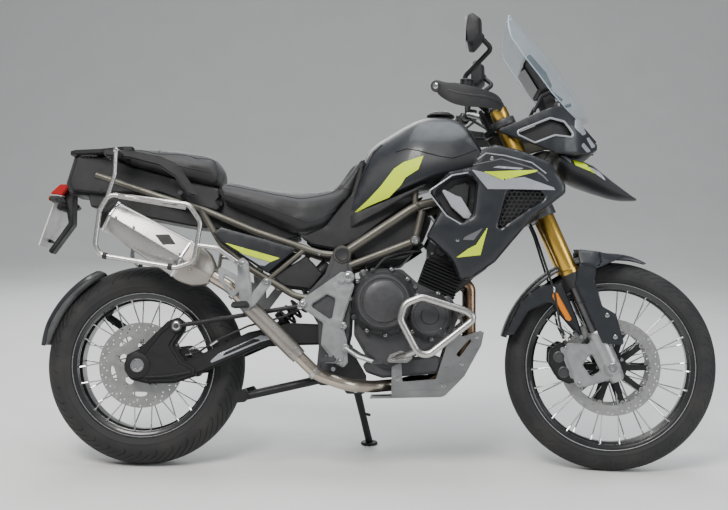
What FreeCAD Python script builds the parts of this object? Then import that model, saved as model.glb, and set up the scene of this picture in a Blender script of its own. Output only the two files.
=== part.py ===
import FreeCAD, Part
import math
import os
import Sketcher
from FreeCAD import Placement, Rotation, Vector

# Adventure motorcycle, modelled upright and then set down as it parks, leaning on its side stand.
# X runs forward from the rear axle, Y to the rider's left and Z up from the ground.

doc = FreeCAD.newDocument("adventure_motorcycle")

# Driving sizes in millimetres and degrees: name, value, what it is.
DRIVING_SIZES = [
    ("wheelbase", 1560, "rear axle to front axle"),
    ("rake", 23.7, "steering axis from the vertical"),
    ("trail", 112, "ground trail of the front wheel"),
    ("lean", 10, "lean on the side stand"),
    ("parked_steer", 6, "how far the front end is turned to the right"),
    ("lift", 1.2, "height that brings the leaning tyres back to the ground"),
    ("origin_x", 774, "middle of the length, from the rear axle"),
    ("origin_y", 213, "middle of the leaning width, from the wheel plane"),
    ("front_tyre_radius", 347.5, ""),
    ("front_tyre_width", 92, ""),
    ("front_crown", 46, "radius of the round crown"),
    ("front_seat_radius", 268, "where the tyre sits on the rim"),
    ("front_rim_width", 66, "between the rim's flanges"),
    ("rear_tyre_radius", 333.5, ""),
    ("rear_tyre_width", 148, ""),
    ("rear_crown", 82, "radius of the round crown"),
    ("rear_seat_radius", 230, "where the tyre sits on the rim"),
    ("rear_rim_width", 112, "between the rim's flanges"),
    ("flange_height", 11, "rim flange above the tyre seat"),
    ("rim_wall", 7, "wall of the rims"),
    ("seat_clearance", 0.2, "between pieces that are fastened together"),
    ("run_clearance", 0.3, "between a shaft and what turns on it"),
    ("spoke_radius", 2.6, ""),
    ("spoke_pairs", 9, "pairs of crossing spokes on each side of a wheel"),
    ("spoke_sweep", 26, "angle that a spoke leans away from the radius"),
    ("front_hub_radius", 24, ""),
    ("front_flange_radius", 38, ""),
    ("front_flange_place", 34, "spoke flange from the wheel plane"),
    ("rear_hub_radius", 40, ""),
    ("rear_flange_radius", 62, ""),
    ("rear_flange_place", 48, "spoke flange from the wheel plane"),
    ("front_disc_radius", 160, ""),
    ("front_disc_place", 66, "disc from the wheel plane"),
    ("rear_disc_radius", 141, ""),
    ("rear_disc_place", 88, "disc from the wheel plane"),
    ("disc_thickness", 5, ""),
    ("axle_radius", 11, ""),
    ("fork_spacing", 104, "leg axis from the wheel plane"),
    ("fork_tube_radius", 29, "gold outer tube"),
    ("fork_slider_radius", 24.5, "bright inner tube"),
    ("fork_tube_low", 338, "lower end of the outer tube, along the leg"),
    ("fork_tube_high", 930, "upper end of the outer tube, along the leg"),
    ("yoke_low", 540, "underside of the lower yoke, along the steering axis"),
    ("yoke_low_height", 46, ""),
    ("yoke_high", 868, "underside of the upper yoke"),
    ("yoke_high_height", 24, ""),
    ("yoke_ring", 39, "radius of the clamps round the fork tubes"),
    ("stem_radius", 17, ""),
    ("head_tube_radius", 31, ""),
    ("head_gap", 3, "bearing shield between a yoke and the head tube"),
    ("frame_tube", 15, "radius of the main tubes"),
    ("subframe_tube", 11, "radius of the rear frame's tubes"),
    ("frame_half", 140, "main tubes from the middle plane"),
    ("pivot_plate_inner", 138, ""),
    ("pivot_plate_thickness", 13, ""),
    ("pivot_x", 628, "swingarm pivot"),
    ("pivot_z", 441, ""),
    ("crankcase_half", 132, "half width of the crankcase"),
    ("crank_x", 802, "centre of the round clutch cover"),
    ("crank_z", 549, ""),
    ("clutch_cover_radius", 92, ""),
    ("clutch_cover_depth", 62, ""),
    ("cover_x", 952, "centre of the lower front cover"),
    ("cover_z", 506, ""),
    ("cover_radius", 70, ""),
    ("cover_depth", 46, ""),
    ("cylinder_half", 118, "half width of the cylinder block"),
    ("fin_gap", 9, "gap between cooling ribs"),
    ("fin_depth", 9, "depth of the gaps"),
    ("fin_count", 6, "gaps between the cooling ribs"),
    ("arm_inner", 102, "inner side of the swingarm's arms"),
    ("arm_outer", 136, "outer side of the swingarm's arms"),
    ("silencer_side", 178, "axis of the silencer from the middle plane"),
    ("silencer_width", 96, ""),
    ("pipe_radius", 20, "link pipe"),
    ("header_radius", 18, ""),
    ("rack_side", 252, "pannier loop from the middle plane"),
    ("rack_tube", 8, ""),
    ("crash_tube", 12, ""),
    ("crash_side", 236, "outermost plane of the crash bars"),
    ("bar_radius", 11, "handlebar"),
    ("grip_radius", 17, ""),
    ("bar_half", 432, "half width of the handlebar"),
    ("lock_angle", 38, "steering lock each way"),
    ("shroud_inner", 178, ""),
    ("shroud_outer", 234, ""),
    ("panel_wall", 5, "wall of the bodywork"),
    ("cowl_half", 154, "half width of the nose"),
    ("screen_wall", 4, ""),
    ("stand_pivot_x", 705, "side stand pivot"),
    ("stand_pivot_y", 170, ""),
    ("stand_pivot_z", 262, ""),
    ("stand_foot_x", 752, "foot of the side stand"),
    ("stand_foot_y", 290, ""),
    ("stand_tube", 13, ""),
    ("centre_pivot_x", 612, "centre stand pivot"),
    ("centre_pivot_z", 296, ""),
    ("centre_half", 98, "legs of the centre stand from the middle plane"),
]

sheet = doc.addObject("Spreadsheet::Sheet", "Sizes")
for row, (alias, value, note) in enumerate(DRIVING_SIZES, start=1):
    sheet.set("A%d" % row, alias)
    sheet.set("B%d" % row, str(value))
    sheet.set("C%d" % row, note)
    sheet.setAlias("B%d" % row, alias)
doc.recompute()


class Size:
    """A number that remembers the sheet expression it comes from."""

    def __init__(self, number, text):
        self.number = float(number)
        self.text = text

    def __float__(self):
        return self.number

    def _join(self, other, sign, number):
        left, right = (self, other)
        return Size(number, "(%s %s %s)" % (wording(left), sign, wording(right)))

    def __add__(self, other):
        return self._join(other, "+", self.number + float(other))

    def __sub__(self, other):
        return self._join(other, "-", self.number - float(other))

    def __mul__(self, other):
        return self._join(other, "*", self.number * float(other))

    def __truediv__(self, other):
        return self._join(other, "/", self.number / float(other))

    def __radd__(self, other):
        return Size(float(other) + self.number, "(%s + %s)" % (wording(other), self.text))

    def __rsub__(self, other):
        return Size(float(other) - self.number, "(%s - %s)" % (wording(other), self.text))

    def __rmul__(self, other):
        return Size(float(other) * self.number, "(%s * %s)" % (wording(other), self.text))

    def __neg__(self):
        return Size(-self.number, "(0 - %s)" % self.text)


def wording(value):
    """The text of a size or a plain number inside an expression."""
    return value.text if isinstance(value, Size) else repr(float(value))


class SheetSizes:
    """Reads the sheet: sizes.wheelbase is the value of that cell, with its expression."""

    def __getattr__(self, alias):
        return Size(sheet.get(alias), "Sizes." + alias)


sizes = SheetSizes()


def bind(target, prop, value):
    """Give a property its value, bound to the sheet where the value comes from there."""
    if isinstance(value, Size):
        target.setExpression(prop, value.text)
    else:
        setattr(target, prop, value)


# Sketches, pads and the like

RIGHT_SIDE = "XZ_Plane"
PLAN = "XY_Plane"
FRONT = "YZ_Plane"


def new_body(name):
    body = doc.addObject("PartDesign::Body", name)
    body.AllowCompound = True
    return body


def drawing(body, plane, height=0):
    """A sketch on one of the body's own planes, moved along the plane's normal by height."""
    sketch = body.newObject("Sketcher::SketchObject", body.Name + "_sketch")
    face = [one for one in body.Origin.OriginFeatures if one.Role == plane][0]
    sketch.AttachmentSupport = [(face, "")]
    sketch.MapMode = "FlatFace"
    if isinstance(height, Size):
        sketch.setExpression(".AttachmentOffset.Base.z", height.text)
    elif height:
        sketch.AttachmentOffset = Placement(Vector(0, 0, height), Rotation())
    return sketch


def fix(sketch, kind, value, *where):
    """A dimension in a sketch, bound to the sheet where its value comes from there."""
    index = sketch.addConstraint(Sketcher.Constraint(kind, *where, float(value)))
    if isinstance(value, Size):
        name = "size_%d" % index
        sketch.renameConstraint(index, name)
        sketch.setExpression("Constraints." + name, value.text)


def polygon(sketch, corners):
    """A closed outline through the corners, each held by its two distances from the origin."""
    first = sketch.GeometryCount
    count = len(corners)
    flat = [Vector(float(a), float(b), 0) for a, b in corners]
    for i in range(count):
        sketch.addGeometry(Part.LineSegment(flat[i], flat[(i + 1) % count]))
    for i in range(count):
        sketch.addConstraint(
            Sketcher.Constraint("Coincident", first + i, 2, first + (i + 1) % count, 1)
        )
        fix(sketch, "DistanceX", corners[i][0], -1, 1, first + i, 1)
        fix(sketch, "DistanceY", corners[i][1], -1, 1, first + i, 1)


def circle(sketch, across, up, radius):
    index = sketch.addGeometry(
        Part.Circle(Vector(float(across), float(up), 0), Vector(0, 0, 1), float(radius))
    )
    fix(sketch, "Radius", radius, index)
    fix(sketch, "DistanceX", across, -1, 1, index, 3)
    fix(sketch, "DistanceY", up, -1, 1, index, 3)


def pad(body, sketch, length, both_sides=False):
    feature = body.newObject("PartDesign::Pad", body.Name + "_pad")
    feature.Profile = sketch
    if both_sides:
        feature.SideType = "Symmetric"
    bind(feature, "Length", length)
    body.Tip = feature
    return feature


def cut_through(body, sketch):
    """A pocket through everything, on both sides of its sketch; it must take material away."""
    doc.recompute()
    before = body.Shape.Volume
    feature = body.newObject("PartDesign::Pocket", body.Name + "_pocket")
    feature.Profile = sketch
    feature.Type = "ThroughAll"
    feature.SideType = "Symmetric"
    body.Tip = feature
    doc.recompute()
    assert body.Shape.Volume < before, body.Name + ": the pocket cuts nothing"
    return feature


def turned(body, plane, corners):
    """A solid of revolution about the drawing's upright axis."""
    sketch = drawing(body, plane)
    polygon(sketch, corners)
    feature = body.newObject("PartDesign::Revolution", body.Name + "_turned")
    feature.Profile = sketch
    feature.ReferenceAxis = (sketch, ["V_Axis"])
    feature.Angle = 360
    body.Tip = feature
    return feature


def flat_plate(name, corners, inner, thickness, holes=(), plane=RIGHT_SIDE):
    """A plate with this side outline, from inner outwards to the right, with holes cut through."""
    body = new_body(name)
    sketch = drawing(body, plane, inner)
    polygon(sketch, corners)
    pad(body, sketch, thickness)
    for hole in holes:
        opening = drawing(body, plane, inner)
        if len(hole) == 3 and not isinstance(hole[0], tuple):
            circle(opening, *hole)
        else:
            polygon(opening, hole)
        cut_through(body, opening)
    return body


def slab(name, corners, half_width, plane=RIGHT_SIDE):
    """A prism with this outline, as far to the left as to the right."""
    body = new_body(name)
    sketch = drawing(body, plane)
    polygon(sketch, corners)
    pad(body, sketch, half_width * 2, both_sides=True)
    return body


def primitive(kind, name, base, turn=None, **lengths):
    """A Part primitive whose sizes are bound to the sheet."""
    item = doc.addObject("Part::" + kind, name)
    for prop, value in lengths.items():
        bind(item, prop, value)
    turn = turn or Rotation()
    item.Placement = Placement(Vector(*[float(v) for v in base]), turn)
    for axis, value in zip("xyz", base):
        if isinstance(value, Size):
            item.setExpression(".Placement.Base." + axis, value.text)
    return item


ALONG_RIGHT = Rotation(Vector(1, 0, 0), 90)


def disc_to_right(name, x, z, radius, inner, depth):
    """A cylinder that stands on a plane at inner and reaches depth further to the right."""
    return primitive(
        "Cylinder", name, (x, -inner, z), ALONG_RIGHT, Radius=radius, Height=depth
    )


def join(name, pieces):
    item = doc.addObject("Part::MultiFuse", name)
    item.Shapes = pieces
    item.Refine = True
    return item


def remove(name, base, tool):
    item = doc.addObject("Part::Cut", name)
    item.Base = base
    item.Tool = tool
    return item


def shared(name, pieces):
    item = doc.addObject("Part::MultiCommon", name)
    item.Shapes = pieces
    return item


def mirror(name, source):
    item = doc.addObject("Part::Mirroring", name)
    item.Source = source
    item.Normal = Vector(0, 1, 0)
    return item


def both_sides(name, right):
    """The right-hand piece and its mirror image, as two solids of one sub-part."""
    item = doc.addObject("Part::Compound", name)
    item.Links = [right, mirror(name + "_left", right)]
    return item


# Tubes and skins of flat faces, which keep the many bent tubes light

TUBE_FLATS = 12
BEND_STEP = 45


def skinned(rings):
    """A solid whose skin joins rings of corners in turn, with end faces unless it closes on itself."""
    faces = []
    if rings[0] != rings[-1]:
        faces = [Part.Face(Part.makePolygon(ring + ring[:1])) for ring in (rings[0], rings[-1])]
    for low, high in zip(rings, rings[1:]):
        for i in range(len(low)):
            k = (i + 1) % len(low)
            quad = [low[i], low[k], high[k], high[i]]
            normal = (quad[1] - quad[0]).cross(quad[3] - quad[0])
            if normal.Length and abs(normal.normalize().dot(quad[2] - quad[0])) < 1e-7:
                panes = [quad]
            else:
                panes = [quad[:3], [quad[0], quad[2], quad[3]]]
            faces += [Part.Face(Part.makePolygon(pane + pane[:1])) for pane in panes]
    solid = Part.Solid(Part.makeShell(faces))
    if solid.Volume < 0:
        solid.reverse()
    return solid


def rounded_path(points, bend):
    """The corners of a route, each wide turn spread over several smaller ones round its bend."""
    spots = [Vector(*[float(v) for v in point]) for point in points]
    path = [spots[0]]
    for before, corner, after in zip(spots, spots[1:], spots[2:]):
        back = (before - corner).normalize()
        ahead = (after - corner).normalize()
        turn = math.pi - back.getAngle(ahead)
        steps = math.ceil(math.degrees(turn) / BEND_STEP)
        if steps < 2:
            path.append(corner)
            continue
        room = 0.48 * min((before - corner).Length, (after - corner).Length)
        reach = min(float(bend) * math.tan(turn / 2), room)
        bend_radius = reach / math.tan(turn / 2)
        centre = corner + (back + ahead).normalize() * (bend_radius / math.cos(turn / 2))
        outward = (corner + back * reach - centre).normalize()
        axis = (-back).cross(ahead).normalize()
        for step in range(steps):
            angle = math.degrees(turn) * (step + 0.5) / steps
            spoke = Rotation(axis, angle).multVec(outward)
            path.append(centre + spoke * (bend_radius / math.cos(turn / steps / 2)))
    return path + [spots[-1]]


def bent_tube(points, radius, bend, flats=TUBE_FLATS):
    """A tube along a route, with flats round it and mitred where it turns."""
    path = rounded_path(points, bend)
    way = (path[1] - path[0]).normalize()
    turn = Rotation(Vector(0, 0, 1), way)
    angles = [2 * math.pi * (k + 0.5) / flats for k in range(flats)]
    spokes = [Vector(math.cos(a), math.sin(a), 0) * float(radius) for a in angles]
    ring = [path[0] + turn.multVec(spoke) for spoke in spokes]
    rings = [ring]
    for i in range(1, len(path)):
        way = (path[i] - path[i - 1]).normalize()
        following = (path[i + 1] - path[i]).normalize() if i + 1 < len(path) else way
        cut = (way + following).normalize()
        ring = [corner + way * ((path[i] - corner).dot(cut) / way.dot(cut)) for corner in ring]
        rings.append(ring)
    if (path[0] - path[-1]).Length < 1e-6:
        rings[-1] = rings[0]
    return skinned(rings)


def straight_bar(start, end, radius, flats=TUBE_FLATS):
    return bent_tube([start, end], radius, 0, flats)


def boss(radius, length, base, direction):
    """A short twelve-sided post from its base along a direction."""
    return straight_bar(base, base + direction.normalize() * float(length), radius)


def ringed(stations, flats, start, direction):
    """A turned form in flats: each station is a distance along the direction and a radius."""
    turn = Rotation(Vector(0, 0, 1), direction)
    angles = [2 * math.pi * (k + 0.5) / flats for k in range(flats)]
    return skinned([
        [start + turn.multVec(Vector(r * math.cos(a), r * math.sin(a), along)) for a in angles]
        for along, r in stations
    ])


def hooped(section, flats):
    """A hoop about the wheel's axis in flats, its section given as radius and place across."""
    rings = []
    for k in range(flats):
        angle = 2 * math.pi * k / flats
        rings.append([Vector(r * math.cos(angle), y, r * math.sin(angle)) for r, y in section])
    return skinned(rings + rings[:1])


def round_bar(start, end, radius):
    """A true cylinder, for what turns in a bore or is clamped round a shaft."""
    start = Vector(*[float(v) for v in start])
    end = Vector(*[float(v) for v in end])
    return Part.makeCylinder(float(radius), (end - start).Length, start, end - start)


def mirrored(shape):
    return shape.mirror(Vector(0, 0, 0), Vector(0, 1, 0))


def fused(shapes):
    whole = shapes[0].multiFuse(shapes[1:])
    return whole.removeSplitter()


def made(name, shape):
    item = doc.addObject("Part::Feature", name)
    item.Shape = shape
    return item


def wire_through(points):
    return Part.makePolygon([Vector(*point) for point in points] + [Vector(*points[0])])


def prism(corners, low, high):
    """A solid with a side outline (x, z), between two planes of y."""
    face = Part.Face(wire_through([(float(x), float(low), float(z)) for x, z in corners]))
    return face.extrude(Vector(0, float(high) - float(low), 0))


# The stance: upright model to parked model

def steering_axis():
    """A point on the ground and the direction of the steering axis on the upright machine."""
    rake = math.radians(float(sizes.rake))
    foot = Vector(float(sizes.wheelbase) + float(sizes.trail), 0, 0)
    return foot, Vector(-math.sin(rake), 0, math.cos(rake))


def parked():
    """Lean to the left about the wheels' line, lift back to the ground, and centre the origin."""
    leaning = Placement(Vector(0, 0, float(sizes.lift)), Rotation(Vector(1, 0, 0), -float(sizes.lean)))
    centring = Placement(Vector(-float(sizes.origin_x), -float(sizes.origin_y), 0), Rotation())
    return centring * leaning


def turned_right():
    """The front end's turn about the steering axis while parked."""
    foot, direction = steering_axis()
    turn = Rotation(direction, -float(sizes.parked_steer))
    return Placement(foot, turn) * Placement(-foot, Rotation())


def fork_frame():
    """Frame of the front end: Z up the steering axis, X forward, level with the front axle."""
    rake = math.radians(float(sizes.rake))
    axle = Vector(float(sizes.wheelbase), 0, float(sizes.front_tyre_radius))
    ahead = Vector(math.cos(rake), 0, math.sin(rake))
    return Placement(axle - ahead * float(fork_lead()), Rotation(Vector(0, 1, 0), -float(sizes.rake)))


def fork_lead():
    """How far the fork legs stand ahead of the steering axis."""
    return sizes.front_tyre_radius * rake_sine() - sizes.trail * rake_cosine()


def rake_sine():
    return Size(math.sin(math.radians(float(sizes.rake))), "sin(Sizes.rake)")


def rake_cosine():
    return Size(math.cos(math.radians(float(sizes.rake))), "cos(Sizes.rake)")


# The outlines before the engine are drawn for this wheelbase and move with the front axle.
DRAWN_WHEELBASE = 1560


def moved_ahead():
    """How far the front axle stands ahead of where the front outlines are drawn for."""
    return Vector(float(sizes.wheelbase) - DRAWN_WHEELBASE, 0, 0)


def between(first, second, share):
    """A spot on the line from the first to the second."""
    return first + (second - first) * share


# Wheels

# Flats round each tyre and rim, which share them so that the tyre's beads sit true on the rim.
WHEEL_FLATS = 48
HUB_FLATS = 16


def tyre_profile(radius, width, crown, seat, between_flanges):
    """Tyre section in flat strips: round crown, bulging side walls, and beads inside the rim."""
    radius, width, crown, seat = (float(v) for v in (radius, width, crown, seat))
    bead = float(between_flanges) / 2 - 0.3
    side = width / 2
    lip = seat + float(sizes.flange_height) + 3
    right = [(radius, side * 0.2)]
    for share in (0.58, 0.9):
        right.append((radius - crown + math.sqrt(crown ** 2 - min(side * share, crown) ** 2), side * share))
    right += [(right[-1][0] * 0.55 + lip * 0.45, side), (lip, bead), (seat, bead)]
    left = [(r, -y) for r, y in reversed(right)]
    return right + left


def tyre(name, end):
    profile = tyre_profile(
        getattr(sizes, end + "_tyre_radius"),
        getattr(sizes, end + "_tyre_width"),
        getattr(sizes, end + "_crown"),
        getattr(sizes, end + "_seat_radius"),
        getattr(sizes, end + "_rim_width"),
    )
    return made(name, hooped(profile, WHEEL_FLATS))


def spoked_rim(name, end, hub_half):
    """Rim, crossing wire spokes and bored hub, fused into the one piece that a laced wheel is."""
    half = float(getattr(sizes, end + "_rim_width")) / 2
    wall = float(sizes.rim_wall)
    outer = float(getattr(sizes, end + "_seat_radius") - sizes.seat_clearance)
    top = outer + float(sizes.flange_height)
    right = [(outer, half), (top, half), (top, half + wall), (outer - wall, half + wall)]
    left = [(r, -y) for r, y in reversed(right)]
    rim = hooped(right + [(outer - wall * 2.4, 0)] + left, WHEEL_FLATS)
    hub_radius = getattr(sizes, end + "_hub_radius")
    flange = getattr(sizes, end + "_flange_radius")
    place = getattr(sizes, end + "_flange_place")
    bore = sizes.axle_radius + sizes.run_clearance
    flange_half = 5
    hub_radius, flange, place, half_hub = (float(v) for v in (hub_radius, flange, place, hub_half))
    steps = [(-half_hub, hub_radius)]
    for side in (-1, 1):
        low, high = side * place - flange_half, side * place + flange_half
        steps += [(low, hub_radius), (low, flange), (high, flange), (high, hub_radius)]
    steps.append((half_hub, hub_radius))
    axis = Vector(0, 1, 0)
    core = Part.makeCylinder(float(bore), 2 * half_hub, Vector(0, -half_hub, 0), axis)
    hub = ringed(steps, HUB_FLATS, Vector(), axis).cut(core)
    reach = outer - wall
    spokes = []
    pairs = int(float(sizes.spoke_pairs))
    for side in (-1, 1):
        for pair in range(pairs):
            for way in (-1, 1):
                hub_angle = 360 / pairs * (pair + side / 4) + way * 7
                rim_angle = hub_angle + way * float(sizes.spoke_sweep)
                inner = on_wheel(float(flange) - 6, hub_angle, side * (float(place) + way * 3))
                outer_end = on_wheel(reach, rim_angle, side * half * 0.55)
                spokes.append(straight_bar(inner, outer_end, sizes.spoke_radius, flats=3))
    return made(name, rim.multiFuse([hub] + spokes))


def on_wheel(radius, angle, across):
    angle = math.radians(angle)
    return Vector(radius * math.cos(angle), across, radius * math.sin(angle))


def flats_round(across, up, radius, flats):
    """Corners of a round outline drawn in flats."""
    angles = [2 * math.pi * k / flats for k in range(flats)]
    return [(across + radius * math.cos(a), up + radius * math.sin(a)) for a in angles]


DISC_FLATS = 40


def brake_disc(name, radius, place, bore, windows, window_band):
    """A flat brake disc on the right of a wheel, with a ring of windows between band and centre."""
    body = new_body(name)
    sketch = drawing(body, RIGHT_SIDE, place - sizes.disc_thickness / 2)
    polygon(sketch, flats_round(0, 0, radius, DISC_FLATS))
    circle(sketch, 0, 0, bore)
    pad(body, sketch, sizes.disc_thickness)
    opening = drawing(body, RIGHT_SIDE, place - sizes.disc_thickness / 2)
    low, high = window_band
    narrow = 150 / windows
    corners = []
    for reach, angle in ((low, -0.6), (low, 0.6), (high, 0.85), (high, -0.85)):
        turn = math.radians(narrow * angle)
        corners.append((reach * math.cos(turn), reach * math.sin(turn)))
    polygon(opening, corners)
    window = cut_through(body, opening)
    ring = body.newObject("PartDesign::PolarPattern", name + "_windows")
    ring.Originals = [window]
    ring.Axis = (opening, ["N_Axis"])
    ring.Angle = 360
    ring.Occurrences = windows
    body.Tip = ring
    return body


def front_discs():
    band = (sizes.front_disc_radius * 0.42, sizes.front_disc_radius * 0.76)
    right = brake_disc("front_disc_right", sizes.front_disc_radius, sizes.front_disc_place,
                       sizes.front_hub_radius + sizes.seat_clearance, 6, band)
    return both_sides("front_discs", right)


def rear_disc():
    return brake_disc("rear_disc", sizes.rear_disc_radius, sizes.rear_disc_place,
                      sizes.rear_hub_radius + sizes.seat_clearance, 5,
                      (sizes.rear_disc_radius * 0.5, sizes.rear_disc_radius * 0.76))


# Front end, in the fork's own frame

def fork_tubes():
    """Gold outer tubes with a smaller cap on top."""
    radius, top = sizes.fork_tube_radius, sizes.fork_tube_high
    steps = [(sizes.fork_tube_low, radius), (top, radius), (top, radius - 9), (top + 10, radius - 9)]
    right = along_fork(steps, CLAMP_FLATS)
    return made("fork_tubes", Part.makeCompound([right, mirrored(right)]))


# Ends of the cast foot of a fork leg, along the leg from the axle.
CASTING_TOP = 128
CASTING_LOW = -34


def along_fork(stations, flats):
    """A form in flats round the right leg, from heights along it and radii."""
    base = Vector(float(fork_lead()), -float(sizes.fork_spacing), 0)
    steps = [(float(height), float(radius)) for height, radius in stations]
    return ringed(steps, flats, base, Vector(0, 0, 1))


def fork_legs():
    """Bright sliders with their dust covers and the castings that hold axle and calipers."""
    lead, side = fork_lead(), sizes.fork_spacing
    top = sizes.fork_tube_low - sizes.seat_clearance
    cover_height = 48
    slider = made("slider", along_fork([(CASTING_TOP - 10, sizes.fork_slider_radius),
                                        (top, sizes.fork_slider_radius)], TUBE_FLATS))
    cover = made("dust_cover", along_fork([(top - cover_height, sizes.fork_slider_radius + 2),
                                           (top, sizes.fork_tube_radius + 2)], TUBE_FLATS))
    casting = made("casting", along_fork([(CASTING_LOW, 25.4), (CASTING_TOP, 31.9)], 8))
    boss_inner = side - 29
    inner_end = Vector(float(lead), -float(boss_inner), 0)
    axle_boss = made("axle_boss", boss(sizes.axle_radius + 16, 56, inner_end, Vector(0, -1, 0)))
    lug = flat_plate("caliper_lug", CALIPER_LUG, sizes.fork_spacing - 18, 22)
    solid = join("fork_leg_solid", [slider, cover, casting, axle_boss, lug])
    bore = disc_to_right("axle_bore", lead, 0, sizes.axle_radius + sizes.seat_clearance, boss_inner - 5, 70)
    return both_sides("fork_legs", remove("fork_leg_right", solid, bore))


# Front caliper in the fork's frame: corners from the upper front one, round the back.
CALIPER = [(-2, 101), (-56, 11), (-138, 56), (-74, 142)]
CALIPER_LUG = [(-1.6, 101), (-55.6, 11), (-50, -8), (5, -30), (37, -24), (37, 118), (12, 116)]


def front_calipers():
    block = flat_plate("caliper_block", CALIPER, 46, 66)
    space = disc_to_right("disc_space", fork_lead(), 0, sizes.front_disc_radius + 6,
                          sizes.front_disc_place - sizes.disc_thickness / 2 - 5, sizes.disc_thickness + 10)
    return both_sides("front_calipers", remove("caliper_right", block, space))


def axle_with_nuts(name, spans, height):
    """A shaft across the machine with its nut and its head: each span runs from y to y at a radius."""
    bars = [straight_bar((0, start, height), (0, end, height), radius) for start, end, radius in spans]
    return made(name, fused(bars))


def front_axle():
    half = float(sizes.fork_spacing) + 29
    face = half - 1.8
    nut = sizes.axle_radius + 6
    return axle_with_nuts("front_axle", [(half, -half, sizes.axle_radius), (-face, -face - 7, nut),
                                         (face + 7, face, nut)], 0)


CLAMP_FLATS = 16


def yoke(name, low, height):
    lead, side = fork_lead(), sizes.fork_spacing
    body = new_body(name)
    plate = drawing(body, PLAN, low)
    polygon(plate, [
        (lead + 20, side), (lead + 12, 30), (lead + 12, -30), (lead + 20, -side),
        (lead - 22, -side), (-34, -28), (-34, 28), (lead - 22, side),
    ])
    pad(body, plate, height)
    rings = drawing(body, PLAN, low)
    bores = drawing(body, PLAN, low)
    to_corner = 1 / math.cos(math.pi / CLAMP_FLATS)
    for clamp in (side, -side):
        polygon(rings, flats_round(lead, clamp, sizes.yoke_ring, CLAMP_FLATS))
        bore = (sizes.fork_tube_radius + sizes.seat_clearance) * to_corner
        polygon(bores, flats_round(lead, clamp, bore, CLAMP_FLATS))
    pad(body, rings, height)
    cut_through(body, bores)
    return body


def fork_yokes():
    """Both yokes on the steering stem."""
    lower = yoke("lower_yoke", sizes.yoke_low, sizes.yoke_low_height)
    upper = yoke("upper_yoke", sizes.yoke_high, sizes.yoke_high_height)
    stem = primitive("Cylinder", "stem", (0, 0, sizes.yoke_low), Radius=sizes.stem_radius,
                     Height=sizes.yoke_high + sizes.yoke_high_height + 8 - sizes.yoke_low)
    risers = []
    for side in (-1, 1):
        foot = Vector(-4, side * 45, float(sizes.yoke_high + sizes.yoke_high_height) - 2)
        risers.append(made("riser", boss(16, 48, foot, Vector(0, 0, 1))))
    solid = join("yokes_solid", [lower, upper, stem] + risers)
    bar = made("bar_space", bar_in_fork_frame(float(sizes.bar_radius) + 3 + float(sizes.seat_clearance)))
    return remove("fork_yokes", solid, bar)


# Handlebar: right half from the middle outwards, on the upright machine.
BAR_ROUTE = [(1146, 0, 1203), (1146, -95, 1203), (1082, -225, 1241), (1004, -432, 1219)]


def bar_shape(radius):
    right = [Vector(*spot) for spot in BAR_ROUTE[1:]]
    left = [Vector(spot.x, -spot.y, spot.z) for spot in reversed(right)]
    return bent_tube(left + right, radius, 90)


def bar_in_fork_frame(radius):
    short = [Vector(1146, 75, 1203), Vector(1146, -75, 1203)]
    shape = round_bar(short[0], short[1], radius)
    shape.Placement = fork_frame().inverse() * Placement(moved_ahead(), Rotation()) * shape.Placement
    return shape


def handlebar():
    bar = bar_shape(float(sizes.bar_radius))
    middle = straight_bar((1146, 72, 1203), (1146, -72, 1203), float(sizes.bar_radius) + 3)
    return made("handlebar", bar.fuse(middle))


def along_grip(share, off=0.0):
    """A spot on the right-hand straight end of the bar; 0 at its inner bend and 1 at its tip."""
    start, end = (Vector(*spot) for spot in BAR_ROUTE[-2:])
    return start + (end - start) * share + Vector(off, 0, 0)


def grips():
    outer = straight_bar(along_grip(0.42), along_grip(0.995), sizes.grip_radius)
    inner = round_bar(along_grip(0.3), along_grip(1.1), sizes.bar_radius + sizes.seat_clearance)
    right = outer.cut(inner)
    return made("grips", Part.makeCompound([right, mirrored(right)]))


def hand_controls():
    """Switch boxes, lever perches with their levers, and the fluid cups."""
    box = straight_bar(along_grip(0.26), along_grip(0.415), 21)
    cup = boss(19, 30, along_grip(0.32) + Vector(28, 0, 4), Vector(0.15, 0, 1))
    perch = straight_bar(along_grip(0.31), along_grip(0.31) + Vector(46, 0, 2), 11)
    lever = bent_tube([along_grip(0.31) + Vector(44, 6, 2), along_grip(0.5) + Vector(58, 0, 2),
                       along_grip(0.98) + Vector(50, 0, -2)], 6.5, 60)
    bore = round_bar(along_grip(0.1), along_grip(0.8), sizes.bar_radius + sizes.seat_clearance)
    right = fused([box, cup, perch, lever]).cut(bore)
    return made("hand_controls", Part.makeCompound([right, mirrored(right)]))


# Handguard in plan: outer line from the bar's tip round the hand, x and distance from the middle.
GUARD_LINE = [(1000, 446), (1060, 458), (1130, 446), (1178, 400), (1192, 330), (1180, 250)]


GUARD_SIDE = [(985, 1196), (1020, 1228), (1104, 1214), (1200, 1190), (1200, 1153), (1108, 1150), (1029, 1178)]


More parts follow.
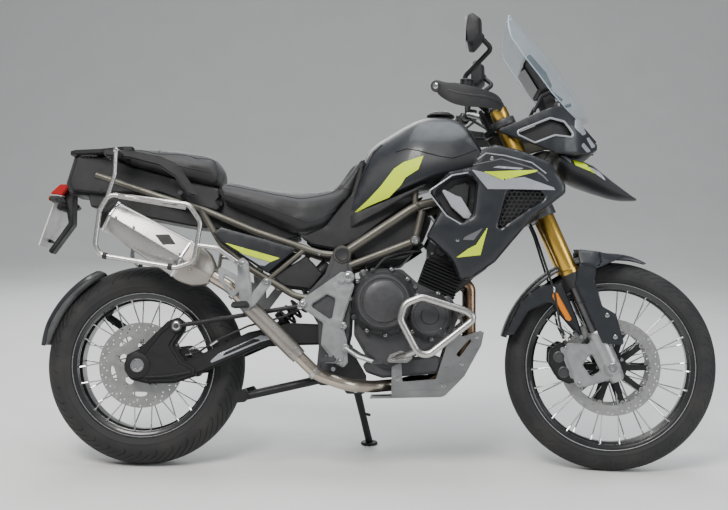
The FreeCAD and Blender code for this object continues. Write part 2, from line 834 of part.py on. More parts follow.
def handguards():
    """Blade guards of one wall thickness, hung from the bar's tip and from the switch box."""
    wall = 5
    outside = [Vector(x, -y, 0) for x, y in GUARD_LINE]
    inside = [Vector(x - wall * 1.2, -(y - wall), 0) for x, y in reversed(GUARD_LINE)]
    face = Part.Face(Part.makePolygon(outside + inside + outside[:1]))
    blade = face.extrude(Vector(0, 0, 62))
    blade.translate(Vector(0, 0, 1151))
    blade = blade.common(prism(GUARD_SIDE, -470, -240))
    tip = straight_bar(along_grip(1.0005), along_grip(1.07), 14)
    clamp = straight_bar(along_grip(0.15), along_grip(0.19), 15)
    stay = straight_bar(along_grip(0.18) + Vector(13, 0, 0), (1182, -250, 1182), 5)
    bar = round_bar(along_grip(0.1), along_grip(0.5), sizes.bar_radius + sizes.seat_clearance)
    right = fused([blade, tip, stay, clamp]).cut(bar)
    return made("handguards", Part.makeCompound([right, mirrored(right)]))


MIRROR_SIDE = [(1094, 1352), (1086, 1400), (1094, 1452), (1108, 1456), (1134, 1436), (1136, 1376), (1112, 1350)]


def mirrors():
    clamp = straight_bar(along_grip(0.08), along_grip(0.113), 15)
    bar = round_bar(along_grip(0.05), along_grip(0.5), sizes.bar_radius + sizes.seat_clearance)
    foot = along_grip(0.097) + Vector(0, 0, 13)
    stalk = bent_tube([foot, (1083, -249, 1288), (1166, -300, 1362), (1128, -322, 1398)], 6, 30)
    back = slab("mirror_block", MIRROR_SIDE, 75)
    doc.recompute()
    head = back.Shape.copy()
    head.translate(Vector(0, -338, 0))
    right = fused([stalk, head, clamp]).cut(bar)
    return made("mirrors", Part.makeCompound([right, mirrored(right)]))


# Widest turn of one flat of a mudguard, in degrees.
FENDER_STEP = 9


def fender_arc(start, end, inner, outer, half, flange):
    """Part of a channel-shaped mudguard round an axle at the origin, between two angles."""
    section = [
        (inner, half), (outer, half + 1), (outer, -half - 1), (inner, -half),
        (inner - flange, -half), (inner - flange, -half + 4), (inner, -half + 4),
        (inner, half - 4), (inner - flange, half - 4), (inner - flange, half),
    ]
    steps = math.ceil((end - start) / FENDER_STEP)
    rings = []
    for k in range(steps + 1):
        turn = Rotation(Vector(0, 1, 0), -start - (end - start) * k / steps)
        rings.append([turn.multVec(Vector(r, y, 0)) for r, y in section])
    return skinned(rings)


# Cover beside the fork leg, side outline on the upright machine.
LEG_COVER = [(1454, 694), (1438, 622), (1526, 430), (1598, 422), (1570, 524), (1526, 549), (1502, 632),
             (1507, 677)]
FENDER_BRIDGE = [(1446, 735), (1526, 727), (1518, 684), (1454, 690)]


def front_fender():
    centre = Vector(float(sizes.wheelbase), 0, float(sizes.front_tyre_radius))
    inner = float(sizes.front_tyre_radius) + 11
    arc = fender_arc(71, 165, inner, inner + 14, 63, 18)
    arc.translate(centre)
    cover_inner = float(sizes.fork_spacing + sizes.fork_tube_radius) + 2.3
    ahead = moved_ahead()
    cover = prism(LEG_COVER, -cover_inner - 6, -cover_inner)
    cover.translate(ahead)
    bridge = prism(FENDER_BRIDGE, -cover_inner - 6, cover_inner + 6)
    bridge.translate(ahead)
    room = Part.makeCylinder(inner, 400, centre - Vector(0, 200, 0), Vector(0, 1, 0))
    foot = straight_bar((1524, -cover_inner - 1, 455), (1524, -float(sizes.fork_spacing) - 29.4, 455), 7, 8)
    foot.translate(ahead)
    whole = fused([arc, bridge.cut(room), cover, mirrored(cover), foot, mirrored(foot)])
    return made("front_fender", whole)


def brake_hoses():
    """A hose from each front caliper up behind its leg to the lower yoke."""
    side = float(sizes.fork_spacing)
    low = [(-60, -side + 4, 136.5), (-62, -side + 4, 190), (-34, -side + 2, 300), (-22, -side + 14, 420),
           (-14, -side + 34, 500), (-14, -side + 44, float(sizes.yoke_low) - 0.3)]
    right = bent_tube(low, 4, 200, flats=6)
    return made("brake_hoses", Part.makeCompound([right, mirrored(right)]))


# Frame, engine and running gear, on the upright machine

def head_spot(along, side=0.0):
    """A place beside the steering axis, along it from the level of the front axle."""
    return fork_frame().multVec(Vector(0, side, float(along)))


# Side outline of the plates that carry the swingarm and the centre stand.
PIVOT_PLATE = [(640, 728), (690, 712), (700, 640), (690, 440), (676, 380), (650, 330), (634, 276), (590, 276),
               (586, 330), (592, 400), (590, 470), (556, 530), (552, 575), (610, 640)]


def main_frame():
    """Steel tube frame: head tube, upper and lower side tubes, and the plates at the swingarm pivot."""
    r = float(sizes.frame_tube)
    half = float(sizes.frame_half)
    low = float(sizes.yoke_low + sizes.yoke_low_height + sizes.head_gap)
    high = float(sizes.yoke_high - sizes.head_gap)
    _, direction = steering_axis()
    head = Part.makeCylinder(float(sizes.head_tube_radius), high - low, head_spot(low), direction)
    stem_room = float(sizes.stem_radius + sizes.run_clearance)
    bore = Part.makeCylinder(stem_room, high - low, head_spot(low), direction)
    inner = float(sizes.pivot_plate_inner)
    outer = inner + float(sizes.pivot_plate_thickness)
    pieces = [head]
    for side in (-1, 1):
        shoulder = Vector(1120, side * 96, 922) + moved_ahead()
        waist = Vector(905, side * half, 866)
        upper = bent_tube([head_spot(low + 34, side * 10), shoulder, waist,
                           (665, side * (inner + 4), 704)], r, 120)
        knee = bent_tube([(690, side * (inner + 3), 668), (903, side * half, 752), (926, side * half, 850)],
                         r * 0.8, 30)
        brace = straight_bar(head_spot(690, side * 12), between(shoulder, waist, 0.51), r * 0.7)
        plate = prism(PIVOT_PLATE, *sorted((side * inner, side * outer)))
        mount = boss(9, 60, Vector(903, side * half, 752), Vector(0, -side, 0))
        pieces += [upper, knee, brace, plate]
        post = boss(10, TANK_POST_TOP - 862, Vector(TANK_POST_X, side * half, 862), Vector(0, 0, 1))
        pieces.append(post)
        arm = float(sizes.shroud_inner) - 62 - 0.3 - 80
        pieces.append(boss(7, arm, Vector(1135, side * 80, 914) + moved_ahead(), Vector(0, side, 0)))
    nose_stay = prism([(1205, 1045), (1190, 1085), (1344.7, 1112), (1344.7, 1078)], -12, 12)
    nose_stay.translate(moved_ahead())
    pieces.append(nose_stay)
    for x, z in (SHOCK_TOP, (640, 372)):
        pieces.append(straight_bar((x, -inner - 2, z), (x, inner + 2, z), 13))
    stand_side = side_stand_bracket()
    whole = fused(pieces + stand_side)
    return made("main_frame", whole.cut(bore))


# Where the shock absorber hangs: the frame's upper cross tube and the swingarm's bridge, x and z.
SHOCK_TOP = (677, 692)
SHOCK_FOOT = (439.6, 466.8)
TANK_POST_X = 903
TANK_POST_TOP = 919.7


def side_stand_axis():
    """The fold axis: square to the leg as it stands and to the leg as it lies back along the machine."""
    leg = stand_foot() - stand_pivot()
    return Vector(0, -leg.z, leg.y).normalize()


def stand_pivot():
    return Vector(float(sizes.stand_pivot_x), float(sizes.stand_pivot_y), float(sizes.stand_pivot_z))


def stand_foot():
    """Where the sole meets the ground, in the upright machine's frame."""
    lean = math.radians(float(sizes.lean))
    y = float(sizes.stand_foot_y)
    z = y * math.tan(lean) - float(sizes.lift) / math.cos(lean)
    return Vector(float(sizes.stand_foot_x), y, z)


STAND_EYE = 18
STAND_EYE_THICKNESS = 18
STAND_PIN = 8


def side_stand_bracket():
    axis = side_stand_axis()
    inner = float(sizes.pivot_plate_inner)
    outer = inner + float(sizes.pivot_plate_thickness)
    tab = prism([(640, 400), (700, 372), (742, 300), (738, 236), (672, 236), (640, 290)], inner, outer)
    pin = Part.makeCylinder(STAND_PIN, 48, stand_pivot() - axis * 30, axis)
    return [tab, pin]


def side_stand():
    axis = side_stand_axis()
    pivot, foot = stand_pivot(), stand_foot()
    eye = Part.makeCylinder(STAND_EYE, STAND_EYE_THICKNESS, pivot - axis * (STAND_EYE_THICKNESS / 2), axis)
    ground = Vector(0, -math.sin(math.radians(float(sizes.lean))), math.cos(math.radians(float(sizes.lean))))
    ankle = foot + ground * 10
    leg = straight_bar(pivot, ankle, sizes.stand_tube)
    sole = boss(30, 10, foot, ground)
    hole = Part.makeCylinder(STAND_PIN + float(sizes.run_clearance), 80, pivot - axis * 40, axis)
    return made("side_stand", fused([eye, leg, sole]).cut(hole))


def centre_stand():
    """Two legs on a cross tube, folded back under the swingarm."""
    x, z = float(sizes.centre_pivot_x), float(sizes.centre_pivot_z)
    half = float(sizes.centre_half)
    span = float(sizes.pivot_plate_inner) - float(sizes.run_clearance)
    pieces = [round_bar((x, -span, z), (x, span, z), 14)]
    for side in (-1, 1):
        pieces.append(straight_bar((x, side * (half - 10), z), (335, side * (half + 12), 232), 13))
        pieces.append(prism([(318, 214), (352, 218), (366, 240), (350, 262), (312, 250)],
                            *sorted((side * (half - 6), side * (half + 34)))))
    pieces.append(straight_bar((430, -half, 254), (430, half, 254), 10))
    return made("centre_stand", fused(pieces))


def subframe():
    r = float(sizes.subframe_tube)
    inner = float(sizes.pivot_plate_inner)
    pieces = []
    for side in (-1, 1):
        start = side * (inner - r - float(sizes.run_clearance))
        pieces.append(bent_tube([(652, start, 702), (589, side * 122, 708), (376, side * 110, 780),
                                 (200, side * 100, 851), (40, side * 96, 898), (-170, side * 92, 968)], r, 160))
        pieces.append(bent_tube([(604, start, 566), (520, side * 120, 560), (348, side * 110, 663),
                                 (259, side * 105, 738), (190, side * 100, 850)], r, 100))
        pieces.append(straight_bar((420, side * 112, 622), (540, side * 118, 722), r * 0.75))
    for x, z in SEAT_CROSS_TUBES:
        pieces.append(straight_bar((x, -100, z), (x, 100, z), CROSS_TUBE))
    return made("subframe", fused(pieces))


# Cross tubes under the seat, x and z, and their radius.
SEAT_CROSS_TUBES = [(330, 798), (30, 901)]
CROSS_TUBE = 9


CRANKCASE = [(705, 600), (748, 652), (860, 660), (915, 612), (1030, 560), (1048, 500), (1016, 432),
             (960, 398),
             (812, 330), (745, 372), (705, 440)]
CYLINDERS = [(915, 612.5), (1030, 560.5), (1062, 650), (946, 700)]
HEAD_COVER = [(946.5, 700.5), (1062.5, 650.5), (1070, 705), (1052, 742), (968, 776), (948, 752)]


# How far each cover's foot sits in the crankcase, and the flats round it.
COVER_SEAT = 2
COVER_FLATS = 24


def engine_covers():
    """The round covers: name, side, centre x and z, and steps of reach outward and radius."""
    clutch, deep = sizes.clutch_cover_radius, sizes.clutch_cover_depth
    front, less = sizes.cover_radius, sizes.cover_depth
    right_clutch = [(0, clutch + 14), (20, clutch + 14), (24, clutch + 10), (24, clutch), (deep - 10, clutch),
                    (deep - 2, clutch - 5), (deep, clutch - 16), (deep + 6, clutch - 20),
                    (deep + 6, clutch - 30),
                    (deep + 1, clutch - 33)]
    right_front = [(0, front + 1), (10, front + 1), (12, front - 2), (less - 8, front - 2), (less - 2, front - 6),
                   (less, front - 18), (less + 6, front - 22)]
    left_clutch = [(0, clutch + 4), (12, clutch + 4), (14, clutch - 6), (36, clutch - 6), (44, clutch - 16)]
    left_front = [(0, front - 2), (22, front - 2), (30, front - 12)]
    return [
        ("clutch_cover", -1, sizes.crank_x, sizes.crank_z, right_clutch),
        ("front_cover", -1, sizes.cover_x, sizes.cover_z, right_front),
        ("left_cover", 1, sizes.crank_x, sizes.crank_z, left_clutch),
        ("left_front_cover", 1, sizes.cover_x, sizes.cover_z, left_front),
    ]


def engine_block():
    """Crankcase with the round clutch cover, the lower front cover and the covers on the left."""
    case = slab("crankcase", CRANKCASE, sizes.crankcase_half)
    pieces = [case]
    for name, side, x, z, steps in engine_covers():
        start = Vector(float(x), side * (float(sizes.crankcase_half) - COVER_SEAT), float(z))
        stations = [(COVER_SEAT + float(reach), float(radius)) for reach, radius in steps]
        stations[0] = (0, stations[0][1])
        pieces.append(made(name, ringed(stations, COVER_FLATS, start, Vector(0, side, 0))))
    return join("engine_block", pieces)


def cylinder_block():
    """Ribbed cylinder block with its head cover; the ribs are left by a row of grooves."""
    body = new_body("cylinder_solid")
    outline = drawing(body, RIGHT_SIDE)
    polygon(outline, CYLINDERS)
    pad(body, outline, sizes.cylinder_half * 2, both_sides=True)
    cover = drawing(body, RIGHT_SIDE)
    polygon(cover, [CYLINDERS[3], CYLINDERS[2]] + HEAD_COVER[2:])
    pad(body, cover, (sizes.cylinder_half - 8) * 2, both_sides=True)
    doc.recompute()
    block = body.Shape
    foot = Vector(CYLINDERS[0][0], 0, CYLINDERS[0][1])
    along = (Vector(CYLINDERS[3][0], 0, CYLINDERS[3][1]) - foot)
    across = Vector(CYLINDERS[1][0], 0, CYLINDERS[1][1]) - foot
    count = int(float(sizes.fin_count))
    gap, depth = float(sizes.fin_gap), float(sizes.fin_depth)
    half = float(sizes.cylinder_half)
    step = along * (1 / (count + 0.5))
    turn = Rotation(Vector(1, 0, 0), across)
    long = across.Length
    grooves = []
    for k in range(count):
        ring = Part.makeBox(long + 40, half * 2 + 40, gap, Vector(-20, -half - 20, 0))
        core = Part.makeBox(long - 2 * depth, (half - depth) * 2, gap, Vector(depth, -half + depth, 0))
        groove = ring.cut(core)
        groove.Placement = Placement(foot + step * (k + 0.45), turn)
        grooves.append(groove)
    return made("cylinder_ribs", block.cut(grooves))


def radiators():
    depth = 62
    right = flat_plate("radiator_right", [(1112, 915), (1150, 935), (1212, 745), (1176, 728)],
                       sizes.shroud_inner - depth, depth - sizes.run_clearance)
    return both_sides("radiators", right)


# Side outline of the tank: along its top from the seat, then the front and the lower edge.
TANK_SIDE = [(690, 838), (806, 885), (940, 939), (1068, 970), (1150, 1003), (1118, 1078), (1085, 1148),
             (1039, 1180),
             (980, 1193), (913, 1179), (822, 1126), (757, 1088), (729, 1046), (688, 905)]


# Half width of the tank where the knees go, along its length.
TANK_WAIST = [(650, 96), (760, 122), (860, 158), (950, 174)]


def fuel_tank():
    """The tank's side outline, waisted for the knees in plan and rounded over in front view."""
    side = slab("tank_side", TANK_SIDE, sizes.shroud_inner)
    wide = sizes.shroud_inner - sizes.run_clearance
    right = [(x, -half) for x, half in TANK_WAIST] + [(1180, -wide)]
    left = [(1180, wide)] + [(x, half) for x, half in reversed(TANK_WAIST)]
    plan = slab("tank_plan", right + left, 1300, plane=PLAN)
    front = slab("tank_front", [
        (-152, 820), (-wide, 960), (-wide, 1010), (-150, 1090), (-104, 1150), (-50, 1184), (0, 1194),
        (50, 1184), (104, 1150), (150, 1090), (wide, 1010), (wide, 960), (152, 820),
    ], 1300, plane=FRONT)
    return shared("fuel_tank", [side, plan, front])


SIDE_PANEL = [(234, 770), (273, 733), (300, 716), (418, 640), (515, 722), (412, 740), (412, 778), (388, 778),
              (388, 745), (334, 754), (334, 810), (306, 810), (306, 758)]
PANEL_SIDE = 131.5
# Bosses that seat the panel on the rear frame's upper tube: x, z and the tube's outer side there.
PANEL_BOSSES = [(320, 802, 118.4), (400, 770, 122.8)]
TANK_TRIM = [(657, 776), (690, 837.6), (806, 884.6), (896, 920.8), (876, 898), (790, 848)]


def side_panels():
    """The panel under the seat and the trim strip under the tank's edge."""
    panel = flat_plate("side_panel", SIDE_PANEL, PANEL_SIDE, sizes.panel_wall)
    bosses = []
    for x, z, tube in PANEL_BOSSES:
        bosses.append(disc_to_right("panel_boss", x, z, 7, tube, PANEL_SIDE + 1 - tube))
    solid = join("side_panel_solid", [panel] + bosses)
    doc.recompute()
    wall = float(sizes.panel_wall)
    line = [Vector(x, -half, 700) for x, half in TANK_WAIST]
    outside = [spot + Vector(0, -wall, 0) for spot in reversed(line)]
    band = Part.Face(Part.makePolygon(line + outside + line[:1])).extrude(Vector(0, 0, 300))
    trim = prism(TANK_TRIM, -200, -80).common(band)
    right = [solid.Shape, trim]
    return made("side_panels", Part.makeCompound(right + [mirrored(shape) for shape in right]))


SHROUD = [(937, 760), (985, 850), (946, 902), (1010, 968), (1082, 985), (1120, 1050), (1160, 1062),
          (1228, 1047),
          (1336, 1004), (1385, 930), (1385, 904), (1288, 828), (1251, 790), (1160, 680), (1085, 626), (1046, 619),
          (1020, 685)]
SCOOP = [(1000, 838), (965, 902), (1020, 945), (1067, 958), (1098, 936), (1086, 826), (1046, 802)]
SHROUD_BEVEL = 14
GRILLE = [(1164, 775), (1192, 803), (1262, 852), (1346, 902), (1200, 910)]


def shrouds():
    """Radiator shrouds: hollow from inside, with the scoop and the grille's window cut through."""
    body = new_body("shroud_right")
    outline = drawing(body, RIGHT_SIDE, sizes.shroud_inner)
    polygon(outline, SHROUD)
    block = pad(body, outline, sizes.shroud_outer - sizes.shroud_inner)
    doc.recompute()
    bevel = body.newObject("PartDesign::Chamfer", "shroud_bevel")
    bevel.Base = (block, edges_on_side(block.Shape, -float(sizes.shroud_outer)))
    bevel.Size = SHROUD_BEVEL
    body.Tip = bevel
    doc.recompute()
    inner, wall = float(sizes.shroud_inner), float(sizes.panel_wall)
    depth = float(sizes.shroud_outer) - inner
    face = Part.Face(wire_through([(x, -inner, z) for x, z in SHROUD]))
    wide = face.makeOffset2D(-wall, 2).extrude(Vector(0, -(depth - SHROUD_BEVEL - wall * 0.4), 0))
    deep = face.makeOffset2D(-wall * 0.6 - SHROUD_BEVEL, 2).extrude(Vector(0, -(depth - wall), 0))
    shell = bevel.Shape.cut([wide, deep])
    windows = [prism(window, -inner - depth - 10, -inner + 10) for window in (SCOOP, GRILLE)]
    right = shell.cut(windows)
    return made("shrouds", Part.makeCompound([right, mirrored(right)]))


def edges_on_side(shape, y):
    """Names of the edges that lie wholly in the plane at y."""
    names = []
    for index, edge in enumerate(shape.Edges):
        if all(abs(spot.Point.y - y) < 0.01 for spot in edge.Vertexes):
            names.append("Edge%d" % (index + 1))
    return names


RIDER_SEAT = [(256, 952), (265, 883), (529, 769), (600, 800), (684, 905), (725, 1046), (716, 1048),
              (650, 945),
              (634, 932), (512, 914), (372, 930), (300, 946)]
PILLION_SEAT = [(-141, 1053), (-46, 1001), (90, 963), (241, 931), (249, 950), (247, 992), (222, 1038),
                (146, 1047),
                (-9, 1058)]


def rider_seat():
    side = slab("seat_side", RIDER_SEAT, 150)
    plan = slab("seat_plan", [
        (240, -128), (330, -142), (430, -150), (560, -136), (640, -108), (740, -84), (740, 84), (640, 108),
        (560, 136), (430, 150), (330, 142), (240, 128),
    ], 1200, plane=PLAN)
    return shared("rider_seat", [side, plan])


def pillion_seat():
    side = slab("pillion_side", PILLION_SEAT, 130)
    plan = slab("pillion_plan", [
        (-150, -96), (-60, -126), (120, -130), (260, -118), (260, 118), (120, 130), (-60, 126), (-150, 96),
    ], 1200, plane=PLAN)
    return shared("pillion_seat", [side, plan])


TRAY = [(-250, 1035.7), (-276, 941), (-262, 905), (-200, 900), (-190, 862), (150, 800), (300, 782),
        (420, 744),
        (529, 768.6), (265, 882.6), (256, 930), (241, 930.6), (90, 962.6), (-46, 1000.6), (-142, 1035.7)]
HANGER = [(-262, 906), (-276, 930), (-296, 902), (-280, 812), (-346, 716), (-334, 704), (-262, 806)]


# Where the number plate rests on its hanger, above and below.
PLATE_RESTS = [
    [(-284, 842), (-282, 866), (-310.1, 866), (-317.8, 842)],
    [(-328, 738), (-320, 752), (-346.9, 752), (-351.4, 738)],
]


def tail_unit():
    """Under-seat tray, tail and the long hanger for the number plate."""
    tray = slab("tray", TRAY, 76)
    hanger = slab("plate_hanger", HANGER, 26)
    rests = [slab("plate_rest", corners, 18) for corners in PLATE_RESTS]
    solid = join("tail_solid", [tray, hanger] + rests)
    for x, z in SEAT_CROSS_TUBES:
        tunnel = disc_to_right("cross_tube_tunnel", x, z, CROSS_TUBE + sizes.run_clearance, -120, 240)
        solid = remove("tail_unit", solid, tunnel)
    return solid


def tail_lamp():
    outline = [(-339, 908), (-303, 941), (-276.4, 941), (-276.4, 930.4), (-296.4, 902.2), (-303, 904)]
    return slab("tail_lamp", outline, 54)


def number_plate():
    return slab("number_plate", [(-309.5, 882), (-305.5, 881), (-355, 728), (-359, 729)], 90)


CARRIER_RAIL = [(-123, 1040), (-32, 1037), (64, 1018), (117, 996), (160, 939), (200, 879), (158, 893),
                (112, 950),
                (58, 986), (-40, 1010), (-123, 1018)]


def rear_carrier():
    """Slotted carrier plate behind the seat with a grab rail down each side."""
    plate = new_body("carrier_plate")
    outline = drawing(plate, PLAN, 1036)
    polygon(outline, [
        (-264, -78), (-240, -104), (-150, -128), (-60, -176), (-30, -176), (-30, -140), (-80, -140),
        (-152, -104), (-152, 104), (-80, 140), (-30, 140), (-30, 176), (-60, 176), (-150, 128), (-240, 104),
        (-264, 78),
    ])
    pad(plate, outline, 16)
    for across in (-64, 0, 64):
        slot = drawing(plate, PLAN, 1036)
        polygon(slot, [(-240, across - 20), (-176, across - 20), (-176, across + 20), (-240, across + 20)])
        cut_through(plate, slot)
    right = flat_plate("grab_rail", CARRIER_RAIL, 166, 18)
    left = mirror("grab_rail_left", right)
    return join("rear_carrier", [plate, right, left])


RACK_LOOP = [(-84, 881), (-112, 829), (-123, 718), (-107, 685), (137, 647), (196, 668), (215, 795),
             (176, 850)]


def pannier_racks():
    """Each rack is one closed loop of tube with a latch plate, a stay to the grab rail and one forward."""
    r = float(sizes.rack_tube)
    y = -float(sizes.rack_side)
    corners = [(x, y, z) for x, z in RACK_LOOP]
    half_way = ((corners[0][0] + corners[-1][0]) / 2, y, (corners[0][2] + corners[-1][2]) / 2)
    loop = bent_tube([half_way] + corners + [half_way], r, 34, flats=10)
    top = bent_tube([(-88, y, 872), (-66, y, 944), (-66, y + 6, 1022)], r * 0.9, 30)
    top_boss = boss(8, -y - 186.3, Vector(-66, -184.3, 1025), Vector(0, -1, 0))
    forward = bent_tube([(205, y, 720), (268, y, 712), (333, y + 4, 668)], r * 0.9, 30)
    front_boss = boss(9, -y - 213.3, Vector(333, -213.3, 665), Vector(0, -1, 0))
    latch = prism([(-50, 884), (-56, 868), (172, 832), (162, 852)], y - 9, y - 2)
    right = fused([loop, top, top_boss, forward, front_boss, latch])
    return made("pannier_racks", Part.makeCompound([right, mirrored(right)]))


def silencer():
    """Six-sided silencer that tapers to its rear end, with a dark end cap."""
    side = float(sizes.silencer_side)
    width = float(sizes.silencer_width)
    axis = Vector(312, 0, -181).normalize()
    up = Vector(181, 0, 312).normalize()
    rear = Vector(-112, -side, 831)
    rings = []
    for along, high, wide in SILENCER_SECTIONS:
        middle = rear + axis * along
        half = wide * width / 2
        spots = [(-half * 0.62, high / 2), (half * 0.62, high / 2), (half, 0), (half * 0.62, -high / 2),
                 (-half * 0.62, -high / 2), (-half, 0)]
        rings.append([middle + up * h + Vector(0, w, 0) for w, h in spots])
    return made("silencer", skinned(rings))


# Along the silencer from its rear end: distance, height, share of the width.
SILENCER_SECTIONS = [(0, 84, 0.8), (14, 98, 0.95), (110, 106, 1), (330, 134, 1), (372, 120, 0.95),
                     (410, 64, 0.6)]


def exhaust_pipes():
    """Three headers that run down before the engine into a collector, and the link to the silencer."""
    r = float(sizes.header_radius)
    pieces = []
    for port in (-74, 0, 74):
        pieces.append(bent_tube([(1052.4, port, 621.9), (1089, port, 609), (1090, port, 440),
                                 (1040, port * 0.8, 345), (955, port * 0.5, 290)], r, 60))
    pieces.append(prism([(975, 262), (975, 312), (880, 304), (850, 290), (850, 268), (880, 258)], -62, 62))
    side = -float(sizes.silencer_side)
    link = bent_tube([(870, -30, 280), (770, -92, 272), (690, side, 278), (590, side, 312),
                      (300, side, 591.5), (243.2, side, 624.9)], float(sizes.pipe_radius), 90)
    return made("exhaust_pipes", fused(pieces + [link]))


FOOT_PLATE = [(690, 639), (664, 646), (527, 548), (530, 530), (606, 478), (600, 407), (650, 345), (674, 334),
              (688, 350), (684, 423), (668, 480), (706, 600)]
FOOT_HOLE = [(562, 534), (618, 572), (646, 558), (634, 486)]


def footrest_plates():
    right = flat_plate("foot_plate", FOOT_PLATE, sizes.pivot_plate_inner + sizes.pivot_plate_thickness +
                       sizes.seat_clearance, 14, holes=[FOOT_HOLE])
    return both_sides("footrest_plates", right)


def foot_controls():
    """Rider's footrests, the brake pedal on the right and the gear lever on the left."""
    face = float(sizes.pivot_plate_inner + sizes.pivot_plate_thickness + sizes.seat_clearance * 2) + 14
    pieces = []
    for side in (-1, 1):
        pegs = prism([(604, 352), (604, 366), (620, 372), (652, 366), (652, 354)],
                     *sorted((side * (face + 24), side * (face + 96))))
        arm = prism([(614, 350), (612, 372), (648, 380), (662, 368), (650, 348)],
                    *sorted((side * face, side * (face + 24))))
        pivot = boss(13, 20, Vector(680, side * face, 398), Vector(0, side, 0))
        lever = bent_tube([(680, side * (face + 12), 398), (720, side * (face + 40), 372),
                           (782, side * (face + 52), 352)], 6.5, 40)
        pad_end = prism([(768, 344), (768, 360), (800, 358), (800, 346)],
                        *sorted((side * (face + 36), side * (face + 78))))
        pieces += [fused([pegs, arm]), fused([pivot, lever, pad_end])]
    return made("foot_controls", Part.makeCompound(pieces))


HANGER_PLATE = [(272, 646), (300, 672), (346, 682), (436, 612), (424, 594), (372, 600), (374, 560),
                (378, 520),
                (344, 512), (312, 560), (318, 610)]


def passenger_footrests():
    """Cast hangers outside the exhaust, on spacers from the rear frame, with folding footrests."""
    gap_end = 204
    right = []
    right.append(prism(HANGER_PLATE, -gap_end - 9, -gap_end))
    for x, z, tube_side in ((346, 664, 111.5), (424, 607, 116)):
        start = tube_side + float(sizes.subframe_tube) + 0.3
        right.append(boss(9, gap_end + 1 - start, Vector(x, -start, z), Vector(0, -1, 0)))
    right.append(prism([(322, 520), (322, 536), (372, 540), (372, 522)], -gap_end - 84, -gap_end - 8))
    solid = fused(right)
    return made("passenger_footrests", Part.makeCompound([solid, mirrored(solid)]))


HUB_CARRIER = [(-46, 318), (-40, 366), (4, 388), (92, 478), (126, 492), (152, 474), (150, 448), (118, 400),
               (150, 352), (196, 330), (190, 300), (120, 276), (30, 274), (-24, 286)]
ARM = [(120, 296), (160, 352), (360, 446), (500, 478), (628, 474), (664, 440), (628, 408), (500, 404),
       (400, 398),
       (196, 306)]


def swingarm():
    """Two arms on a cross tube, a hub carrier on the right and the shaft's final drive on the left."""
    inner, outer = float(sizes.arm_inner), float(sizes.arm_outer)
    x, z = float(sizes.pivot_x), float(sizes.pivot_z)
    pieces = []
    for side in (-1, 1):
        pieces.append(prism(ARM, *sorted((side * inner, side * (outer - 2)))))
        pieces.append(boss(30, outer + 1 - inner, Vector(x, side * inner, z), Vector(0, side, 0)))
    pieces.append(straight_bar((560, -inner - 2, 441), (560, inner + 2, 441), 28))
    pieces.append(prism([(410, 400), (400, 432), (470, 462), (500, 440), (480, 408)], -inner - 2, inner + 2))
    wheel_z = float(sizes.rear_tyre_radius)
    pieces.append(prism(HUB_CARRIER, -outer - 6, -inner))
    pieces.append(boss(44, outer + 14 - inner, Vector(0, -inner, wheel_z), Vector(0, -1, 0)))
    final_drive = [(0, 78), (outer - inner, 78), (outer + 18 - inner, 62)]
    pieces.append(ringed(final_drive, COVER_FLATS, Vector(0, inner, wheel_z), Vector(0, 1, 0)))
    pieces.append(prism([(-20, 300), (-20, 380), (130, 400), (200, 352), (160, 290)], inner, outer + 6))
    whole = fused(pieces)
    axle = round_bar((0, -300, wheel_z), (0, 300, wheel_z), sizes.axle_radius + sizes.seat_clearance)
    return made("swingarm", whole.cut(axle))


def upper_link():
    inner_face = float(sizes.arm_outer) + 6 + float(sizes.seat_clearance)
    front_outer = float(sizes.pivot_plate_inner + sizes.pivot_plate_thickness)
    rod = straight_bar((126, -inner_face - 9, 463), (530, -front_outer + 7, 533), 7)
    rear_eye = Part.makeCylinder(18, 18, Vector(126, -inner_face, 463), Vector(0, -1, 0))
    front_eye = Part.makeCylinder(14, 14, Vector(530, -front_outer, 533), Vector(0, 1, 0))
    return made("torque_rod", fused([rod, rear_eye, front_eye]))


def rear_caliper():
    """Caliper astride the front edge of the rear disc, on the hub carrier's inner side."""
    outline = [(96, 300), (96, 378), (150, 392), (176, 350), (166, 296)]
    block = flat_plate("rear_caliper_block", outline, 66, 35.5)
    space = disc_to_right("rear_disc_space", 0, sizes.rear_tyre_radius, sizes.rear_disc_radius + 5,
                          sizes.rear_disc_place - sizes.disc_thickness / 2 - 5, sizes.disc_thickness + 10)
    return remove("rear_caliper", block, space)


def rear_axle():
    half = float(sizes.arm_outer) + 14
    face = half + float(sizes.seat_clearance)
    nut = sizes.axle_radius + 8
    return axle_with_nuts("rear_axle", [(half + 12, -half - 8, sizes.axle_radius), (-face, -face - 9, nut),
                                        (half + 13.5, half + 4.5, nut)], float(sizes.rear_tyre_radius))


def rear_hugger():
    """Mudguard close behind the rear tyre, on an arm from the final drive."""
    inner = float(sizes.rear_tyre_radius) + 9
    arc = fender_arc(118, 170, inner, inner + 13, 82, 16)
    arc.translate(Vector(0, 0, float(sizes.rear_tyre_radius)))
    arm = prism([(-40, 400), (-20, 420), (-236, 560), (-252, 540)], 79.5, 86)
    foot = prism([(-56, 372), (-40, 400), (-20, 420), (20, 400), (20, 384)], 79.5,
                 float(sizes.arm_inner) - 0.3)
    return made("rear_hugger", fused([arc, arm, foot]))


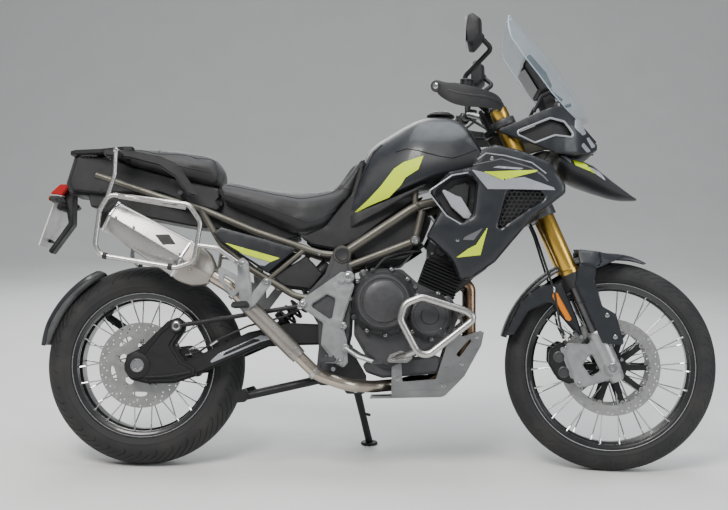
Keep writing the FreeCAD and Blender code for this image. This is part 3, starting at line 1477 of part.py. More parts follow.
def shock_absorber():
    """Coil spring and damper between the swingarm's bridge and the frame's cross tube."""
    low = Vector(SHOCK_FOOT[0], 0, SHOCK_FOOT[1])
    high = Vector(SHOCK_TOP[0], 0, SHOCK_TOP[1])
    along = high - low
    length = along.Length
    stations = [(length * 0.03, 15), (length * 0.12, 23)]
    coils = 6
    pitch = length * 0.72 / coils
    for k in range(coils):
        foot = length * 0.16 + k * pitch
        stations += [(foot, 24), (foot + pitch * 0.3, 35), (foot + pitch * 0.6, 24)]
    stations += [(length * 0.92, 24), (length * 0.96, 15)]
    spring = ringed(stations, TUBE_FLATS, low, along)
    foot = boss(16, 44, low - Vector(0, 22, 0), Vector(0, 1, 0))
    head = boss(21, 44, high - Vector(0, 22, 0), Vector(0, 1, 0))
    tunnel = Part.makeCylinder(13 + float(sizes.run_clearance), 60, high - Vector(0, 30, 0), Vector(0, 1, 0))
    return made("shock_absorber", fused([spring, foot, head]).cut(tunnel))


CRASH_LOOP = [(1094, 498), (1064, 520), (924, 563), (868, 540), (856, 490), (925, 362)]


def crash_bars():
    """A closed triangle of tube round each side of the engine, bolted on at three places."""
    r = float(sizes.crash_tube)
    y = -float(sizes.crash_side)
    corners = [(x, y, z) for x, z in CRASH_LOOP]
    start = ((corners[0][0] + corners[-1][0]) / 2, y, (corners[0][2] + corners[-1][2]) / 2)
    loop = bent_tube([start] + corners + [start], r, 36)
    face = -float(sizes.crankcase_half) - 0.2
    lower = bent_tube([(908, y, 392), (880, y + 20, 380), (840, face, 368)], r * 0.85, 20)
    upper = bent_tube([(1070, y, 516), (1050, y + 30, 513), (1035, face, 512)], r * 0.8, 20)
    plate = prism([(823, 378), (812, 352), (880, 352), (904, 372), (860, 392)], face - 8, face)
    right = fused([loop, lower, upper, plate])
    limit = prism([(700, 300), (700, 700), (1200, 700), (1200, 300)], y - 100, face)
    right = right.common(limit)
    return made("crash_bars", Part.makeCompound([right, mirrored(right)]))


SKID_OUTER = [(1128, 456), (1120, 414), (1068, 318), (1000, 246), (760, 238)]


# Turned-up side of the skid plate, with a lug under the crankcase and one before it.
SKID_SIDE = [(1120, 460), (1128, 456), (1120, 414), (1068, 318), (1000, 246), (830, 240), (830, 338),
             (862, 352.7),
             (866, 290), (975, 300), (1016.4, 431.6), (1035.2, 471.6), (1062, 440)]


def skid_plate():
    """Bent sheet under the engine, open in front for the exhaust, with turned-up sides."""
    wall = 4
    inside = [(x - wall * 1.1, z + wall * 0.9) for x, z in reversed(SKID_OUTER)]
    bottom = prism(SKID_OUTER + inside, -112, 112)
    window = prism([(1090, 340), (1150, 340), (1150, 430), (1090, 430)], -70, 70)
    sides = [prism(SKID_SIDE, *sorted((side * 108, side * 112))) for side in (-1, 1)]
    return made("skid_plate", fused([bottom.cut(window)] + sides))


COWL = [(1345, 1186), (1385, 1205), (1425, 1169), (1506, 1093), (1511, 1067), (1486, 1051), (1425, 1041),
        (1359, 1045),
        (1345, 1056)]
WING = [(1161, 1116), (1339, 1195), (1385, 1205), (1425, 1169), (1470, 1126), (1470, 1049), (1425, 1041),
        (1359, 1045),
        (1293, 1070)]
WING_WINDOW = [(1231, 1109), (1343, 1156), (1388, 1146), (1423, 1100), (1358, 1105), (1292, 1079)]
COWL_PLAN = [(1345, 1), (1400, 1), (1440, 0.86), (1480, 0.62), (1520, 0.45)]


def nose_cowl():
    """Headlamp housing with a wing back along each side of the fork, open in its middle."""
    half = float(sizes.cowl_half)
    side = slab("cowl_side", COWL, sizes.cowl_half)
    plan_right = [(x, sizes.cowl_half * share) for x, share in COWL_PLAN]
    plan_left = [(x, sizes.cowl_half * -share) for x, share in reversed(COWL_PLAN)]
    plan = slab("cowl_plan", plan_right + plan_left, 1300, plane=PLAN)
    housing = shared("cowl_housing", [side, plan])
    doc.recompute()
    wing = prism(WING, -half - 5, -half)
    wing = wing.cut(prism(WING_WINDOW, -half - 20, -half + 20))
    follow = Part.Face(wire_through([
        (1150, -half - 6, 1000), (1350, -half - 6, 1000), (1480, -half * 0.62, 1000), (1480, 0, 1000),
        (1150, 0, 1000),
    ])).extrude(Vector(0, 0, 300))
    wing = wing.common(follow)
    pockets = [lamp_shape(0.3), mirrored(lamp_shape(0.3))]
    before_screen = prism([(1430, 1100), (1600, 1100), (1600, 1300), (1430, 1300)], -200, 200).cut(
        screen_solid(float(sizes.screen_wall + sizes.run_clearance)))
    stays = [straight_bar((1396, side * 70, 1178), (1500, side * 70, 1216), 6).cut(before_screen)
             for side in (-1, 1)]
    whole = fused([housing.Shape, wing, mirrored(wing)] + stays).cut(pockets)
    return made("nose_cowl", whole)


def lamp_shape(grow):
    return prism([(1478 - grow, 1062 - grow), (1478 - grow, 1092 + grow), (1506, 1092 + grow), (1512, 1067),
                  (1508, 1062 - grow)], -64 - grow, -14 + grow)


def headlamps():
    right = lamp_shape(0)
    return made("headlamps", Part.makeCompound([right, mirrored(right)]))


BEAK = [(1376, 1043.6), (1425, 1040.6), (1486, 1050.6), (1535, 1000), (1652, 911), (1640, 905), (1586, 905),
        (1412, 961)]


def beak():
    side = slab("beak_side", BEAK, 120)
    plan = slab("beak_plan", [
        (1360, -112), (1480, -98), (1600, -48), (1656, -14), (1656, 14), (1600, 48), (1480, 98), (1360, 112),
    ], 1200, plane=PLAN)
    return shared("beak", [side, plan])


# Screen from its foot upwards: height, middle line x, edge x, half width.
SCREEN_SECTIONS = [(1176, 1499, 1425, 105), (1250, 1464, 1352, 140), (1370, 1378, 1262, 140),
                   (1438, 1322, 1218, 136),
                   (1500, 1270, 1216, 92), (1544, 1235, 1222, 34)]


def screen_line(section, inset, panes=8):
    """Corners along one level of the screen, from its right edge round the front to its left one."""
    height, middle, edge, half = section
    rise = middle - edge
    radius = (rise ** 2 + half ** 2) / (2 * rise)
    centre = middle - radius
    end = math.atan2(half, edge - centre)
    angles = [end * (2 * k / panes - 1) for k in range(panes + 1)]
    inner = radius - inset
    return [Vector(centre + inner * math.cos(a), inner * math.sin(a), height) for a in angles]


def screen_solid(inset):
    """All that the screen encloses, drawn in by this much."""
    return skinned([screen_line(section, inset) for section in SCREEN_SECTIONS])


def windscreen():
    """Curved clear sheet of one wall thickness, a ring of corners at each level."""
    wall = float(sizes.screen_wall)
    rings = [screen_line(section, 0) + screen_line(section, wall)[::-1] for section in SCREEN_SECTIONS]
    return made("windscreen", skinned(rings))


def display():
    """Instrument screen on two stays from the nose."""
    case = prism([(1279, 1400), (1270, 1352), (1322, 1266), (1362, 1279), (1340, 1330)], -86, 86)
    stay_side = [(1326, 1270), (1362, 1279), (1384, 1205.6), (1348, 1188.8)]
    stays = [prism(stay_side, *sorted((side * 58, side * 64))) for side in (-1, 1)]
    return made("display", fused([case] + stays))


# The list of sub-parts: label, how it is made, and what it rides on.

FRONT_AXLE = Placement(Vector(float(sizes.wheelbase), 0, float(sizes.front_tyre_radius)), Rotation())
REAR_AXLE = Placement(Vector(0, 0, float(sizes.rear_tyre_radius)), Rotation())
STEERED = parked() * turned_right()
AHEAD = Placement(moved_ahead(), Rotation())

SUB_PARTS = [
    ("main_frame", main_frame, parked()),
    ("subframe", subframe, parked()),
    ("engine_block", engine_block, parked()),
    ("cylinder_block", cylinder_block, parked()),
    ("radiators", radiators, parked()),
    ("fuel_tank", fuel_tank, parked()),
    ("side_panels", side_panels, parked()),
    ("shrouds", shrouds, parked()),
    ("rider_seat", rider_seat, parked()),
    ("pillion_seat", pillion_seat, parked()),
    ("rear_carrier", rear_carrier, parked()),
    ("tail_unit", tail_unit, parked()),
    ("tail_lamp", tail_lamp, parked()),
    ("number_plate", number_plate, parked()),
    ("pannier_racks", pannier_racks, parked()),
    ("silencer", silencer, parked()),
    ("exhaust_pipes", exhaust_pipes, parked()),
    ("footrest_plates", footrest_plates, parked()),
    ("foot_controls", foot_controls, parked()),
    ("passenger_footrests", passenger_footrests, parked()),
    ("swingarm", swingarm, parked()),
    ("torque_rod", upper_link, parked()),
    ("rear_caliper", rear_caliper, parked()),
    ("rear_axle", rear_axle, parked()),
    ("rear_hugger", rear_hugger, parked()),
    ("shock_absorber", shock_absorber, parked()),
    ("crash_bars", crash_bars, parked()),
    ("skid_plate", skid_plate, parked()),
    ("nose_cowl", nose_cowl, parked() * AHEAD),
    ("headlamps", headlamps, parked() * AHEAD),
    ("beak", beak, parked() * AHEAD),
    ("windscreen", windscreen, parked() * AHEAD),
    ("display", display, parked() * AHEAD),
    ("fork_yokes", fork_yokes, STEERED * fork_frame()),
    ("fork_tubes", fork_tubes, STEERED * fork_frame()),
    ("fork_legs", fork_legs, STEERED * fork_frame()),
    ("front_calipers", front_calipers, STEERED * fork_frame()),
    ("brake_hoses", brake_hoses, STEERED * fork_frame()),
    ("front_axle", front_axle, STEERED * FRONT_AXLE),
    ("front_fender", front_fender, STEERED),
    ("handlebar", handlebar, STEERED * AHEAD),
    ("grips", grips, STEERED * AHEAD),
    ("hand_controls", hand_controls, STEERED * AHEAD),
    ("handguards", handguards, STEERED * AHEAD),
    ("mirrors", mirrors, STEERED * AHEAD),
    ("front_tyre", lambda: tyre("front_tyre", "front"), STEERED * FRONT_AXLE),
    ("front_rim", lambda: spoked_rim("front_rim", "front", 72), STEERED * FRONT_AXLE),
    ("front_discs", front_discs, STEERED * FRONT_AXLE),
    ("rear_tyre", lambda: tyre("rear_tyre", "rear"), parked() * REAR_AXLE),
    ("rear_rim", lambda: spoked_rim("rear_rim", "rear", 93), parked() * REAR_AXLE),
    ("rear_disc", rear_disc, parked() * REAR_AXLE),
    ("side_stand", side_stand, parked()),
    ("centre_stand", centre_stand, parked()),
]


def write_parts():
    os.makedirs("parts", exist_ok=True)
    finished = []
    for label, maker, stance in SUB_PARTS:
        item = maker()
        item.Label = label
        doc.recompute()
        item.Placement = stance * item.Placement
        finished.append((label, item))
    doc.recompute()
    for item in doc.Objects:
        assert not {"Invalid", "Error"} & set(item.State), item.Name + " failed"
    for label, item in finished:
        assert not item.Shape.isNull() and item.Shape.isValid(), label + " has no valid shape"
    for label, item in finished:
        item.Shape.exportStep(os.path.join("parts", label + ".step"))
        print(label, len(item.Shape.Solids), round(item.Shape.Volume / 1000, 1), "cm3")


write_parts()
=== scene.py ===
# %% [markdown]
# # An adventure motorcycle, parked on its side stand
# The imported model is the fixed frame: every finer piece below goes where that model says.
# Sizes are written in millimetres in the machine's own upright frame, with X forward from the rear axle,
# Y to its left and Z up from the ground. Two matrices then lean and steer it as it is parked.

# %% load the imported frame
import math

import bmesh
import bpy
from mathutils import Matrix, Vector
from mathutils.bvhtree import BVHTree
from mathutils.geometry import delaunay_2d_cdt


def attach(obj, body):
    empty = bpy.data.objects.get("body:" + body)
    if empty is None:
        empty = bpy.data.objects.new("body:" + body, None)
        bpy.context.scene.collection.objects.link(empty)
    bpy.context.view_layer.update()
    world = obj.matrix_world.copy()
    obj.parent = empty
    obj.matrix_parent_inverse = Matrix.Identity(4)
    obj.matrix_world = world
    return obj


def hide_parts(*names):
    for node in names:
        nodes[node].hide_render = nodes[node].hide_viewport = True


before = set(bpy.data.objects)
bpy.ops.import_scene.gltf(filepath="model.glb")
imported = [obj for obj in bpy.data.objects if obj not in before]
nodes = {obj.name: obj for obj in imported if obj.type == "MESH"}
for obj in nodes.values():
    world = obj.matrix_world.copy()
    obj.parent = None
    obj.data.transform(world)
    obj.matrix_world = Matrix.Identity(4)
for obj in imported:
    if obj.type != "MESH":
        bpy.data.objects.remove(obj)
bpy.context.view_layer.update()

# %% [markdown]
# The machine leans 10 degrees to its left and its bars are turned 6 degrees to the right.
# `parked` takes a point of the upright machine to its place in the model.
# `steered` does the same for what turns with the bars, whose axis leans back by the rake.

# %% where the upright machine stands in the model
MM = 0.001
LEAN = math.radians(10)
BAR_TURN = math.radians(-6)
RAKE = math.radians(23.7)
STEERING_FOOT = Vector((1.672, 0, 0))
REAR_AXLE = Vector((0, 0, 333.5))
FRONT_AXLE = Vector((1560, 0, 347.5))

parked = Matrix.Translation((-0.774, -0.213, 0.0012)) @ Matrix.Rotation(-LEAN, 4, "X")
steering_axis = Vector((-math.sin(RAKE), 0, math.cos(RAKE)))
turn_bars = (
    Matrix.Translation(STEERING_FOOT)
    @ Matrix.Rotation(BAR_TURN, 4, steering_axis)
    @ Matrix.Translation(-STEERING_FOOT)
)
steered = parked @ turn_bars
PLACES = {
    "chassis": parked,
    "front_end": steered,
    "front_wheel": steered,
    "rear_wheel": parked,
    "side_stand": parked,
    "centre_stand": parked,
}

# %% [markdown]
# The camera looks from the machine's right side, as the photo does, a little down and from the middle.
# Its place and its three small angles were fitted to the wheels and the axles.

# %% camera
LENS_MM = 54.396
YAW = -0.025984
PITCH_DOWN = 0.094285
ROLL = 0.007446
CAMERA_PLACE = Vector((0.05523, -3.82146, 1.05736))

ahead = Vector((
    math.sin(YAW) * math.cos(PITCH_DOWN),
    math.cos(YAW) * math.cos(PITCH_DOWN),
    -math.sin(PITCH_DOWN),
))
level = Vector((math.cos(YAW), -math.sin(YAW), 0))
upward = level.cross(ahead)
right = level * math.cos(ROLL) + upward * math.sin(ROLL)
up = upward * math.cos(ROLL) - level * math.sin(ROLL)

lens = bpy.data.cameras.new("photo_view")
lens.lens = LENS_MM
lens.sensor_width = 36
camera = bpy.data.objects.new("photo_view", lens)
camera.matrix_world = Matrix((right, up, -ahead)).transposed().to_4x4()
camera.location = CAMERA_PLACE
bpy.context.scene.collection.objects.link(camera)
bpy.context.scene.camera = camera
print("camera at", [round(v, 3) for v in CAMERA_PLACE])

# %% [markdown]
# A plain pale floor and a few large soft lights stand for an open, slightly cloudy sky.

# %% floor and lights
def area_light(name, place, size, power, colour=(1, 1, 1), aim=(0, 0, 0.6)):
    """A square soft light that looks at one point of the machine."""
    light = bpy.data.lights.new(name, "AREA")
    light.size = size
    light.energy = power
    light.color = colour
    lamp = bpy.data.objects.new(name, light)
    lamp.location = place
    lamp.rotation_euler = (Vector(aim) - Vector(place)).to_track_quat("-Z", "Y").to_euler()
    bpy.context.scene.collection.objects.link(lamp)
    return lamp


sweep = [(-40, 0), (5, 0)] + [(5 + 5 * math.sin(a), 5 - 5 * math.cos(a))
                              for a in [math.radians(10 * k) for k in range(1, 10)]] + [(10, 16)]
sheet = bpy.data.meshes.new("floor")
sheet.from_pydata([(x, y, z) for y, z in sweep for x in (-40, 40)], [],
                  [(2 * k, 2 * k + 1, 2 * k + 3, 2 * k + 2) for k in range(len(sweep) - 1)])
floor = bpy.data.objects.new("floor", sheet)
for face in sheet.polygons:
    face.use_smooth = True
bpy.context.scene.collection.objects.link(floor)

area_light("key", (-1.6, -3.6, 4.8), 2.2, 330, (1, 0.97, 0.93))
area_light("front_fill", (4.2, -3.2, 2.2), 2.2, 90, (0.93, 0.97, 1))
area_light("sky", (0.2, 0.4, 5.2), 3.6, 210, (0.93, 0.97, 1))
area_light("back_rim", (-1.2, 4.0, 3.4), 3.0, 120)

world = bpy.data.worlds.new("sky")
bpy.context.scene.world = world
world.use_nodes = True
world.node_tree.nodes["Background"].inputs["Color"].default_value = (0.86, 0.9, 0.95, 1)
world.node_tree.nodes["Background"].inputs["Strength"].default_value = 0.36

# %% [markdown]
# `Finish` holds one material. `node` adds any node from its type, its settings and what feeds it, and gives
# back one of its outputs, so that one pattern can feed the next.

# %% a small language for materials
class Finish:
    """One node-based material with its shader and the few patterns that all of them use."""

    def __init__(self, name):
        self.material = bpy.data.materials.new(name)
        self.material.use_nodes = True
        self.tree = self.material.node_tree
        self.shader = self.tree.nodes["Principled BSDF"]

    def feed(self, socket, value):
        if isinstance(value, bpy.types.NodeSocket):
            self.tree.links.new(value, socket)
        else:
            socket.default_value = value

    def node(self, kind, settings=None, inputs=None, output=0):
        node = self.tree.nodes.new(kind)
        for key, value in (settings or {}).items():
            setattr(node, key, value)
        for key, value in (inputs or {}).items():
            self.feed(node.inputs[key], value)
        return node.outputs[output]

    def place(self):
        """Where a point lies on the machine as it is parked, in metres."""
        return self.node("ShaderNodeTexCoord", output="Object")

    def noise(self, scale, detail=3, where=None):
        inputs = {"Vector": where or self.place(), "Scale": scale, "Detail": detail}
        return self.node("ShaderNodeTexNoise", inputs=inputs, output="Fac")

    def cells(self, scale):
        inputs = {"Vector": self.place(), "Scale": scale}
        return self.node("ShaderNodeTexVoronoi", inputs=inputs, output="Distance")

    def ramp(self, value, low, high, start=0.0, end=1.0):
        inputs = {0: value, 1: low, 2: high, 3: start, 4: end}
        return self.node("ShaderNodeMapRange", {"clamp": True}, inputs)

    def mix(self, share, first, second):
        inputs = {0: share, 6: first, 7: second}
        return self.node("ShaderNodeMix", {"data_type": "RGBA"}, inputs, 2)

    def bump(self, height, strength, depth=0.001):
        inputs = {"Height": height, "Strength": strength, "Distance": depth}
        return self.node("ShaderNodeBump", inputs=inputs, output="Normal")

    def set(self, **inputs):
        for key, value in inputs.items():
            self.feed(self.shader.inputs[key.replace("_", " ")], value)
        return self.material


def tone(red, green, blue):
    return (red, green, blue, 1)

# %% [markdown]
# Each finish below names what the real surface is, and builds its grain, wear and dust from noise.

# %% floor finish
ground = Finish("pale_floor")
speckle = ground.noise(3.0, 4)
floor.data.materials.append(ground.set(
    **{"Base_Color": ground.mix(speckle, tone(0.66, 0.66, 0.65), tone(0.72, 0.72, 0.71))},
    Roughness=ground.ramp(speckle, 0.3, 0.7, 0.75, 0.9),
))

# %% [markdown]
# Most surfaces come from five recipes. Each mixes two tones by a slow noise, and takes its roughness and its
# fine relief from quicker ones. Paint and moulded plastic come first.

# %% painted and moulded finishes
def painted(name, colour, dark, roughness=0.32, coat=0.35, flake=0.0):
    """Body paint with a faint orange peel, two tones mixed by a slow noise and fine flakes if it has any."""
    finish = Finish(name)
    cloud = finish.noise(9.0, 3)
    base = finish.mix(finish.ramp(cloud, 0.35, 0.7), tone(*dark), tone(*colour))
    peel = finish.noise(420.0, 2)
    return finish.set(
        **{"Base_Color": base, "Coat_Weight": finish.ramp(cloud, 0.2, 0.8, coat, coat * 0.8)},
        Metallic=finish.ramp(finish.noise(2600.0, 1), 0.45, 0.6, 0.0, flake),
        Roughness=finish.ramp(finish.noise(38.0, 4), 0.3, 0.75, roughness * 0.9, roughness * 1.2),
        Normal=finish.bump(peel, 0.06, 0.0004),
    )


def moulded(name, colour, grain=900.0, roughness=0.55, depth=0.3):
    """Bare moulded plastic with a pebbled grain and lighter patches of dust."""
    finish = Finish(name)
    pebble = finish.cells(grain)
    dust = finish.ramp(finish.noise(14.0, 5), 0.42, 0.8)
    base = finish.mix(dust, tone(*colour), tone(*[c * 1.5 + 0.006 for c in colour]))
    return finish.set(
        **{"Base_Color": base},
        Roughness=finish.ramp(finish.noise(30.0, 3), 0.3, 0.7, roughness * 0.88, roughness * 1.12),
        Normal=finish.bump(pebble, depth, 0.0005),
    )

# %% [markdown]
# Cast metal has a sandy skin. Brushed metal has noise that is stretched along the piece, which reads as fine
# scratches. Rubber is greyer where dust lies.

# %% cast, brushed and rubber finishes
def cast(name, colour, metal=0.85, roughness=0.42, grain=700.0, depth=0.25):
    """Cast or blasted light metal: a fine sand skin with slight stains."""
    finish = Finish(name)
    stain = finish.ramp(finish.noise(17.0, 5), 0.35, 0.75)
    base = finish.mix(stain, tone(*colour), tone(*[c * 0.72 for c in colour]))
    skin = finish.noise(grain, 3)
    return finish.set(
        **{"Base_Color": base},
        Metallic=finish.ramp(stain, 0, 1, metal, metal * 0.85),
        Roughness=finish.ramp(finish.noise(60.0, 4), 0.3, 0.7, roughness * 0.85, roughness * 1.2),
        Normal=finish.bump(skin, depth, 0.0005),
    )


def brushed(name, colour, roughness=0.28, stretch=(9.0, 260.0, 260.0), metal=1.0, depth=0.06, spread=0.3):
    """Drawn or brushed metal: long fine scratches along the piece and a few smears."""
    finish = Finish(name)
    scaled = finish.node("ShaderNodeVectorMath", {"operation": "MULTIPLY"}, {0: finish.place(), 1: stretch})
    lines = finish.noise(4.0, 4, scaled)
    smear = finish.noise(13.0, 4)
    base = finish.mix(finish.ramp(smear, 0.35, 0.75), tone(*colour), tone(*[c * 0.8 for c in colour]))
    return finish.set(
        **{"Base_Color": base},
        Metallic=finish.ramp(smear, 0, 1, metal, metal * 0.94),
        Roughness=finish.ramp(lines, 0.3, 0.7, roughness * (1 - spread), roughness * (1 + spread)),
        Normal=finish.bump(lines, depth, 0.0003),
    )


def rubber(name, colour=(0.01, 0.01, 0.011), dusty=(0.033, 0.031, 0.029), roughness=0.8):
    """Black rubber, greyer where dust has settled."""
    finish = Finish(name)
    dust = finish.ramp(finish.noise(11.0, 6), 0.45, 0.8)
    return finish.set(
        **{"Base_Color": finish.mix(dust, tone(*colour), tone(*dusty))},
        Roughness=finish.ramp(dust, 0, 1, roughness * 0.85, roughness * 1.1),
        Normal=finish.bump(finish.noise(850.0, 2), 0.15, 0.0004),
    )

# %% [markdown]
# Now every finish gets its colours. What is black in the photo stays a little above black here, so that its
# form still shows in the shade.

# %% the set of finishes
dark_paint = painted("dark_paint", (0.0125, 0.0148, 0.019), (0.009, 0.0108, 0.0142), 0.4, 0.16, 0.12)
lime_paint = painted("lime_paint", (0.62, 0.78, 0.008), (0.54, 0.7, 0.006), 0.4, 0.12)
grey_paint = painted("grey_paint", (0.13, 0.13, 0.14), (0.11, 0.11, 0.12), 0.42, 0.15, 0.4)
silver_paint = painted("silver_paint", (0.36, 0.375, 0.4), (0.31, 0.325, 0.35), 0.34, 0.2, 0.6)
black_paint = painted("black_paint", (0.008, 0.008, 0.009), (0.005, 0.005, 0.006), 0.25, 0.5)
black_plastic = moulded("black_plastic", (0.0085, 0.0085, 0.0095), 900.0, 0.6)
grey_plastic = moulded("grey_plastic", (0.03, 0.031, 0.033), 700.0, 0.6)
dark_cast = cast("dark_cast", (0.075, 0.075, 0.079), 0.6, 0.46)
black_cast = cast("black_cast", (0.013, 0.013, 0.014), 0.35, 0.5)
silver_cast = cast("silver_cast", (0.4, 0.405, 0.41), 0.85, 0.4, 700.0, 0.06)
frame_steel = cast("frame_steel", (0.13, 0.122, 0.102), 0.6, 0.4, 500.0, 0.12)
bare_steel = brushed("bare_steel", (0.56, 0.55, 0.53), 0.3)
bright_steel = brushed("bright_steel", (0.66, 0.66, 0.65), 0.2)
skid_metal = brushed("skid_metal", (0.36, 0.36, 0.36), 0.38)
bronze_steel = brushed("bronze_steel", (0.3, 0.2, 0.13), 0.3)
gold_metal = brushed("gold_metal", (0.62, 0.385, 0.075), 0.3, (70.0, 70.0, 4.0), 1.0, 0.0, 0.04)
dark_chrome = brushed("dark_chrome", (0.1, 0.1, 0.105), 0.2, (70.0, 70.0, 4.0), 1.0, 0.0, 0.04)
tyre_rubber = rubber("tyre_rubber")
grip_rubber = rubber("grip_rubber", (0.012, 0.012, 0.013), (0.025, 0.025, 0.026), 0.7)

# %% [markdown]
# The seat cover, the clear screen and the lenses have recipes of their own. The last lines of the cell add
# the finishes of small metal parts.

# %% seat cover, screen and lenses
def vinyl():
    """Seat cover: fine leather grain with a soft sheen on the crowns."""
    finish = Finish("seat_vinyl")
    grain = finish.cells(620.0)
    worn = finish.ramp(finish.noise(8.0, 4), 0.4, 0.75)
    return finish.set(
        **{"Base_Color": finish.mix(worn, tone(0.0095, 0.0095, 0.0105), tone(0.018, 0.018, 0.0195)),
           "Sheen_Weight": 0.08},
        Roughness=finish.ramp(worn, 0, 1, 0.5, 0.62),
        Normal=finish.bump(grain, 0.35, 0.0006),
    )


def clear_screen():
    """Clear moulded screen with a faint blue tint. Its rim of reflections is a painted highlight, given by a
    separate edge in a lighter, less clear tint.
    """
    finish = Finish("clear_screen")
    haze = finish.noise(20.0, 3)
    finish.material.blend_method = "BLEND"
    return finish.set(
        **{"Base_Color": finish.mix(haze, tone(0.3, 0.4, 0.47), tone(0.36, 0.45, 0.52)),
           "Alpha": finish.ramp(haze, 0.2, 0.8, 0.1, 0.17)},
        Roughness=finish.ramp(haze, 0.2, 0.8, 0.03, 0.09),
        IOR=1.45,
    )


def lens_glass(name, colour, alpha=0.45, roughness=0.08):
    """Lamp plastic, dark glass or a mirror, with a little haze."""
    finish = Finish(name)
    haze = finish.noise(60.0, 2)
    finish.material.blend_method = "BLEND"
    return finish.set(
        **{"Base_Color": finish.mix(haze, tone(*colour), tone(*[c * 0.85 for c in colour])),
           "Alpha": finish.ramp(haze, 0.2, 0.8, alpha * 0.9, min(1.0, alpha * 1.1)),
           "Coat_Weight": 0.6},
        Roughness=finish.ramp(haze, 0.2, 0.8, roughness * 0.8, roughness * 1.3),
    )


seat_vinyl = vinyl()
screen_plastic = clear_screen()
red_lens = lens_glass("red_lens", (0.45, 0.01, 0.01), 1.0, 0.12)
amber_lens = lens_glass("amber_lens", (0.75, 0.22, 0.01), 1.0, 0.15)
clear_lens = lens_glass("clear_lens", (0.7, 0.75, 0.8), 0.4)
dark_glass = lens_glass("dark_glass", (0.012, 0.014, 0.018), 1.0, 0.07)
mirror_glass = lens_glass("mirror_glass", (0.5, 0.53, 0.56), 1.0, 0.04)
plate_paint = painted("plate_paint", (0.7, 0.7, 0.68), (0.62, 0.62, 0.6), 0.35, 0.3)
rim_paint = painted("rim_paint", (0.011, 0.011, 0.012), (0.008, 0.008, 0.009), 0.3, 0.5)
bolt_steel = brushed("bolt_steel", (0.3, 0.3, 0.3), 0.34)
rim_line = brushed("rim_line", (0.6, 0.6, 0.6), 0.25)
spoke_steel = brushed("spoke_steel", (0.66, 0.66, 0.65), 0.22)
pipe_steel = brushed("pipe_steel", (0.5, 0.44, 0.37), 0.3)
heat_shield = brushed("heat_shield", (0.36, 0.33, 0.3), 0.4)
can_steel = brushed("can_steel", (0.42, 0.41, 0.4), 0.32, (30.0, 200.0, 200.0))
# painted highlight: the screen's edge is lighter and less clear than the screen, standing in for the
# reflections along its rim
screen_rim_highlight = lens_glass("screen_rim_highlight", (0.5, 0.62, 0.7), 0.55, 0.1)
disc_steel = cast("disc_steel", (0.44, 0.44, 0.43), 0.85, 0.34, 420.0, 0.03)
print(len(bpy.data.materials), "materials")

# %% [markdown]
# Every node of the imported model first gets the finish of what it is. Those that are drawn finer later are
# hidden again when their finer piece replaces them.

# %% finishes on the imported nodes
NODE_FINISH = {
    "main_frame": frame_steel, "subframe": frame_steel,
    "engine_block": dark_cast, "cylinder_block": black_cast, "radiators": black_cast,
    "fuel_tank": dark_paint, "side_panels": dark_paint, "shrouds": dark_paint, "beak": dark_paint,
    "rider_seat": seat_vinyl, "pillion_seat": seat_vinyl, "tail_unit": black_plastic,
    "tail_lamp": red_lens, "number_plate": plate_paint, "rear_carrier": black_plastic,
    "pannier_racks": bare_steel, "silencer": skid_metal, "exhaust_pipes": bronze_steel,
    "footrest_plates": silver_cast, "foot_controls": silver_cast, "passenger_footrests": dark_cast,
    "swingarm": black_cast, "torque_rod": silver_cast, "rear_caliper": dark_cast, "rear_axle": bright_steel,
    "rear_hugger": black_plastic, "shock_absorber": dark_chrome, "crash_bars": bare_steel,
    "skid_plate": skid_metal, "nose_cowl": dark_paint, "headlamps": clear_lens, "windscreen": screen_plastic,
    "display": dark_glass, "fork_tubes": gold_metal, "fork_legs": silver_cast, "front_calipers": dark_cast,
    "front_axle": bright_steel, "fork_yokes": dark_cast, "brake_hoses": grip_rubber,
    "handlebar": black_paint, "grips": grip_rubber, "hand_controls": black_plastic,
    "handguards": black_plastic, "mirrors": black_plastic, "front_fender": dark_paint,
    "front_tyre": tyre_rubber, "front_rim": black_paint, "front_discs": bright_steel,
    "rear_tyre": tyre_rubber, "rear_rim": black_paint, "rear_disc": bright_steel, "side_stand": black_cast,
    "centre_stand": black_cast,
}
for label, node in nodes.items():
    node.data.materials.clear()
    node.data.materials.append(NODE_FINISH[label])
print("no finish:", sorted(set(nodes) - set(NODE_FINISH)), "no node:", sorted(set(NODE_FINISH) - set(nodes)))

# %% [markdown]
# Real bodywork has rounded corners and rolled rims, and tubes bend in arcs. The helpers below turn a few
# corner points into such routes and outlines, so that each piece is described only by the points that matter.

# %% routes and outlines
def rounded(points, bend, step=9):
    """A route in space whose corners become arcs of one radius, or of what room there is."""
    spots = [Vector(p) for p in points]
    path = [spots[0]]
    for before, corner, after in zip(spots, spots[1:], spots[2:]):
        back = (before - corner).normalized()
        onward = (after - corner).normalized()
        turn = math.pi - back.angle(onward)
        if turn < 0.02 or turn > 3.1 or bend <= 0:
            path.append(corner)
            continue
        room = 0.49 * min((before - corner).length, (after - corner).length)
        reach = min(bend * math.tan(turn / 2), room)
        radius = reach / math.tan(turn / 2)
        centre = corner + (back + onward).normalized() * (radius / math.cos(turn / 2))
        first = corner + back * reach - centre
        axis = (-back).cross(onward).normalized()
        count = max(2, round(math.degrees(turn) / step))
        path += [centre + Matrix.Rotation(turn * k / count, 3, axis) @ first for k in range(count + 1)]
    return path + [spots[-1]]


def eased(outline, bend):
    """A closed flat outline of (x, z) corners with every corner rounded."""
    corners = [Vector((x, 0, z)) for x, z in outline]
    rounds = []
    for i, corner in enumerate(corners):
        arc = rounded([corners[i - 1], corner, corners[(i + 1) % len(corners)]], bend, 20)[1:-1]
        rounds += [(spot.x, spot.z) for spot in arc]
    return rounds


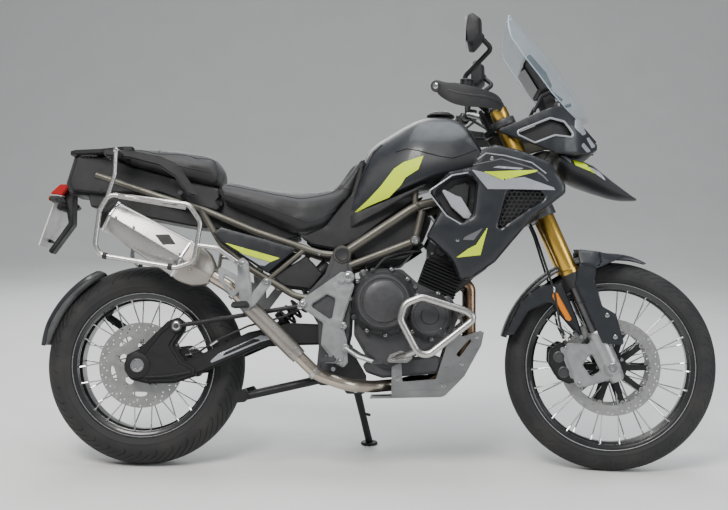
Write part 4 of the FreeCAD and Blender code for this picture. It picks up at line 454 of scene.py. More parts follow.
def resampled(outline, pitch):
    """The same closed outline with no step longer than the pitch."""
    spots = []
    for (x0, z0), (x1, z1) in zip(outline, outline[1:] + outline[:1]):
        count = max(1, math.ceil(math.hypot(x1 - x0, z1 - z0) / pitch))
        spots += [(x0 + (x1 - x0) * k / count, z0 + (z1 - z0) * k / count) for k in range(count)]
    return spots

# %% [markdown]
# A panel needs to know how close a spot is to its outline, so that its rim can roll in there, and whether
# the spot lies in a hole.

# %% distance to an edge, and inside or outside
def to_edge(x, z, outlines):
    """How far a spot lies from the nearest of some closed outlines."""
    nearest = 1e9
    for outline in outlines:
        for (x0, z0), (x1, z1) in zip(outline, outline[1:] + outline[:1]):
            run, rise = x1 - x0, z1 - z0
            share = min(1, max(0, ((x - x0) * run + (z - z0) * rise) / (run * run + rise * rise or 1e-9)))
            nearest = min(nearest, math.hypot(x - x0 - run * share, z - z0 - rise * share))
    return nearest


def inside(x, z, outlines):
    """Whether a spot lies within the first outline and outside the others, which are holes."""
    found = []
    for outline in outlines:
        within = False
        for (x0, z0), (x1, z1) in zip(outline, outline[1:] + outline[:1]):
            if (z0 > z) != (z1 > z) and x < (x1 - x0) * (z - z0) / (z1 - z0) + x0:
                within = not within
        found.append(within)
    return found[0] and not any(found[1:])

# %% [markdown]
# Sections of the tank, the beak and the seats are read from short tables of places and values. A half
# section becomes a whole one by its mirror image.

# %% tables and mirrored sections
def along(pairs, at):
    """A value read from a short table of (place, value) pairs, straight between them."""
    if at <= pairs[0][0]:
        return pairs[0][1]
    for (low, first), (high, second) in zip(pairs, pairs[1:]):
        if at <= high:
            return first + (second - first) * (at - low) / (high - low)
    return pairs[-1][1]


def smooth_along(pairs, at):
    """The same table read with a soft turn at each of its places."""
    span = 14
    return sum(along(pairs, at + k * span / 4) for k in range(-4, 5)) / 9


def grown(outline, amount):
    """A closed outline moved outwards by an amount, or inwards where that is negative."""
    area = sum(x0 * z1 - x1 * z0 for (x0, z0), (x1, z1) in zip(outline, outline[1:] + outline[:1]))
    sign = 1 if area > 0 else -1
    moved = []
    for i, (x, z) in enumerate(outline):
        (xa, za), (xb, zb) = outline[i - 1], outline[(i + 1) % len(outline)]
        first = Vector((z - za, xa - x)).normalized() * sign
        second = Vector((zb - z, x - xb)).normalized() * sign
        way = first + second
        way = way / max(0.35, way.length_squared / 2)
        moved.append((x + way.x * amount, z + way.y * amount))
    return moved


def mirrored(half_ring):
    """A whole section from its right half."""
    return half_ring + [(x, -y, z) for x, y, z in reversed(half_ring)]


def skin_at(spots, z):
    """How far across the right skin of a half section (across, height) lies at one height."""
    for (y0, z0), (y1, z1) in zip(spots, spots[1:]):
        if z0 <= z <= z1 and z1 > z0:
            return -(y0 + (y1 - y0) * (z - z0) / (z1 - z0))
    return -spots[0][0] if z < spots[0][1] else -spots[-1][0]


def turns_of(count, start=0.0):
    """Angles that share out a full turn."""
    return [2 * math.pi * (k + start) / count for k in range(count)]

# %% [markdown]
# Two helpers work on meshes. The first fills an outline with triangles and leaves its holes open. The second
# gives a sheet its thickness and rounds it by subdivision.

# %% filling and rounding
def flat_faces(edges, extra):
    """Corners and triangles that fill an outline and leave its holes open."""
    flat = [Vector(spot) for ring in edges for spot in ring] + [Vector(spot) for spot in extra]
    links, start = [], 0
    for ring in edges:
        links += [(start + i, start + (i + 1) % len(ring)) for i in range(len(ring))]
        start += len(ring)
    spots, _, faces, *_ = delaunay_2d_cdt(flat, links, [], 0, 1e-4)
    kept = []
    for face in faces:
        middle = sum((spots[i] for i in face), Vector((0, 0))) / len(face)
        if inside(middle.x, middle.y, edges):
            kept.append(face)
    used = sorted({i for face in kept for i in face})
    place = {old: new for new, old in enumerate(used)}
    return [tuple(spots[i]) for i in used], [[place[i] for i in face] for face in kept]


def rounded_mesh(part, levels, wall):
    """The same shape after thickening and subdivision."""
    data = bpy.data.meshes.new("rounding")
    part.to_mesh(data)
    part.free()
    helper = bpy.data.objects.new("rounding", data)
    bpy.context.scene.collection.objects.link(helper)
    if wall:
        shell = helper.modifiers.new("wall", "SOLIDIFY")
        shell.thickness = wall
        shell.offset = -1
    if levels:
        smooth = helper.modifiers.new("round", "SUBSURF")
        smooth.levels = levels
    finished = helper.evaluated_get(bpy.context.evaluated_depsgraph_get()).to_mesh()
    result = bmesh.new()
    result.from_mesh(finished)
    bpy.data.objects.remove(helper)
    bpy.data.meshes.remove(data)
    return result

# %% [markdown]
# `Form` gathers the shapes of one piece while it is drawn, in millimetres of the upright machine.
# Each method adds a shape in the finish last chosen with `use`, and can mirror it to the other side.
# `set_down` turns the whole into one object, in its place on the body that it rides.

# %% the maker of pieces
class Form:
    """One piece of the machine while it is drawn."""

    def __init__(self, name, body="chassis"):
        self.name = name
        self.body = body
        self.mesh = bmesh.new()
        self.finishes = []

    def use(self, material):
        if material not in self.finishes:
            self.finishes.append(material)
        self.finish = self.finishes.index(material)
        return self

    def add(self, part, both=False, fix_sides=True):
        """Merge a loose shape, and its mirror image across the middle where both sides have one."""
        if fix_sides:
            bmesh.ops.recalc_face_normals(part, faces=part.faces)
        for face in part.faces:
            face.material_index = self.finish
            face.smooth = True
        data = bpy.data.meshes.new("shape")
        part.to_mesh(data)
        self.mesh.from_mesh(data)
        if both:
            bmesh.ops.scale(part, vec=(1, -1, 1), verts=part.verts)
            bmesh.ops.reverse_faces(part, faces=part.faces)
            part.to_mesh(data)
            self.mesh.from_mesh(data)
        part.free()
        bpy.data.meshes.remove(data)
        return self

    def rings(self, rings, closed=False, caps=True, both=False, around=True, levels=0, wall=0):
        """A skin over rings of spots: caps close its ends, levels round it, wall thickens it."""
        part = bmesh.new()
        rows = [[part.verts.new(Vector(spot)) for spot in ring] for ring in rings]
        following = rows[1:] + rows[:1] if closed else rows[1:]
        for low, high in zip(rows, following):
            for i in range(len(low) if around else len(low) - 1):
                k = (i + 1) % len(low)
                part.faces.new((low[i], low[k], high[k], high[i]))
        if caps and around and not closed:
            part.faces.new(rows[0])
            part.faces.new(rows[-1])
        bmesh.ops.remove_doubles(part, verts=part.verts, dist=1e-4)
        if levels or wall:
            part = rounded_mesh(part, levels, wall)
        return self.add(part, both)

    def sheet(self, rows, wall, levels=0, both=False):
        """An open sheet over rows of spots, with its wall's thickness."""
        return self.rings(rows, caps=False, both=both, around=False, levels=levels, wall=wall)

    def tube(self, points, radius, bend=0, sides=18, both=False, radii=None, closed=False, flat=1.0):
        """A bar or pipe along a route; radii may give a radius for each point of the route."""
        path = rounded(points, bend) if bend else [Vector(p) for p in points]
        count = len(path)
        if closed:
            ways = [(path[(i + 1) % count] - path[i - 1]).normalized() for i in range(count)]
        else:
            ways = [(path[min(i + 1, count - 1)] - path[max(i - 1, 0)]).normalized() for i in range(count)]
        side = ways[0].orthogonal().normalized()
        rings = []
        for i, (spot, way) in enumerate(zip(path, ways)):
            side = (side - way * side.dot(way)).normalized()
            other = way.cross(side)
            size = radius if radii is None else radii[i]
            rings.append([spot + (side * math.cos(a) + other * (flat * math.sin(a))) * size
                          for a in turns_of(sides)])
        return self.rings(rings, closed=closed, both=both)

    def loop(self, corners, radius, bend, sides=18, both=False):
        """A closed tube through its corners."""
        spots = [Vector(c) for c in corners]
        path = []
        for i, corner in enumerate(spots):
            path += rounded([spots[i - 1], corner, spots[(i + 1) % len(spots)]], bend)[1:-1]
        return self.tube(path, radius, sides=sides, both=both, closed=True)

    def turned(self, profile, centre, axis=(0, 1, 0), sides=48, both=False, closed=False, caps=True):
        """A turned form: each spot of the profile is (radius, place along the axis)."""
        axis = Vector(axis).normalized()
        side = axis.orthogonal().normalized()
        other = axis.cross(side)
        centre = Vector(centre)
        rings = [
            [centre + axis * place + (side * math.cos(a) + other * math.sin(a)) * max(radius, 0.02)
             for a in turns_of(sides)]
            for radius, place in profile
        ]
        return self.rings(rings, closed=closed, caps=caps, both=both)

    def slab(self, outline, low, high, bend=3, bevel=1.5, both=False, holes=()):
        """A plate drawn in side view, from one distance across to another, with softened edges."""
        part = bmesh.new()
        edges = [eased(o, bend) for o in (outline, *holes)]
        verts, faces = flat_faces(edges, [])
        row = [part.verts.new((x, low, z)) for x, z in verts]
        kept = [part.faces.new([row[i] for i in face]) for face in faces]
        moved = bmesh.ops.extrude_face_region(part, geom=kept)["geom"]
        tops = [v for v in moved if isinstance(v, bmesh.types.BMVert)]
        bmesh.ops.translate(part, vec=(0, high - low, 0), verts=tops)
        bmesh.ops.recalc_face_normals(part, faces=part.faces)
        bmesh.ops.dissolve_limit(part, angle_limit=0.001, verts=part.verts, edges=part.edges)
        if bevel:
            rims = [e for e in part.edges if abs(e.verts[0].co.y - e.verts[1].co.y) < 1e-4
                    and len(e.link_faces) == 2 and e.calc_face_angle(0) > 1.2]
            bmesh.ops.bevel(part, geom=rims, offset=bevel, segments=2, affect="EDGES", clamp_overlap=True)
        return self.add(part, both)

    def panel(self, outline, across, wall=3, rim=6, pitch=14, bend=5, holes=(), both=True, lift=0.0):
        """A moulded panel drawn in side view; `across` gives its outer surface and its rim rolls in."""
        edges = [resampled(eased(o, bend), pitch * 0.6) for o in (outline, *holes)]
        extra = []
        for ring in edges:
            for depth in (rim * 0.15, rim * 0.5, rim) if rim else ():
                for (x0, z0), (x1, z1) in zip(ring, ring[1:] + ring[:1]):
                    length = math.hypot(x1 - x0, z1 - z0) or 1
                    for sign in (-1, 1):
                        x = (x0 + x1) / 2 - sign * (z1 - z0) / length * depth
                        z = (z0 + z1) / 2 + sign * (x1 - x0) / length * depth
                        if inside(x, z, edges) and to_edge(x, z, edges) > depth * 0.93:
                            extra.append((x, z))
        low_x, high_x = min(x for x, z in edges[0]), max(x for x, z in edges[0])
        low_z, high_z = min(z for x, z in edges[0]), max(z for x, z in edges[0])
        for k in range(int((high_z - low_z) / pitch) + 1):
            for i in range(int((high_x - low_x) / pitch) + 1):
                x, z = low_x + (i + 0.5 * (k % 2)) * pitch, low_z + k * pitch
                if inside(x, z, edges) and to_edge(x, z, edges) > rim + pitch * 0.4:
                    extra.append((x, z))
        verts, faces = flat_faces(edges, extra)
        part = bmesh.new()
        outer, inner = [], []
        for x, z in verts:
            share = min(1, to_edge(x, z, edges) / rim) if rim else 1
            drop = rim * (1 - math.sqrt(max(0, 1 - (1 - share) ** 2))) if rim else 0
            y = across(x, z)
            side = -1 if y < 0 else 1
            outer.append(part.verts.new((x, y + side * (lift - drop), z)))
            inner.append(part.verts.new((x, y + side * (lift - max(wall, drop + 1)), z)) if wall else None)
        for face in faces:
            part.faces.new([outer[i] for i in face])
        if wall:
            rims = [e for e in part.edges if len(e.link_faces) == 1]
            pair = dict(zip(outer, inner))
            for face in faces:
                part.faces.new([inner[i] for i in reversed(face)])
            for edge in rims:
                a, b = edge.verts
                part.faces.new((a, b, pair[b], pair[a]))
            return self.add(part, both)
        bmesh.ops.recalc_face_normals(part, faces=part.faces)
        part.normal_update()
        if part.faces and part.faces[:][0].normal.y * (-1 if across(*verts[0]) < 0 else 1) < 0:
            bmesh.ops.reverse_faces(part, faces=part.faces)
        return self.add(part, both, fix_sides=False)

    def bolts(self, places, radius=4, height=3, way=(0, -1, 0), both=False, sides=12):
        """Round-headed bolts with a hollow in each head."""
        profile = [(radius, 0), (radius, height * 0.7), (radius * 0.8, height), (radius * 0.5, height),
                   (radius * 0.45, height * 0.35)]
        for place in places:
            self.turned(profile, place, way, sides, both)
        return self

    def set_down(self, *hides, crease=35):
        """Make the object, in metres and in its place, and let it ride its body."""
        data = bpy.data.meshes.new(self.name)
        self.mesh.transform(PLACES[self.body] @ Matrix.Scale(MM, 4))
        self.mesh.to_mesh(data)
        self.mesh.free()
        for material in self.finishes:
            data.materials.append(material)
        data.set_sharp_from_angle(angle=math.radians(crease))
        piece = bpy.data.objects.new(self.name + "_skin" if hides else self.name, data)
        bpy.context.scene.collection.objects.link(piece)
        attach(piece, self.body)
        if hides:
            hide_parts(*hides)
        print(self.name, len(data.polygons), "faces")
        return piece

# %% [markdown]
# A tyre is one skin of columns round the wheel and rows across it. Every pitch of the tread holds two
# diagonal grooves that sweep back from the middle, and the columns lean with them so that the edges stay
# crisp. The sidewall is blank, with only a few fine rings, as a tyre has beside its bead.

# %% tyres
def tyre(name, body, centre, radius, width, crown, bead, rim_width, pitches, groove):
    """A road and trail tyre with swept grooves; sizes in millimetres."""
    half = width / 2
    shoulder = half * 0.93
    drop = crown - math.sqrt(max(0, crown * crown - shoulder * shoulder))
    low = radius - drop
    rows = []
    for k in range(15):
        y = shoulder * k / 14
        rows.append((y, radius - (crown - math.sqrt(max(0, crown * crown - y * y))), k / 14))
    side = [
        (half * 0.975, low - 5), (half, low - 12), (half, low - 24),
        (half * 0.985, (low + bead) / 2 + 2), (half * 0.985 + 0.7, (low + bead) / 2),
        (half * 0.985, (low + bead) / 2 - 2), ((half + rim_width / 2) / 2 + 2, bead + 16),
        ((half + rim_width / 2) / 2 + 1.6, bead + 14.5), (rim_width / 2 + 3, bead + 10),
        (rim_width / 2 - 2, bead + 9), (rim_width / 2 - 4, bead), (rim_width / 2 - 12, bead),
    ]
    edge = [(y, r, {0: 1.04, 1: 1.08}.get(k, 9)) for k, (y, r) in enumerate(side)]
    full = [(-y, r, s) for y, r, s in reversed(rows[1:] + edge)] + rows + edge
    phases = [0, 0.012, 0.075, 0.087, 0.32, 0.5, 0.512, 0.575, 0.587, 0.82]
    cut = {0.012: 1, 0.075: 1, 0.512: 2, 0.575: 2}
    bands = {1: (0.1, 0.94), 2: (0.42, 1.08)}
    sweep = 2 * math.pi / pitches
    rings = []
    for pitch in range(pitches):
        for phase in phases:
            ring = []
            for y, r, share in full:
                lean = min(share, 1.0)
                turn = (pitch + phase + 1.5 * lean ** 1.4) * sweep
                depth = 0
                if phase in cut and share < 2:
                    kind = cut[phase] if y > 0 else 3 - cut[phase]
                    start, end = bands[kind]
                    if start <= share <= end + 0.001:
                        depth = groove if share <= 1 else groove * 0.7
                size = r - depth
                ring.append((centre.x + size * math.cos(turn), centre.y + y,
                             centre.z + size * math.sin(turn)))
            rings.append(ring)
    form = Form(name, body).use(tyre_rubber)
    form.rings(rings, closed=True, caps=False)
    return form.set_down(name, crease=32)


tyre("front_tyre", "front_wheel", FRONT_AXLE, 347.5, 92, 46, 268, 66, 38, 4.5)
tyre("rear_tyre", "rear_wheel", REAR_AXLE, 333.5, 148, 82, 230, 112, 34, 5)

# %% [markdown]
# The rims are black, with a machined light line round each edge and a raised ridge where the spokes end.
# The spokes cross in pairs on each side, with a nipple at the rim and a bent head at the hub flange.

# %% rims, spokes and hubs
SPOKE_PAIRS = 9


def wheel(name, body, centre, seat, width, hub_half, hub_radius, flange_at, flange):
    """A tubeless laced wheel: rim, hub, and nine crossed pairs of spokes on each side."""
    form = Form(name, body).use(rim_paint)
    half = width / 2 + 7
    outer = seat - 0.2
    profile = [
        (outer, -width / 2 + 3), (outer + 4, -width / 2), (outer + 10, -width / 2),
        (outer + 11, -width / 2 - 3), (outer + 11, -half + 1.2), (outer + 9.8, -half), (outer + 3, -half),
        (outer - 1, -half + 2.4), (outer - 7, -half + 4), (outer - 9, -half * 0.66),
        (outer - 8, -half * 0.56), (outer - 16, -half * 0.42), (outer - 16.8, 0), (outer - 16, half * 0.42),
        (outer - 8, half * 0.56), (outer - 9, half * 0.66), (outer - 7, half - 4), (outer - 1, half - 2.4),
        (outer + 3, half), (outer + 9.8, half), (outer + 11, half - 1.2), (outer + 11, width / 2 + 3),
        (outer + 10, width / 2), (outer + 4, width / 2), (outer, width / 2 - 3),
    ]
    form.turned(profile, centre, sides=144, closed=True, caps=False)
    form.use(rim_line)
    for side in (-1, 1):
        line = [(outer + 10.2, side * (half - 0.3)), (outer + 11.15, side * (half - 1.2)),
                (outer + 10.2, side * (half + 0.25)), (outer + 7.4, side * (half + 0.25)),
                (outer + 7.4, side * (half - 0.3))]
        form.turned(line, centre, sides=144, closed=True, caps=False)
        ridge = [(outer - 8.6, side * half * 0.70), (outer - 7.2, side * half * 0.62),
                 (outer - 8.8, side * half * 0.60), (outer - 9.6, side * half * 0.66)]
        form.turned(ridge, centre, sides=144, closed=True, caps=False)
    form.use(black_cast)
    hub = [(12, -hub_half), (hub_radius * 0.8, -hub_half), (hub_radius, -hub_half + 3)]
    for side in (-1, 1):
        at = side * flange_at
        hub += [(hub_radius, at - 9), (flange - 3, at - 4.2), (flange, at - 3), (flange, at + 3),
                (flange - 3, at + 4.2), (hub_radius, at + 9)]
        if side < 0:
            hub += [(hub_radius * 0.84, at + 20), (hub_radius * 0.84, -at - 20)]
    hub += [(hub_radius, hub_half - 3), (hub_radius * 0.8, hub_half), (12, hub_half)]
    form.turned(hub, centre, sides=60)
    for side in (-1, 1):
        for pair in range(SPOKE_PAIRS):
            for way in (-1, 1):
                hub_angle = math.radians(360 / SPOKE_PAIRS * (pair + side / 4) + way * 7)
                rim_angle = hub_angle + math.radians(way * 26)
                foot_r, tip_r = flange - 6, outer - 7
                foot_y = side * (flange_at + way * 3)
                foot = centre + Vector((foot_r * math.cos(hub_angle), foot_y, foot_r * math.sin(hub_angle)))
                tip = centre + Vector((tip_r * math.cos(rim_angle), side * half * 0.6,
                                       tip_r * math.sin(rim_angle)))
                run = (tip - foot).normalized()
                form.use(spoke_steel)
                form.tube([foot + Vector((0, -side * way * 7, 0)), foot, tip - run * 20], 2.4, 3, sides=8)
                form.turned([(3.4, -1.2), (3.6, 0), (3.4, 1.4), (1.5, 1.8)],
                            foot + Vector((0, side * way * 2.2, 0)), (0, side * way, 0), sides=10)
                form.turned([(2.3, 0), (2.7, 1), (2.7, 17), (3.4, 18), (3.4, 27)], tip - run * 24, run,
                            sides=8)
    form.use(bright_steel).turned([(7.5, -0.4), (9, 0.4), (9, hub_half * 2 - 0.8)],
                                  centre - Vector((0, hub_half, 0)), sides=24)
    form.use(black_plastic)
    valve = centre + Vector(((outer - 17) * math.cos(2.3), 0, (outer - 17) * math.sin(2.3)))
    inward = (centre - valve).normalized()
    form.turned([(7, 0), (7, 3), (3.6, 4), (3.6, 22), (4.6, 23), (4.6, 34), (3.5, 35)], valve, inward,
                sides=12)
    return form.set_down(name)


wheel("front_rim", "front_wheel", FRONT_AXLE, 268, 66, 72, 24, 34, 38)
wheel("rear_rim", "rear_wheel", REAR_AXLE, 230, 112, 93, 40, 48, 62)

# %% [markdown]
# A brake disc is a drilled ring. The front pair float on black carriers with buttons between, and the rear
# one is cut from one sheet with long oval windows and holds five bolts.

# %% discs and their holes
def disc_plate(form, centre, at, ring, thickness, holes, edge):
    """A flat ring with drilled holes, round the wheel's axle."""
    outline = [(centre.x + edge * math.cos(a), centre.z + edge * math.sin(a)) for a in turns_of(120)]
    form.slab(outline, at - thickness / 2, at + thickness / 2, bend=0, bevel=0.5, holes=[ring, *holes])


def drilled(centre, count, spots, size):
    """Small round holes in a repeated pattern of (share of a pitch, radius)."""
    holes = []
    for k in range(count):
        for share, radius in spots:
            a = 2 * math.pi * (k + share) / count
            x, z = centre.x + radius * math.cos(a), centre.z + radius * math.sin(a)
            holes.append([(x + size * math.cos(b * math.pi / 4), z + size * math.sin(b * math.pi / 4))
                          for b in range(8)])
    return holes


def circle(centre, radius, count=48):
    """A round outline about the axle."""
    return [(centre.x + radius * math.cos(a), centre.z + radius * math.sin(a)) for a in turns_of(count)]

# %% [markdown]
# Each front disc has a wavy inner edge, small holes in a repeated pattern and ten arms that carry it. Every
# second button between arms and disc is brighter.

# %% front brake discs
front_discs = Form("front_discs", "front_wheel")
for side in (-1, 1):
    at = side * 66
    front_discs.use(disc_steel)
    holes = drilled(FRONT_AXLE, 20, [(0.1, 153), (0.3, 144), (0.55, 135), (0.8, 148)], 2.5)
    wavy = [(FRONT_AXLE.x + (125.5 - 4.5 * (math.cos(10 * a) > 0.86)) * math.cos(a),
             FRONT_AXLE.z + (125.5 - 4.5 * (math.cos(10 * a) > 0.86)) * math.sin(a))
            for a in turns_of(120)]
    disc_plate(front_discs, FRONT_AXLE, at, wavy, 4.8, holes, 160)
    front_discs.use(black_cast)
    for arm in range(10):
        a = 2 * math.pi * arm / 10
        foot = [(FRONT_AXLE.x + r * math.cos(a + t), FRONT_AXLE.z + r * math.sin(a + t))
                for r, t in ((34, -0.34), (34, 0.34), (66, 0.15), (112, 0.075), (123, 0.09), (123, -0.09),
                             (112, -0.075), (66, -0.15))]
        front_discs.slab(foot, at - 2.6 - side * 3, at + 2.6 - side * 3, bend=3, bevel=0.8)
    front_discs.slab(circle(FRONT_AXLE, 52), at - 3.4 - side * 3, at + 3.4 - side * 3, bend=0, bevel=1,
                     holes=[circle(FRONT_AXLE, 24.2, 36)])
    for arm in range(10):
        a = 2 * math.pi * arm / 10
        spot = FRONT_AXLE + Vector((121.5 * math.cos(a), at, 121.5 * math.sin(a)))
        front_discs.use(disc_steel if arm % 2 else bright_steel)
        front_discs.turned([(8, -4.2), (8.6, -3.4), (8.6, 3.4), (8, 4.2), (4, 4.2), (4, -4.2)], spot,
                           sides=16)
    front_discs.use(bright_steel).bolts(
        [FRONT_AXLE + Vector((43 * math.cos(a), at + side * 0.4, 43 * math.sin(a)))
         for a in turns_of(5, 0.5)], 6.5, 5.5, (0, side, 0), sides=16)
front_discs.set_down("front_discs")

# %% [markdown]
# The rear disc is one sheet. Five outer and five inner windows take turns round it, with small holes outside
# them and a toothed ring at its hub.

# %% rear brake disc
rear_disc = Form("rear_disc", "rear_wheel").use(disc_steel)
windows = []
for k in range(5):
    a = 2 * math.pi * (k + 0.5) / 5 + 0.3
    for spread, low, high, turn in ((0.27, 89, 104, 0.0), (0.23, 52, 76, math.pi / 5)):
        hole = []
        for step in range(20):
            b = 2 * math.pi * step / 20
            r = (low + high) / 2 + (high - low) / 2 * math.sin(b)
            t = a + turn + spread * math.cos(b)
            hole.append((REAR_AXLE.x + r * math.cos(t), REAR_AXLE.z + r * math.sin(t)))
        windows.append(hole)
windows += drilled(REAR_AXLE, 24, [(0.0, 134), (0.33, 125), (0.66, 116)], 2.6)
disc_plate(rear_disc, REAR_AXLE, -88, circle(REAR_AXLE, 40.2, 36), 5, windows, 141)
rear_disc.use(bright_steel).bolts(
    [REAR_AXLE + Vector((82 * math.cos(a), -90.5, 82 * math.sin(a)))
     for a in [2 * math.pi * (k + 0.5) / 5 + 0.3 + math.pi / 5 for k in range(5)]], 6, 5, (0, -1, 0),
    sides=16)
rear_disc.use(black_cast)
for k in range(48):
    a = 2 * math.pi * k / 48
    spot = [(REAR_AXLE.x + r * math.cos(a + t), REAR_AXLE.z + r * math.sin(a + t))
            for r, t in ((47, -0.04), (51, -0.04), (51, 0.04), (47, 0.04))]
    rear_disc.slab(spot, -93.5, -90.5, bend=0, bevel=0)
rear_disc.set_down("rear_disc")

# %% [markdown]
# The tank is drawn as sections across the machine. Each section is half of a rounded shape that widens from
# the seat's waist to broad shoulders at the front, with a soft crease along its upper edge and a ridge above.

# %% tank
TANK_LOW = [(690, 838), (806, 885), (940, 939), (1068, 970), (1150, 1003)]
TANK_TOP = [(688, 905), (700, 950), (729, 1046), (757, 1088), (822, 1126), (870, 1157), (913, 1179),
            (980, 1193), (1039, 1180), (1085, 1148), (1118, 1078), (1150, 1010)]
TANK_FRONT = [(820, 152), (960, 177.7), (1010, 177.7), (1090, 150), (1150, 104), (1184, 50), (1194, 4)]
TANK_HALF = [(650, 90), (700, 108), (760, 124), (820, 144), (860, 158), (905, 170), (950, 174), (1180, 178)]


def tank_section(x):
    """The right half of the tank at one place, from its lower edge over the shoulder to the middle."""
    low, top = along(TANK_LOW, x), min(smooth_along(TANK_TOP, x), along(TANK_TOP, x) + 2)
    half = smooth_along(TANK_HALF, x)
    tall = top - low
    full = along([(690, 0.2), (740, 0.5), (820, 0.95), (900, 1.0)], x)
    spots = [
        (half * 0.93, low), (half * 0.985, low + tall * 0.1), (half, low + tall * 0.26),
        (half * 0.985, low + tall * (0.38 + 0.06 * full)), (half * (0.94 - 0.02 * full), low + tall * 0.6),
        (half * (0.82 - 0.02 * full), low + tall * 0.75), (half * (0.62 - 0.02 * full), low + tall * 0.88),
        (half * 0.5, low + tall * 0.925), (half * 0.3, low + tall * 0.972), (half * 0.1, low + tall * 0.998),
    ]
    return [(min(y, along(TANK_FRONT, z) - 1), z) for y, z in spots]


def tank_side(x, z):
    """How far across the tank's right skin lies at a spot seen from the side."""
    return skin_at(tank_section(x), z)


tank = Form("fuel_tank").use(dark_paint)
sections = []
for x in [690, 696, 706, 720, 740, 765, 795, 830, 870, 910, 950, 990, 1025, 1055, 1080, 1098, 1112, 1122,
          1128]:
    sections.append(mirrored([(x, -y, z) for y, z in tank_section(x)]))
tank.rings(sections, levels=2)
tank.use(black_plastic)
tank.turned([(42, 0), (47, 1.5), (48, 4), (47, 7), (43, 9)], (990, 0, 1189), (0.02, 0, 1), 48)
tank.use(dark_cast)
tank.turned([(40, 8), (40, 12), (37, 14.5), (30, 15.5), (1, 16)], (990, 0, 1189), (0.02, 0, 1), 48)
tank.use(bright_steel).bolts(
    [(990 + 35 * math.cos(a), 35 * math.sin(a), 1203.5) for a in [math.pi / 3 * k for k in range(6)]],
    3.2, 2.4, (0.02, 0, 1))
tank.set_down("fuel_tank")

# %% [markdown]
# A stripe is a very thin panel that lies about a millimetre proud of the skin it is painted on.

# %% graphics on the tank
def graphic(name, colour, shapes, across, lift=0.5):
    """Flat shapes of one colour laid on a curved skin."""
    form = Form(name).use(colour)
    for outline in shapes:
        form.panel(outline, across, wall=0, rim=0, pitch=9, bend=1.0, lift=lift)
    return form.set_down()


graphic("tank_blade", lime_paint, [
    [(691, 838), (749, 868), (816, 894), (855, 933), (869, 957), (911, 983), (928, 1029), (863, 1009),
     (832, 989), (788, 932), (743, 885)],
], tank_side)
tank_lines = Form("tank_seams").use(black_plastic)
tank_lines.tube([(x, tank_side(x, z) - 0.2, z) for x, z in
                 [(837, 1047), (872, 1056), (925, 1043), (982, 1028), (1022, 1022), (1060, 1034),
                  (1102, 1052)]],
                1.6, sides=8, both=True)
tank_lines.tube([(x, tank_side(x, z), z) for x, z in
                 [(700, 908), (716, 950), (738, 1000), (760, 1050), (790, 1080)]], 1.8, sides=8, both=True)
tank_lines.set_down()

tank_trim = Form("lower_tank_trim").use(black_plastic)
tank_trim.panel([(657, 776), (690, 837.6), (806, 884.6), (896, 920.8), (940, 939), (930, 925), (876, 898),
                 (790, 848)], lambda x, z: tank_side(x, 880) - 6, wall=12, rim=5, pitch=12)
tank_trim.panel([(520, 764), (604, 800), (690, 908), (716, 1000), (738, 1046), (722, 960), (700, 880),
                 (806, 900), (905, 930), (905, 890), (800, 822), (700, 745), (640, 724), (560, 738)],
                lambda x, z: -104 - 0.04 * max(0, x - 700), wall=14, rim=5, pitch=14, bend=8)
tank_trim.set_down()

# %% [markdown]
# Each shroud is a moulded shell that leans in towards its upper and lower edges. It has a deep scoop with a
# bright inner blade and a honeycomb mesh before the radiator.

# %% shrouds
SHROUD = [(937, 760), (985, 850), (946, 902), (1010, 968), (1082, 985), (1120, 1050), (1160, 1062),
          (1228, 1047), (1336, 1004), (1385, 930), (1385, 904), (1288, 828), (1251, 790), (1160, 680),
          (1085, 626), (1046, 619), (1020, 685)]
SCOOP = [(1000, 838), (965, 902), (1020, 945), (1067, 958), (1098, 936), (1086, 826), (1046, 802)]
GRILLE = [(1164, 775), (1192, 803), (1262, 852), (1346, 902), (1200, 910)]


def shroud_skin(x, z):
    """The right shroud's outer surface across the machine."""
    lean = 0.26 * max(0, z - 968) + 0.2 * max(0, 790 - z) + 0.12 * max(0, x - 1250)
    return -(233.5 - lean - 0.06 * max(0, 1020 - x))


shrouds = Form("shrouds").use(dark_paint)
shrouds.panel(SHROUD, shroud_skin, wall=48, rim=13, pitch=15, bend=14, holes=[SCOOP, GRILLE])
shrouds.use(black_plastic)
shrouds.panel(grown(SCOOP, -1), lambda x, z: -206 + 0.14 * (x - 965), wall=4, rim=0, pitch=14)
shrouds.panel(grown(SCOOP, -20), lambda x, z: -214 + 0.1 * (x - 965), wall=10, rim=3, pitch=14)
shrouds.use(silver_paint)
shrouds.panel([(985, 906), (994, 911), (1032, 892), (1049, 887), (1084, 830), (1074, 815), (1057, 818),
               (1017, 854)], lambda x, z: -222 + 0.08 * (x - 985), wall=6, rim=4, pitch=9)
for spots in ([(1070, 964), (1019, 955), (948, 906), (945, 897), (1001, 824), (1048, 797)],
              [(1100, 1008), (1128, 1030), (1189, 1022), (1275, 999), (1320, 964)]):
    shrouds.tube([(x, shroud_skin(x, z) - 0.3, z) for x, z in spots], 2.4, 4, 8, True)
shrouds.use(black_plastic)
shrouds.panel(grown(GRILLE, -1), lambda x, z: -200, wall=4, rim=0, pitch=16)
cell = 15
for row in range(12):
    for column in range(16):
        x, z = 1150 + (column + 0.5 * (row % 2)) * cell, 778 + row * cell * 0.87
        if not inside(x, z, [GRILLE]):
            continue
        hexagon = [Vector((x + cell * 0.54 * math.cos(a), shroud_skin(x, z) + 7,
                           z + cell * 0.54 * math.sin(a)))
                   for a in turns_of(6, 0.5)]
        shrouds.tube(hexagon, 1.5, sides=6, both=True, closed=True)
shrouds.use(bright_steel).bolts([(1037, -222, 748), (1146, shroud_skin(1146, 1012), 1012)], 6, 3.5,
                                both=True)
shrouds.set_down("shrouds")

